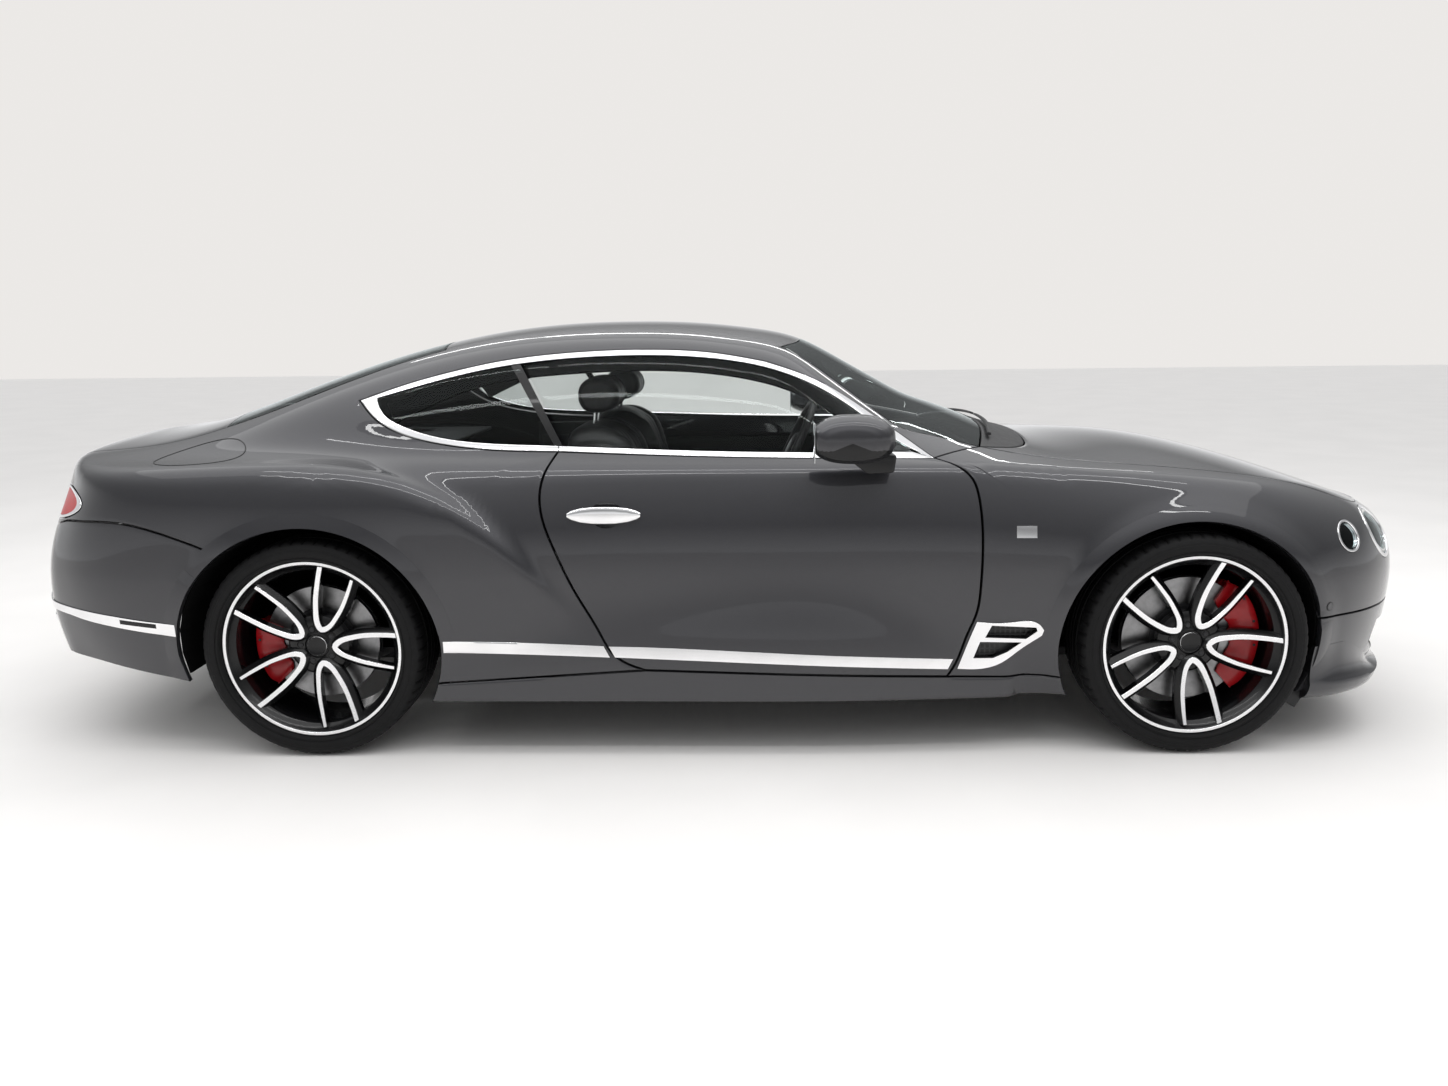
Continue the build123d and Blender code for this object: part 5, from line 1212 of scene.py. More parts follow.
def build_side_panels(c):
    """Doors with their glass and bright strips, and front wings, one pair on each side."""
    lamps = [headlamp_axis(centre) + (r,) for centre, r in HEADLAMPS]
    door_skin, wing_skin, pane = door_sheet(c), wing_sheet(c), door_glass_sheet()
    belt = window_trim_sheets(c)[1]
    door_line = strip("side", STRIP_DOOR_TOP, STRIP_DOOR_LOW, 12)
    for sign, side in SIDES:
        door = skin_panel(f"door_{side}", for_side(sign, door_skin), [PAINT, TRIM], door_depth, draw=0.955)
        pocket = oval_loop(HANDLE_POCKET, 0.0, 0.0, 48)
        cut(door, through_side([(y, z) for _, y, z in pocket], sign, 0.032))
        wing = skin_panel(f"front_wing_{side}", for_side(sign, wing_skin), [PAINT, PLASTIC])
        turn = np.array([1, sign, 1])
        bores = [bore_solid(place * turn, axis * turn, r) for place, axis, r in lamps]
        cut(wing, *bores, *[through_side(hole, sign, 0.07) for hole in VENT_HOLES])
        skin_panel(f"door_glass_{side}", for_side(sign, pane), [TINT, TINT_BACK], GLASS_DEPTH, 0.0115)
        node = f"door_trims_{side}"
        laid_object(f"belt_strip_{side}", for_side(sign, belt), 0.0, -0.010, [CHROME], node, 0.003)
        laid_object(f"door_strip_{side}", for_side(sign, door_line), 0.004, 0.001, [CHROME], node)


def build_shell(c):
    """Body shell, bonnet, boot lid, bumpers, sills and fixed glass, with the openings for lamps and air."""
    shell = skin_panel("body_shell", shell_sheet(c), [PAINT, HEADLINER])
    cut(shell, *along_x(oval_loop(TAIL_LAMP, 0.004, 0.0), -2.46, -1.94))
    skin_panel("windscreen", windscreen_sheet(c), [TINT, TINT_BACK], GLASS_DEPTH)
    skin_panel("rear_window", rear_window_sheet(c), [DARK_TINT, DARK_TINT_BACK], GLASS_DEPTH)
    skin_panel("cowl_panel", cowl_sheet(c), [PLASTIC], 0.010)
    skin_panel("bonnet", bonnet_sheet(c), [PAINT, PLASTIC])
    skin_panel("boot_lid", lid_sheet(c), [PAINT, PLASTIC])
    rear = skin_panel("rear_bumper", rear_bumper_sheet(c), [PAINT, PLASTIC])
    cut(rear, *along_x(oval_loop(EXHAUST, 0.005, 0.0), -2.5, -2.1))
    front = skin_panel("front_bumper", front_bumper_sheet(c), [PAINT, PLASTIC])
    cut(front, *along_x(end_loop(INTAKE_SIDE, 0.0), 1.94, 2.46),
        pushed("bore", end_loop(INTAKE_MID, 0.0), (1, 0, 0), 2.1, 2.5))
    skin_panel("sills", both(sill_sheet()), [PAINT, PLASTIC], 0.012)
    skin_panel("quarter_glasses", both(quarter_glass_sheet()), [DARK_TINT, DARK_TINT_BACK], GLASS_DEPTH,
               0.004)


def build_strips(c):
    """Bright strips, pillar covers, vents with their mesh and its painted shade in the holes, and the trim
    inside the roof rails, near black with painted shade.
    """
    laid_object("window_strips", both(window_trim_sheets(c)[0]), 0.0, -0.010, [CHROME], "window_trims",
                0.0022)
    tops, lows = ([(x, float(np.interp(x, *np.array(sorted(edge)).T))) for x in ends]
                  for edge, ends in ((GLASS_TOP, PILLAR_TOP), (GLASS_LOW, PILLAR_LOW)))
    laid_object("pillar_covers", both(strip("side", tops, lows, 2)), 0.0006, -0.0004, [BLACK_GLOSS],
                "quarter_glasses", hem=0.0003)
    laid_object("grille_mesh", grille_sheet(c), -0.022, -0.034, [MESH, PLASTIC], "grille", 0.062)
    laid_object("sill_strips", both(strip("side", STRIP_SILL_TOP, STRIP_SILL_LOW, 5)), 0.004, 0.001, [CHROME],
                "body_trims")
    laid_object("tail_strip", tail_strip_sheet(), 0.0045, 0.0015, [CHROME], "body_trims")
    for sign, side in SIDES:
        vent = strip("side", VENT_TOP, VENT_LOW, 6)
        vent = laid_object(f"wing_vent_{side}", for_side(sign, vent), 0.0055, 0.002, [CHROME], "body_trims")
        cut(vent, *[through_side(hole, sign, 0.07) for hole in VENT_HOLES])
        for name, view, top, low, count, high, base, materials, node in SUNK_STRIPS:
            laid_object(f"{name}_{side}", for_side(sign, strip(view, top, low, count)), high, base, materials,
                        node)
    laid_object("mid_intake", strip("front", [(-0.385, 0.370), (0.385, 0.370)],
                                    [(-0.385, 0.228), (0.385, 0.228)], 8),
                -0.026, -0.036, [MESH, PLASTIC], "air_intakes")


outlines = outline_curves()
build_side_panels(outlines)
build_shell(outlines)
build_strips(outlines)


# ---------------------------------------------------------------- wheels and brakes
# Tyre section from the middle of the tread to the bead: share of the half width, radius
TYRE_OUTSIDE = [
    (0.000, 0.3620), (0.070, 0.3620), (0.075, 0.3550), (0.130, 0.3550), (0.135, 0.3620), (0.370, 0.3618),
    (0.375, 0.3548), (0.440, 0.3546), (0.445, 0.3614), (0.640, 0.3606), (0.700, 0.3600), (0.760, 0.3594),
    (0.820, 0.3580), (0.880, 0.3545), (0.925, 0.3500), (0.952, 0.3450), (0.968, 0.3400), (0.974, 0.3392),
    (0.982, 0.3320), (0.990, 0.3310), (0.999, 0.3230), (0.997, 0.3160), (0.984, 0.3120), (0.966, 0.3108),
    (0.963, 0.3075), (0.978, 0.3060), (0.976, 0.3022), (0.940, 0.2990), (0.880, 0.2972), (0.812, 0.2960),
    (0.800, 0.2945), (0.792, 0.2805),
]
TYRE_INSIDE = [(0.730, 0.2805), (0.760, 0.2980), (0.880, 0.3150), (0.870, 0.3300), (0.780, 0.3420),
               (0.400, 0.3480)]
# Wheel blade section: offset outwards from the loop's middle line, depth under the wheel face
BLADE = [(-0.0080, -0.034), (-0.0080, -0.0010), (-0.0070, 0.0), (0.0070, 0.0), (0.0080, -0.0008),
         (0.0220, -0.0170), (0.0230, -0.034)]
BLADE_LINE = [(0.060, 0.0), (0.0655, 0.010), (0.080, 0.0215), (0.112, 0.0335), (0.157, 0.0445),
              (0.200, 0.050), (0.235, 0.053), (0.266, 0.0545), (0.284, 0.0550)]


def joined(name, pieces):
    """One mesh object out of several, keeping their materials."""
    with bpy.context.temp_override(active_object=pieces[0], selected_editable_objects=pieces):
        bpy.ops.object.join()
    pieces[0].name = name
    return pieces[0]


def tyre(name, centre, half):
    right = [(share * half, r) for share, r in TYRE_OUTSIDE]
    inside = [(share * half, r) for share, r in TYRE_INSIDE]
    profile = [(-y, r) for y, r in reversed(right[1:])] + right + inside + [(-y,
                                                                             r) for y, r in reversed(inside)]

    def tread(y, r, k):
        share = abs(y) / half
        if 0.45 < share < 0.90 and r > 0.350 and k % 5 == 0:
            r -= 0.0045
        if 0.14 < share < 0.365 and r > 0.360 and (k + 2) % 5 == 0:
            r -= 0.004
        if 0.968 < share < 0.992 and 0.331 < r < 0.3395 and k % 5 < 2:
            y -= math.copysign(0.0006, y)
        return y, r
    return turned(name, profile, centre, [RUBBER], None, 300, tread, 28.0)


def blade_loop(name, centre, s, face, turn):
    """One bright-faced spoke loop, open towards the rim."""
    arm = BLADE_LINE[1:]
    line = smooth_path([(r, -w) for r, w in reversed(arm)] + [BLADE_LINE[0]] + list(arm), 72)
    stop = [i for i, (r, w) in enumerate(line) if w < 0 and math.hypot(r, w) > 0.2755]
    line = line[len(stop):]
    way = np.gradient(line, axis=0)
    way /= np.linalg.norm(way, axis=1)[:, None]
    out = np.stack([-way[:, 1], way[:, 0]], 1)
    co, si = math.cos(math.radians(turn)), math.sin(math.radians(turn))
    rings = []
    for k, (point, side) in enumerate(zip(line, out)):
        t = k / (len(line) - 1)
        wide = np.interp(t, [0, 0.12, 0.38, 0.5, 0.62, 0.88, 1.0], [0.66, 0.80, 0.95, 1.25, 1.08, 0.98, 1.0])
        ring = []
        for u, deep in BLADE:
            u = u * wide if abs(u) < 0.01 else u
            r, w = point + side * u
            high = face + 0.034 * (math.hypot(*point) / 0.285) ** 2 + deep
            ring.append((centre[0] + r * co - w * si, centre[1] + s * high, centre[2] + r * si + w * co))
        rings.append(ring)
    return closed_rings(name, rings, [BLACK_GLOSS, MACHINED], pick=lambda k, i: int(i in (1, 2, 3)),
                        angle=25.0)


# By axle: wheel face beside the hub, angle of the first spoke, radius of the disc, middle of the caliper
# and half its arc; metres and degrees
AXLES = {"front": (0.074, -80.7, 0.205, 5.0, 52.0), "rear": (0.078, 69.6, 0.190, 190.0, 32.0)}


def build_wheel(name, x, y, half, s):
    centre = (x, y, AXLE_Z)
    front = name.startswith("front")
    face, first, radius, middle, reach = AXLES["front" if front else "rear"]
    edge = half * RIM_SHARE
    stands_for(tyre(f"tyre_look_{name}", centre, half), f"tyre_{name}")
    barrel = [
        (edge + .0080, .2840), (edge + .0080, .2925), (edge + .0070, .2930), (edge, .2930), (edge, .2790),
        (edge - .040, .2790), (edge - .062, .2620), (-edge + .040, .2620), (-edge + .024, .2790),
        (-edge, .2790), (-edge, .2930), (-edge - .008, .2930), (-edge - .008, .2870), (-edge - .002, .2730),
        (-edge + .012, .2550), (edge - .044, .2550), (edge - .020, .2610), (edge - .008, .2740),
        (edge + .002, .2790), (edge + .0072, .2830),
    ]
    pieces = [turned(f"rim_look_{name}", [(v * s, r) for v, r in barrel], centre, [BLACK_GLOSS, MACHINED],
                     lambda k, i: int(i in (0, 19)), 160, angle=28.0)]
    for k in range(SPOKE_COUNT):
        pieces.append(blade_loop("blade", centre, s, face, first + 72 * k))
    hub = [
        (face - .004, .0), (face - .004, .028), (face - .002, .0315), (face - .004, .0335),
        (face - .009, .0345), (face - .009, .0375), (face - .006, .0400), (face - .009, .0440),
        (face - .012, .0700), (face - .012, .0860), (face - .020, .1000), (face - .038, .1040),
        (face - .040, .1030), (face - .040, .0),
    ]
    pieces.append(turned("hub", [(v * s, r) for v, r in hub], centre, [BLACK_GLOSS, MACHINED],
                         lambda k, i: int(i == 2), 96))
    for k in range(5):
        a = math.radians(first + 36 + 72 * k)
        place = (centre[0] + 0.056 * math.cos(a), centre[1] + s * (face - .0135),
                 centre[2] + 0.056 * math.sin(a))
        pocket = [(0.0, .0018), (0.0105, .0018), (0.0125, .0040), (0.0135, .0040), (0.0135, .0005),
                  (0.0, .0005)]
        pieces.append(spun("bolt_pocket", pocket, place, (0, s, 0), [BLACK_GLOSS], count=24))
        pieces.append(spun("bolt", [(0.0, .006), (0.0070, .006), (0.0085, .0045), (0.0085, 0.0), (0.0, 0.0)],
                           place, (0, s, 0), [DARK_STEEL], count=6, angle=20.0))
    stands_for(joined(f"rim_look_{name}", pieces), f"rim_{name}")
    hat = face - 0.042
    outboard = [(.0055, .118), (.0055, radius - .001), (.0065, radius), (.0170, radius),
                (.0180, radius - .001), (.0180, .118), (.0172, .116), (.0060, .116)]
    inboard = [(-.0160, .117), (-.0160, radius - .001), (-.0150, radius), (-.0045, radius),
               (-.0035, radius - .001), (-.0035, .117)]
    bell = [(.0160, .1162), (.0160, .0980), (hat - .004, .0850), (hat, .0800), (hat, .0400),
            (hat - .004, .0400), (hat - .006, .0760), (.0110, .0900), (.0050, .0960), (-.0040, .1000),
            (-.0040, .1162)]
    discs = [turned("disc", [(v * s, r) for v, r in shape], centre, [m], None, 120)
             for shape, m in ((outboard, DISC), (inboard, DISC), (bell, DARK_STEEL))]
    vanes = []
    for k in range(40):
        a = 2 * math.pi * k / 40
        far, near = radius - 0.006, 0.121
        loop = [(near, -.0015), (far, -.0015), (far, .0015), (near, .0015)]
        points = [(centre[0] + r * math.cos(a) - w * math.sin(a), centre[1], centre[2] + r * math.sin(a)
                   + w * math.cos(a)) for r, w in loop]
        vanes.append(pushed("vane", points, (0, s, 0), -.0040, .0060, [DARK_STEEL]))
    stands_for(joined(f"disc_look_{name}", discs + vanes), f"brake_disc_{name}")
    build_brake(name, centre, s, front, radius, middle, reach)


def build_brake(name, centre, s, front, radius, middle, reach):
    """Caliper over the disc, with the upright that carries it and the hub bearing."""
    outer, inner = radius + 0.0315, radius - 0.068
    pieces = []
    steps = 30
    for low, high, top, bottom in ((0.0220, 0.0355, outer, inner), (-0.0515, -0.0205, outer, inner),
                                   (-0.0240, 0.0250, outer - 0.001, radius + 0.0065)):
        rings = []
        for k in range(steps + 1):
            t = 2 * k / steps - 1
            a = math.radians(middle + reach * t)
            taper = 1 - 0.42 * max(0.0, (abs(t) - 0.72) / 0.28) ** 2
            lump = 0.004 * math.cos(t * math.pi * (4 if front else 3)) * (1 - t * t)
            r1 = top - (1 - taper) * 0.030
            r0 = bottom + (1 - taper) * 0.035 + (0.004 - lump if low != -0.024 else 0)
            edge = 0.004
            face = high - (0.0 if low < 0 else 0.003 * (1 - math.cos(t * math.pi * (4 if front else 3))) / 2)
            shape = [(low, r0), (face - edge, r0), (face, r0 + edge * 1.6), (face, r1 - edge * 2),
                     (face - edge, r1), (low + edge, r1), (low, r1 - edge)]
            rings.append([(centre[0] + r * math.cos(a), centre[1] + s * v, centre[2] + r * math.sin(a))
                          for v, r in shape])
        pieces.append(closed_rings("caliper", rings, [RED], angle=38.0))
    for t in ((-0.62, -0.2, 0.2, 0.62) if front else (-0.4, 0.4)):
        a = math.radians(middle + reach * t)
        place = (centre[0] + (radius + 0.018) * math.cos(a), centre[1] + s * 0.0325, centre[2]
                 + (radius + 0.018) * math.sin(a))
        pieces.append(spun("caliper_bolt", [(0, .0028), (.0035, .0028), (.0048, .0018), (.0048, 0), (0, 0)],
                           place, (0, s, 0), [DARK_STEEL], count=12))
    a = math.radians(middle)
    upright = [(-0.040, -0.118), (0.040, -0.118), (0.047, -0.060), (0.036, 0.000), (0.044, 0.085),
               (0.030, 0.128), (-0.030, 0.128), (-0.044, 0.085), (-0.036, 0.000), (-0.047, -0.060)]
    post = pushed("upright", [(centre[0] + u, centre[1], centre[2] + v) for u, v in upright], (0, s, 0),
                  -0.0935, -0.0410, [ALLOY])
    pieces.append(soften(post, 0.006, 3))
    bearing = [(-.094, .0), (-.094, .055), (-.088, .0615), (-.060, .0615), (-.055, .058), (-.030, .058),
               (-.026, .054), (-.026, .024), (.020, .024), (.022, .021), (.022, .0)]
    pieces.append(turned("bearing", [(v * s, r) for v, r in bearing], centre, [DARK_STEEL], None, 64))
    reach_out = np.array([math.cos(a), 0, math.sin(a)])
    across_arm = np.array([-math.sin(a), 0, math.cos(a)])
    loop = [np.array(centre) + reach_out * u + across_arm * v for u, v in
            ((0.030, -0.030), (0.090, -0.020), (0.150, -0.029), (0.150, 0.029), (0.090, 0.020),
             (0.030, 0.030))]
    pieces.append(soften(pushed("bracket", loop, (0, s, 0), -0.074, -0.046, [ALLOY]), 0.004, 2))
    stands_for(joined(f"brake_look_{name}", pieces), f"hub_carrier_{name}")


# ---------------------------------------------------------------- lamps, mirrors, handles, small trim
# Foot of the door mirror in side view, and the height under which its head is gloss black
MIRROR_FOOT = [(0.395, 0.985), (0.470, 1.000), (0.560, 0.985), (0.552, 0.930), (0.470, 0.926)]
CAP_LOW = 1.010
SENSORS = [("front", (1.957, -0.914, 0.481)), ("rear", (-1.747, -0.983, 0.487))]
# Wall of an exhaust tip, out along its outside and back: x, growth of the oval
EXHAUST_TIP = [(-2.224, -0.001), (-2.350, 0.0), (-2.3555, -0.001), (-2.3555, -0.004), (-2.350, -0.005),
               (-2.224, -0.005)]


def round_lamp(tag, place, axis, radius):
    """Bezel, clear cover, projector and bright bowl of a round lamp."""
    bezel, lens = lamp_rings(place, axis, radius, radius)
    pieces = [panel_object(f"lamp_bezel_{tag}", bezel, 0.006, 0.0, [CHROME, CHROME], "body", ["headlamps"],
                           hem=0.0008, bite=0.0025)]
    panel_object(f"lamp_cover_{tag}", lens, 0.004, 0.0, [LAMP_CLEAR, LAMP_CLEAR], "body", ["headlamps"],
                 hem=0.0005, bite=-0.001)
    inner = radius * BEZEL_SHARE - 0.004
    back = -0.038
    bowl = [(inner, -0.012), (inner * 0.97, -0.017), (inner * 0.80, -0.026), (inner * 0.62, -0.033),
            (inner * 0.56, back), (inner * 0.56, back - 0.001), (inner, back - 0.001)]
    pieces.append(spun(f"lamp_bowl_{tag}", bowl, place, axis, [REFLECTOR], count=96))
    ring = [(inner * 0.97, -0.0130), (inner * 0.90, -0.0085), (inner * 0.86, -0.0090),
            (inner * 0.80, -0.0220), (inner * 0.84, -0.0250)]
    pieces.append(spun(f"lamp_ring_{tag}", ring, place, axis, [BLANK], count=96))
    core = [(0.0, -0.0085), (inner * 0.30, -0.0092), (inner * 0.50, -0.0110), (inner * 0.58, -0.0135),
            (inner * 0.60, -0.0150), (inner * 0.64, -0.0135), (inner * 0.68, -0.0150), (inner * 0.68, back),
            (0.0, back)]
    pieces.append(spun(f"lamp_core_{tag}", core, place, axis, [REFLECTOR, CHROME],
                       lambda k, i: int(i in (3, 4, 5)), count=96))
    for k in range(24):
        a = 2 * math.pi * k / 24
        side = Vector(axis).orthogonal().normalized()
        high = Vector(axis).cross(side)
        way = side * math.cos(a) + high * math.sin(a)
        start = Vector(place) + way * (inner * 0.66) - Vector(axis) * 0.0300
        stop = Vector(place) + way * (inner * 0.86) - Vector(axis) * 0.0190
        pieces.append(tube("fin", [start, stop], 0.0009, [CHROME], 6))
    stands_for(joined(f"lamp_inside_{tag}", pieces), "headlamps")


def build_lamps():
    for sign, side in SIDES:
        for k, (centre, radius) in enumerate(HEADLAMPS):
            before = set(bpy.data.objects)
            round_lamp(f"{side}_{k}", *headlamp_axis(centre), radius)
            for obj in set(bpy.data.objects) - before:
                moved_to(sign, obj)
    bezel, lens = tail_lamp_rings()
    t = TAIL_LAMP
    centre = on_end(t["y"], t["z"], -1)
    # Inside of the lamp: inner and outer share of its lens, rings, height on the skin, material
    insides = [(0.60, 0.68, 2, -0.008, BLANK), (0.0, 0.92, 4, -0.020, REFLECTOR),
               (0.20, 0.28, 2, -0.010, BLANK)]
    for sign, side in SIDES:
        laid_object(f"tail_bezel_{side}", for_side(sign, bezel), 0.002, -0.006, [CHROME], "tail_lamps")
        laid_object(f"tail_lens_{side}", for_side(sign, lens), -0.0005, -0.0035, [LAMP_RED], "tail_lamps")
        for k, (inner, outer, rings, top, m) in enumerate(insides):
            ring = disc_sheet(centre, (-1, 0, 0), t["along"] * BEZEL_SHARE, t["up"] * BEZEL_SHARE, inner,
                              outer, rings, 48)
            laid_object(f"tail_inside_{k}_{side}", for_side(sign, ring), top, -0.026, [m], "tail_lamps")


def mirror_head():
    """Door mirror head: painted cap, gloss black below, plastic round the glass at the back."""
    around = 72
    rings = mirror_rings(around)
    fine = []
    for a, b in zip(rings[:-1], rings[1:]):
        fine += [a + (b - a) * t for t in (0, 0.34, 0.67)]
    fine.append(rings[-1])

    def pick(k, i):
        ring = fine[min(k, len(fine) - 1)]
        where = (ring[i] + ring[(i + 1) % around]) / 2
        if where[0] < MIRROR_BACK + 0.004:
            return 2
        return 1 if where[2] < CAP_LOW else 0
    return closed_rings("mirror_head", fine, [PAINT, BLACK_GLOSS, PLASTIC], pick=pick, angle=40.0)


def build_mirror(sign, side):
    glass = rounded_block("mirror_glass", (MIRROR_BACK - 0.0002, -1.066, 0.972),
                          (MIRROR_BACK + 0.002, -0.950, 1.092), 0.0008, [MIRROR], 1)
    foot = bar("mirror_foot", MIRROR_FOOT, -0.936, 0.084, 0.008, [BLACK_GLOSS], 4)
    head = joined(f"mirror_look_{side}", [mirror_head(), glass, foot])
    stands_for(moved_to(sign, head), f"door_mirror_{side}")


def build_sensor(sign, side, tag, spot):
    """Parking sensor flush in a bumper: a painted disc in a thin dark ring."""
    spot = pull(np.array([spot]))[0]
    axis = gradient(spot[None])[0]
    disc = disc_sheet(spot, axis, 0.0115, 0.0115, 0.0, 1.0, 1, 24)
    rim = disc_sheet(spot, axis, 0.0145, 0.0145, 0.82, 1.0, 1, 32)
    node = f"{tag}_bumper"
    laid_object(f"sensor_{tag}_{side}", for_side(sign, disc), 0.0022, 0.0008, [PAINT], node, hem=0.0002)
    laid_object(f"sensor_ring_{tag}_{side}", for_side(sign, rim), 0.0018, 0.0006, [PLASTIC], node, hem=0.0001)


def build_exhaust(sign, side):
    pipe = closed_rings(f"exhaust_{side}", [oval_loop(EXHAUST, grow, x) for x, grow in EXHAUST_TIP], [CHROME],
                        True)
    inside = closed_rings("exhaust_end", [oval_loop(EXHAUST, -0.005, x) for x in (-2.240, -2.236)], [LINER])
    stands_for(moved_to(sign, joined(f"exhaust_{side}", [pipe, inside])), "body_trims")


def build_side_details():
    """Door handles, mirrors, bare wing plaques, side markers, parking sensors and exhaust tips."""
    for sign, side in SIDES:
        handle = closed_rings(f"handle_{side}", handle_rings(36), [CHROME], angle=50.0)
        stands_for(moved_to(sign, handle), f"door_trims_{side}")
        build_mirror(sign, side)
        plaque = strip("side", [(0.946, 0.753), (1.010, 0.753)], [(0.946, 0.715), (1.010, 0.715)], 2)
        laid_object(f"plaque_{side}", for_side(sign, plaque), 0.0030, 0.0002, [CHROME], "body_trims")
        marker = strip("side", [(-1.945, 0.468), (-1.817, 0.457)], [(-1.945, 0.453), (-1.817, 0.442)], 3)
        laid_object(f"side_marker_{side}", for_side(sign, marker), 0.0052, 0.0040, [BLACK_GLOSS],
                    "body_trims")
        for tag, spot in SENSORS:
            build_sensor(sign, side, tag, spot)
        build_exhaust(sign, side)


# Chin lip: where its outer edge runs in plan
CHIN = [(1.925, 0.899), (2.020, 0.878), (2.105, 0.838), (2.182, 0.780), (2.250, 0.695), (2.300, 0.598),
        (2.339, 0.490), (2.378, 0.300), (2.394, 0.0)]
# Underside of the lip: distance outwards from that edge, height
CHIN_FOOT = [(-0.001, 0.203), (-0.004, 0.192), (-0.011, 0.178), (-0.023, 0.165), (-0.042, 0.154),
             (-0.070, 0.147), (-0.120, 0.145)]


def build_chin():
    """Painted lip along the foot of the front bumper: flush at the sides, proud of it at the corners."""
    right = [(x, -y) for x, y in CHIN]
    line = smooth_path(right + [(x, -y) for x, y in reversed(right[:-1])], 150)
    way = np.gradient(line, axis=0)
    way /= np.linalg.norm(way, axis=1)[:, None]
    out = np.stack([-way[:, 1], way[:, 0]], 1)
    out = out * np.sign((out * line).sum(1))[:, None]
    top = np.interp(np.abs(line[:, 1]), [0.70, 0.80, 0.86], [0.246, 0.300, 0.345])
    columns = []
    for t in np.linspace(0, 1, 11):
        high = top + (0.212 - top) * t
        start = np.stack([line[:, 0] + out[:, 0] * 0.2, line[:, 1] + out[:, 1] * 0.2, high], -1)
        skin = cast(start, np.stack([-out[:, 0], -out[:, 1], 0 * high], -1), 0.6)
        edge = np.stack([line[:, 0], line[:, 1], high], -1)
        share = (t ** 1.6)
        columns.append(skin * (1 - share) + edge * share + np.stack([out[:, 0], out[:, 1], 0 * high],
                                                                    -1) * 0.0008)
    for u, z in CHIN_FOOT:
        columns.append(np.stack([line[:, 0] + out[:, 0] * u, line[:, 1] + out[:, 1] * u, 0 * top + z], -1))
    inner = columns[0] - np.stack([out[:, 0], out[:, 1], 0 * top], -1) * 0.014
    columns.append(inner)
    rings = np.stack(columns, 1)
    stands_for(closed_rings("chin_lip", list(rings), [PAINT], angle=60.0), "front_bumper")


def flare(name, node, shape, a0, a1, wide=0.050, high=0.0042):
    """Raised band along a wheel arch: highest at the edge, running out to nothing."""
    for sign, side in SIDES:
        steps = int(abs(a1 - a0) * 0.7) + 2
        rows = []
        for share in (1.0, 0.75, 0.5, 0.25, 0.07):
            grown = dict(shape, across=shape["across"] + wide * share, up=shape["up"] + wide * share)
            rows.append(arch(grown, a0, a1, steps // FINE + 1))
        count = len(rows[0])
        to_end = np.minimum(np.arange(count), np.arange(count)[::-1])
        fade = np.minimum(1, to_end / (0.12 * count) + 0.05)[:, None]
        ring = []
        for row, lift in zip(rows, (0.0, 0.25, 0.5, 0.76, 1.0)):
            out = gradient(row)
            out /= np.linalg.norm(out, axis=1)[:, None]
            ring.append(row + out * (high * lift * fade + 0.0004))
        inside = rows[-1] - gradient(rows[-1]) / np.linalg.norm(gradient(rows[-1]), axis=1)[:, None] * 0.012
        under = rows[0] - gradient(rows[0]) / np.linalg.norm(gradient(rows[0]), axis=1)[:, None] * 0.003
        points = np.stack(ring + [inside, under], 1)
        points = points * np.array([1, sign, 1])
        whole = node.replace("right", side)
        stands_for(closed_rings(f"{name}_{side}", list(points), [PAINT], angle=60.0), whole)


def build_small_parts():
    """Fuel flap line, a thin black ring of painted shade for the gap round the flap; mud deflectors and wiper
    arms.
    """
    # The gap round the fuel flap is not cut: a thin black plastic ring laid on the skin is painted shade for
    # it.
    turn = np.linspace(0, 2 * math.pi, 97)[None, :]
    share = np.array([[0.975], [1.0]])
    flap = Sheet().patch(on_top(-1.722 + 0.150 * share * np.cos(turn), -0.765 - 0.105 * share * np.sin(turn)))
    laid_object("fuel_flap_gap_shade", flap, 0.0012, 0.0002, [PLASTIC, PLASTIC], "body_shell", hem=0.0001)
    for sign, side in SIDES:
        flap = bar(f"flap_{side}", [(1.852, 0.150), (1.905, 0.120), (1.938, 0.176), (1.905, 0.180),
                                    (1.870, 0.180)],
                   -0.760 * sign, 0.188, 0.003, [PLASTIC], 2)
        stands_for(flap, "mud_deflectors")
    for k, path in enumerate(WIPERS):
        sheet = wiper_sheet(path)
        laid_object(f"wiper_{k}", sheet, 0.0195, 0.011, [PLASTIC, PLASTIC], "wipers", hem=0.003)


for row in WHEELS:
    build_wheel(*row)
build_lamps()
build_side_details()
build_chin()
flare("flare_front", "front_wing_right", ARCH_FRONT, 15.5, 176)
flare("flare_front_low", "front_bumper", ARCH_FRONT, -14, 9.5)
flare("flare_rear", "body_shell", ARCH_REAR, 8, 134)
flare("flare_rear_low", "rear_bumper", ARCH_REAR, 142, 186)
build_small_parts()


# ---------------------------------------------------------------- cabin
# Side outlines of the seat pads
SQUAB = [(-0.246, 0.330), (0.235, 0.356), (0.262, 0.418), (0.236, 0.460), (-0.176, 0.424), (-0.232, 0.420)]
BACKREST = [(-0.222, 0.456), (-0.322, 0.460), (-0.444, 0.702), (-0.536, 0.960), (-0.532, 1.034),
            (-0.480, 1.058), (-0.402, 1.052), (-0.336, 0.996), (-0.278, 0.820), (-0.200, 0.562)]
HEADREST = [(-0.478, 1.084), (-0.402, 1.084), (-0.358, 1.112), (-0.351, 1.160), (-0.379, 1.205),
            (-0.440, 1.218), (-0.496, 1.191), (-0.506, 1.132)]
REAR_CUSHION = [(-0.934, 0.336), (-0.566, 0.366), (-0.556, 0.442), (-0.874, 0.434)]
REAR_UPRIGHT = [(-0.896, 0.458), (-0.956, 0.466), (-1.004, 0.894), (-0.956, 0.894)]


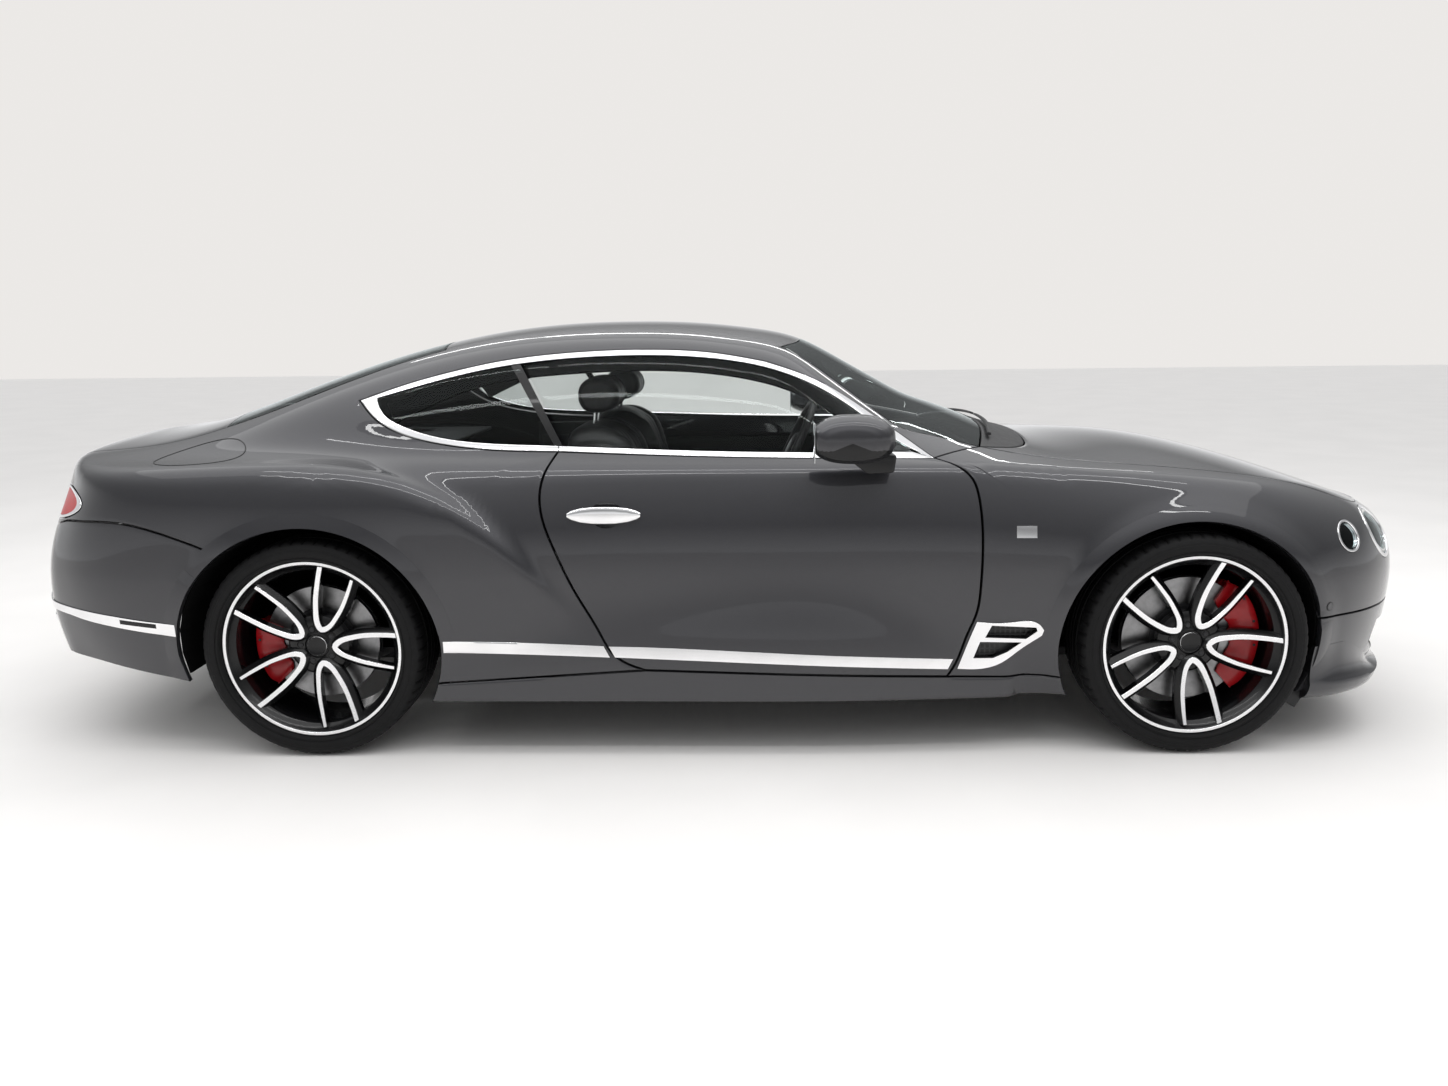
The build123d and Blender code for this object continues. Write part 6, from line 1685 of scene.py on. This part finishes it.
def pad_start(name, outline, half, bolster, sitter):
    """Pad before it is filled: sides pulled in at the ends, bolsters raised towards the sitter."""
    loop = fine_loop(outline, 56)
    middle = loop.mean(0)
    way = np.array(sitter, float) / np.linalg.norm(sitter)
    rings = []
    for t in np.linspace(-1, 1, 29):
        scale = 0.80 + 0.20 * (1 - abs(t) ** 5) ** 0.5
        lift = bolster * math.exp(-((abs(t) - 0.78) / 0.15) ** 2)
        dip = -0.35 * bolster * math.exp(-(t / 0.5) ** 2)
        facing = np.clip(((loop - middle) @ way) / np.abs((loop - middle) @ way).max(), 0, 1)[:, None]
        ring = middle + (loop - middle) * scale + way * (lift + dip) * facing ** 0.7
        rings.append(np.stack([ring[:, 0], np.full(len(ring), t * half), ring[:, 1]], 1))
    return closed_rings(name, rings, [LEATHER])


def remeshed(obj, voxel):
    step = obj.modifiers.new("voxels", "REMESH")
    step.mode = "VOXEL"
    step.voxel_size = voxel
    return baked(obj)


def fill_pads(pads, cap):
    """Blow the pads up a little as cloth, all in one simulation, and keep the result."""
    starts = []
    for pad in pads:
        step = pad.modifiers.new("filling", "CLOTH")
        step.settings.use_pressure = True
        step.settings.uniform_pressure_force = 4.0
        step.settings.effector_weights.gravity = 0.0
        step.settings.quality = 4
        step.point_cache.frame_end = 20
        starts.append(np.array([v.co for v in pad.data.vertices]))
    for frame_number in range(1, 21):
        bpy.context.scene.frame_set(frame_number)
    graph = bpy.context.evaluated_depsgraph_get()
    for pad, start in zip(pads, starts):
        shown = pad.evaluated_get(graph).data
        end = np.array([v.co for v in shown.vertices])
        move = end - start
        far = np.linalg.norm(move, axis=1)[:, None]
        end = start + move * np.minimum(1, cap / np.maximum(far, 1e-9))
        pad.modifiers.clear()
        pad.data.vertices.foreach_set("co", end.ravel())
        pad.data.update()
    bpy.context.scene.frame_set(1)


def sewn(obj, seams):
    """One subdivision, then seams and channels pressed in along the surface normals."""
    step = obj.modifiers.new("finer", "SUBSURF")
    step.levels = step.render_levels = 1
    baked(obj)
    count = len(obj.data.vertices)
    co = np.empty(count * 3)
    obj.data.vertices.foreach_get("co", co)
    co = co.reshape(-1, 3)
    normal = np.array([v.normal for v in obj.data.vertices])
    depth = np.zeros(count)
    for seam in seams:
        depth = np.maximum(depth, seam(co, normal))
    co = co - normal * depth[:, None]
    obj.data.vertices.foreach_set("co", co.ravel())
    obj.data.polygons.foreach_set("use_smooth", np.ones(len(obj.data.polygons), bool))
    obj.data.update()
    return obj


def groove(distance, wide, deep):
    return deep * np.exp(-(distance / wide) ** 2)


def seat_seams(inner, pitch, sitter):
    """Seams along both bolsters and channels along the middle panel on the sitter's side."""
    way = np.array([sitter[0], 0, sitter[1]], float)
    way /= np.linalg.norm(way)

    def side_seam(co, normal):
        facing = np.clip(normal @ way * 2, 0, 1)
        return groove(np.abs(np.abs(co[:, 1]) - inner), 0.0045, 0.0050) * facing

    def channels(co, normal):
        facing = np.clip(normal @ way * 2 - 0.5, 0, 1) * (np.abs(co[:, 1]) < inner)
        along = co[:, 1] / pitch
        return groove(np.abs(along - np.round(along)) * pitch, 0.0050, 0.0045) * facing

    def welt(co, normal):
        half = np.abs(co[:, 1]).max()
        return groove(np.abs(np.abs(co[:, 1]) - half * 0.93), 0.0035, 0.0030)
    return [side_seam, channels, welt]


def copied(obj, name, y):
    twin = bpy.data.objects.new(name, obj.data.copy())
    bpy.context.scene.collection.objects.link(twin)
    twin.data.transform(Matrix.Translation((0, y, 0)))
    return twin


def build_seats():
    # Name, node, side outline, half width, bolster height, way to the sitter in x and z, place of the
    # seams along the bolsters, spacing of the channels between them, distance from the centre line
    kinds = [
        ("squab", "front_seats", SQUAB, 0.238, 0.026, (0, 1), 0.150, 0.050, 0.370),
        ("backrest", "front_seats", BACKREST, 0.228, 0.034, (0.92, 0.38), 0.145, 0.048, 0.370),
        ("headrest", "front_seats", HEADREST, 0.130, 0.006, (1, 0.1), 0.085, 9.0, 0.370),
        ("rear_cushion", "rear_seats", REAR_CUSHION, 0.246, 0.012, (0, 1), 0.165, 0.055, 0.330),
        ("rear_upright", "rear_seats", REAR_UPRIGHT, 0.246, 0.016, (1, 0.1), 0.165, 0.055, 0.330),
    ]
    pads = [remeshed(pad_start(row[0], *row[2:6]), 0.009) for row in kinds]
    fill_pads(pads, 0.009)
    for pad, (name, node, _, _, _, sitter, inner, pitch, place) in zip(pads, kinds):
        pad.data.materials.clear()
        pad.data.materials.append(LEATHER)
        sewn(pad, seat_seams(inner, pitch, sitter))
        fewer = pad.modifiers.new("fewer", "DECIMATE")
        fewer.ratio = 0.25
        baked(pad)
        for sign, side in ((-1, "right"), (1, "left")):
            one = copied(pad, f"{name}_{side}", sign * place)
            stands_for(one, node)
        bpy.data.objects.remove(pad)
    for sign, side in ((-1, "right"), (1, "left")):
        y = sign * 0.370
        shell = bar("shell", [(-0.330, 0.470), (-0.452, 0.704), (-0.544, 0.950), (-0.540, 0.930),
                              (-0.448, 0.690), (-0.322, 0.480)], y, 0.380, 0.004, [BLACK_GLOSS], 2)
        posts = [tube("post", [(-0.452, y + off, 1.040), (-0.446, y + off, 1.110)], 0.006, [CHROME], 16)
                 for off in (-0.055, 0.055)]
        stands_for(joined(f"seat_frame_{side}", [shell] + posts), "front_seats")


def steering_wheel():
    centre = Vector((0.258, -0.370, 0.942))
    axis = Vector((-0.9063, 0, 0.4226)).normalized()
    across_car = Vector((0, 1, 0))
    up = axis.cross(across_car).normalized()
    if up.z < 0:
        up = -up
    rim = [(0.178 + 0.0148 * math.cos(a), 0.0165 * math.sin(a) * 0.88) for a in
           (2 * math.pi * k / 20 for k in range(20))]
    pieces = [spun("wheel_rim", rim, centre, axis, [LEATHER], count=120)]
    hub = [(0.0, 0.0165), (0.040, 0.0160), (0.056, 0.0120), (0.0615, 0.0050), (0.0600, -0.0100),
           (0.050, -0.0168), (0.0, -0.0168)]
    pieces.append(spun("wheel_pad", hub, centre, axis, [TRIM], count=72))
    pieces.append(spun("wheel_ring", [(0.0300, 0.0163), (0.0320, 0.0169), (0.0340, 0.0163), (0.0340, 0.0150),
                                      (0.0300, 0.0150)], centre, axis, [CHROME], count=72))
    for a0 in (0, 180, 270):
        a = math.radians(a0)
        way = across_car * math.cos(a) + up * math.sin(a)
        side = axis.cross(way)
        for wide, m in ((0.0165, TRIM), (0.0055, CHROME)):
            loop = [centre + way * r + side * w for r, w in
                    ((0.050, -wide * 1.15), (0.110, -wide * 0.8), (0.168, -wide), (0.168, wide),
                     (0.110, wide * 0.8), (0.050, wide * 1.15))]
            high = 0.0075 if m is TRIM else 0.0088
            spoke = pushed("wheel_spoke", [tuple(p) for p in loop], tuple(axis),
                           -0.006 if m is TRIM else 0.004, high, [m])
            pieces.append(soften(spoke, 0.0018, 2))
    stands_for(joined("steering_wheel_look", pieces), "steering_wheel")


def build_dashboard():
    top = bar("dash_top", [(0.566, 0.905), (0.575, 0.930), (0.640, 0.944), (0.800, 0.949), (0.926, 0.905),
                           (0.920, 0.860), (0.570, 0.868)], 0, 1.396, 0.010, [LEATHER], 4)
    body = bar("dash_body", [(0.566, 0.700), (0.556, 0.790), (0.562, 0.862), (0.905, 0.862), (0.900, 0.524),
                             (0.660, 0.524), (0.600, 0.600)], 0, 1.390, 0.012, [TRIM], 4)
    veneer = bar("dash_veneer", [(0.5535, 0.770), (0.5480, 0.800), (0.5500, 0.842), (0.5640, 0.852),
                                 (0.5700, 0.764)],
                 0, 1.372, 0.0015, [WOOD], 2)
    strip_low = bar("dash_strip", [(0.5500, 0.7600), (0.5500, 0.7645), (0.5640, 0.7660), (0.5640, 0.7590)], 0,
                    1.374, 0.0008, [CHROME], 2)
    screen = rounded_block("dash_screen", (0.5425, -0.150, 0.772), (0.556, 0.150, 0.880), 0.004,
                           [BLACK_GLOSS])
    screen_rim = rounded_block("screen_rim", (0.5465, -0.155, 0.767), (0.560, 0.155, 0.885), 0.004, [CHROME])
    hood = bar("binnacle", [(0.5420, 0.9150), (0.5800, 0.9420), (0.7200, 0.9480), (0.7200, 0.9000),
                            (0.5600, 0.9000)],
               -0.370, 0.330, 0.008, [LEATHER], 3)
    dials = rounded_block("dials", (0.5455, -0.500, 0.795), (0.570, -0.240, 0.898), 0.010, [BLACK_GLOSS])
    pieces = [top, body, veneer, strip_low, screen_rim, screen, hood, dials]
    for y in (-0.630, -0.205, 0.205, 0.500, 0.630):
        vent = [(0.0, 0.004), (0.024, 0.005), (0.0285, 0.0095), (0.0325, 0.0095), (0.0345, 0.004),
                (0.0345, 0.0), (0.0, 0.0)]
        pieces.append(spun("vent", vent, (0.5510, y, 0.812), (-1, 0, 0), [CHROME, PLASTIC],
                           lambda k, i: int(i in (0, 1)), 48))
        for dz in (-0.012, 0.0, 0.012):
            wide = math.sqrt(0.0225 ** 2 - dz * dz)
            pieces.append(rounded_block("vane", (0.5425, y - wide, 0.811 + dz),
                                        (0.5475, y + wide, 0.813 + dz), 0.0006, [PLASTIC], 1))
    for y in (-0.085, -0.051, -0.017, 0.017, 0.051, 0.085):
        pieces.append(rounded_block("key", (0.5455, y - 0.014, 0.716), (0.566, y + 0.014, 0.734), 0.002,
                                    [BLACK_GLOSS], 2))
    stands_for(joined("dash_look", pieces), "dashboard")


def build_console():
    base = rounded_block("console_body", (-0.418, -0.103, 0.218), (0.528, 0.103, 0.520), 0.022, [TRIM])
    top = rounded_block("console_top", (-0.100, -0.094, 0.512), (0.520, 0.094, 0.530), 0.006, [WOOD])
    rest = rounded_block("armrest", (-0.414, -0.096, 0.500), (-0.110, 0.096, 0.556), 0.020, [LEATHER])
    pieces = [base, top, rest]
    for x in (0.060, 0.150):
        cup = [(0.0, 0.001), (0.034, 0.001), (0.037, 0.005), (0.041, 0.005), (0.043, 0.001), (0.043, -0.002),
               (0.0, -0.002)]
        pieces.append(spun("cup", cup, (x, 0.030, 0.5295), (0, 0, 1), [CHROME, LINER],
                           lambda k, i: int(i == 0), 48))
    pieces.append(soften(tube("lever", [(0.300, -0.020, 0.524), (0.298, -0.020, 0.536),
                                        (0.294, -0.020, 0.550)], 0.013,
                              [BLACK_GLOSS], 24), 0.005, 3))
    for k in range(3):
        pieces.append(rounded_block("button", (0.235 + 0.030 * k, 0.032, 0.528), (0.257 + 0.030 * k, 0.064,
                                                                                  0.534),
                                    0.002, [BLACK_GLOSS], 2))
    stands_for(joined("console_look", pieces), "centre_console")


def build_cabin_rest():
    shelf = rounded_block("shelf", (-1.640, -0.558, 0.940), (-1.050, 0.558, 0.954), 0.005, [HEADLINER])
    pieces = [shelf]
    for y in (-0.360, 0.360):
        pieces.append(spun("speaker", [(0.0, 0.0), (0.075, 0.0), (0.082, 0.0018), (0.088, 0.0),
                                       (0.088, -0.002), (0.0, -0.002)], (-1.330, y, 0.9540), (0, 0, 1),
                                       [PLASTIC, MESH],
                           lambda k, i: int(i == 0), 64))
    stands_for(joined("shelf_look", pieces), "parcel_shelf")
    for sign, side in ((-1, "right"), (1, "left")):
        wall = rounded_block("pillar", (-0.870, min(0.704 * sign, 0.724 * sign), 0.252),
                             (-0.560, max(0.704 * sign, 0.724 * sign), 0.958), 0.008, [TRIM])
        pad = rounded_block("pillar_pad", (-0.850, min(0.700 * sign, 0.712 * sign), 0.470),
                            (-0.580, max(0.700 * sign, 0.712 * sign), 0.900), 0.005, [LEATHER])
        stands_for(joined(f"pillar_{side}", [wall, pad]), "cabin_trims")


# ---------------------------------------------------------------- underneath and under the bonnet
def build_underside():
    outline = [(-1.950, -0.440), (-1.720, -0.440), (-0.880, -0.440), (-0.860, -0.800), (1.010, -0.800),
               (1.060, -0.440), (1.980, -0.440), (2.150, -0.600), (2.300, -0.300)]
    outline += [(x, -y) for x, y in reversed(outline)]
    pan = soften(pushed("pan", [(x, y, 0.0) for x, y in outline], (0, 0, 1), 0.1800, 0.2120, [UNDERSIDE]),
                 0.004, 2)
    pieces = [pan]
    for y in (-0.62, -0.50, -0.30, -0.16, 0.16, 0.30, 0.50, 0.62):
        near, far = (-0.80, 0.95) if abs(y) > 0.45 else (-1.90, 1.90)
        pieces.append(rounded_block("rib", (near, y - 0.018, 0.1722), (far, y + 0.018, 0.1840), 0.005,
                                    [UNDERSIDE], 2))
    for x in (-1.6, -1.0, -0.4, 0.2, 0.8, 1.4):
        pieces.append(rounded_block("cross_rib", (x - 0.03, -0.420, 0.1735), (x + 0.03, 0.420, 0.1840), 0.004,
                                    [UNDERSIDE], 2))
        for y in (-0.40, -0.23, 0.0, 0.23, 0.40):
            pieces.append(spun("fixing", [(0, .0012), (.009, .0012), (.011, 0), (.011, -.004), (0, -.004)],
                               (x, y, 0.1738), (0, 0, -1), [ALLOY], count=16))
    stands_for(joined("pan_look", pieces), "floor_pan")
    pieces = [rounded_block("wall", (0.960, -0.788, 0.216), (0.980, 0.788, 0.923), 0.008, [UNDERSIDE])]
    for z in (0.33, 0.45, 0.57, 0.69, 0.81):
        pieces.append(rounded_block("press", (0.9555, -0.740, z), (0.9845, 0.740, z + 0.040), 0.006,
                                    [UNDERSIDE], 3))
    stands_for(joined("bulkhead_look", pieces), "bulkhead")
    for name, x, _, _, s in WHEELS:
        arm = [(x - 0.150, 0.452), (x - 0.105, 0.452), (x - 0.020, 0.640), (x + 0.020, 0.640),
               (x + 0.105, 0.452), (x + 0.150, 0.452), (x + 0.042, 0.712), (x - 0.042, 0.712)]
        arm_obj = soften(pushed("arm", [(u, v * s, 0.0) for u, v in arm], (0, 0, 1), 0.2240, 0.2460, [ALLOY]),
                         0.004, 3)
        cups = [arm_obj]
        for u in (-0.127, 0.127):
            cups.append(tube("bush", [(x + u - 0.020, 0.468 * s, 0.235), (x + u + 0.020, 0.468 * s, 0.235)],
                             0.0125, [PLASTIC], 24))
        cups.append(spun("joint", [(0, .0125), (.016, .0120), (.022, .006), (.022, -.006), (.016, -.0120),
                                   (0, -.0125)],
                         (x, 0.690 * s, 0.235), (0, 0, 1), [DARK_STEEL], count=32))
        stands_for(joined(f"arm_{name}", cups), "suspension_arms")


def build_engine():
    base = rounded_block("block", (1.064, -0.300, 0.262), (1.776, 0.300, 0.640), 0.030, [ALLOY])
    cover = rounded_block("cover", (1.110, -0.200, 0.620), (1.740, 0.200, 0.788), 0.040, [PLASTIC], 5)
    pieces = [base, cover]
    for sign in (-1, 1):
        pieces.append(rounded_block("head", (1.090, min(0.205 * sign, 0.357 * sign), 0.480),
                                    (1.750, max(0.205 * sign, 0.357 * sign), 0.700), 0.030, [ALLOY], 4))
        for k in range(6):
            x = 1.150 + 0.108 * k
            path = [(x, 0.150 * sign, 0.745), (x, 0.220 * sign, 0.762), (x, 0.285 * sign, 0.735),
                    (x, 0.310 * sign, 0.680)]
            pieces.append(tube("runner", path, 0.024, [ALLOY], 20))
            pieces.append(spun("coil", [(0, .022), (.014, .022), (.018, .018), (.018, 0), (0, 0)],
                               (x + 0.050, 0.300 * sign, 0.698), (0, 0, 1), [PLASTIC], count=20))
    for k in range(7):
        pieces.append(rounded_block("cover_rib", (1.150 + 0.080 * k, -0.150, 0.7800),
                                    (1.180 + 0.080 * k, 0.150, 0.7895), 0.004, [PLASTIC], 2))
    pieces.append(spun("oil_cap", [(0, .0160), (.022, .0150), (.027, .010), (.027, 0), (0, 0)],
                       (1.690, 0.120, 0.772), (0, 0, 1), [BLACK_GLOSS], count=24))
    stands_for(joined("engine_look", pieces), "engine")


build_seats()
steering_wheel()
build_dashboard()
build_console()
build_cabin_rest()
build_underside()
build_engine()


# ---------------------------------------------------------------- stage, light and camera
def soft_light(name, place, size, power, turn):
    light = bpy.data.lights.new(name, "AREA")
    light.shape = "RECTANGLE"
    light.size, light.size_y = size
    light.energy = power
    lamp = bpy.data.objects.new(name, light)
    lamp.location = place
    lamp.rotation_euler = [math.radians(a) for a in turn]
    bpy.context.scene.collection.objects.link(lamp)


def build_stage():
    floor = mesh_object("stage_floor", [(-40, -30, 0), (40, -30, 0), (40, 30, 0), (-40, 30, 0)],
                        [(0, 1, 2, 3)], [surface("pale_floor", (0.92, 0.905, 0.89), 0.55, 0.0, 0.015, 1.5,
                                 Specular_IOR_Level=0.2)], smooth=False)
    world = bpy.data.worlds.new("studio")
    bpy.context.scene.world = world
    world.use_nodes = True
    tree = world.node_tree
    where = tree.nodes.new("ShaderNodeTexCoord")
    split_way = tree.nodes.new("ShaderNodeSeparateXYZ")
    tree.links.new(where.outputs["Generated"], split_way.inputs["Vector"])
    height = tree.nodes.new("ShaderNodeMapRange")
    height.inputs["From Min"].default_value = -1.0
    tree.links.new(split_way.outputs["Z"], height.inputs["Value"])
    shade = tree.nodes.new("ShaderNodeValToRGB")
    stops = shade.color_ramp.elements
    for at, grey in ((0.0, 0.50), (0.50, 0.24), (0.60, 0.28), (0.70, 0.55), (0.82, 1.0), (1.0, 1.0)):
        stop = stops.new(at) if 0 < at < 1 else stops[int(at)]
        stop.color = (grey * 0.985, grey * 0.99, grey, 1)
    tree.links.new(height.outputs["Result"], shade.inputs["Fac"])
    sky = tree.nodes["Background"]
    tree.links.new(shade.outputs["Color"], sky.inputs["Color"])
    sky.inputs["Strength"].default_value = 0.95
    backdrop = tree.nodes.new("ShaderNodeBackground")
    backdrop.inputs["Color"].default_value = (0.835, 0.815, 0.795, 1)
    backdrop.inputs["Strength"].default_value = 1.0
    rays = tree.nodes.new("ShaderNodeLightPath")
    pick = tree.nodes.new("ShaderNodeMixShader")
    tree.links.new(rays.outputs["Is Camera Ray"], pick.inputs["Fac"])
    tree.links.new(sky.outputs["Background"], pick.inputs[1])
    tree.links.new(backdrop.outputs["Background"], pick.inputs[2])
    tree.links.new(pick.outputs["Shader"], tree.nodes["World Output"].inputs["Surface"])
    soft_light("ceiling_soft", (0.0, -0.4, 5.0), (11.0, 6.0), 150.0, (0, 0, 0))
    for k, (y, z, turn) in enumerate(((-2.9, 3.9, 34), (-1.6, 4.5, 18), (3.2, 3.6, -40))):
        soft_light(f"tube_{k}", (0.2, y, z), (6.5, 0.09), 24.0, (turn, 0, 0))


# Camera: sensor width in mm, picture width and focal length in pixels, place, turns from level in radians
SENSOR_WIDTH = 36.0
PICTURE_WIDTH = 1448.0
FOCAL_LENGTH = 1110.1
CAMERA_PLACE = (0.105, -4.4024, 1.3821)
CAMERA_YAW, CAMERA_DOWN, CAMERA_ROLL = 0.0242, 0.1929, -0.0112


def build_camera():
    data = bpy.data.cameras.new("camera")
    data.sensor_width = SENSOR_WIDTH
    data.lens = SENSOR_WIDTH * FOCAL_LENGTH / PICTURE_WIDTH
    camera = bpy.data.objects.new("camera", data)
    bpy.context.scene.collection.objects.link(camera)
    turn = (Matrix.Rotation(CAMERA_YAW, 4, "Z") @ Matrix.Rotation(math.pi / 2 - CAMERA_DOWN, 4, "X")
            @ Matrix.Rotation(CAMERA_ROLL, 4, "Z"))
    camera.matrix_world = Matrix.Translation(CAMERA_PLACE) @ turn
    bpy.context.scene.camera = camera
    bpy.context.scene.view_settings.view_transform = "Standard"


build_stage()
build_camera()
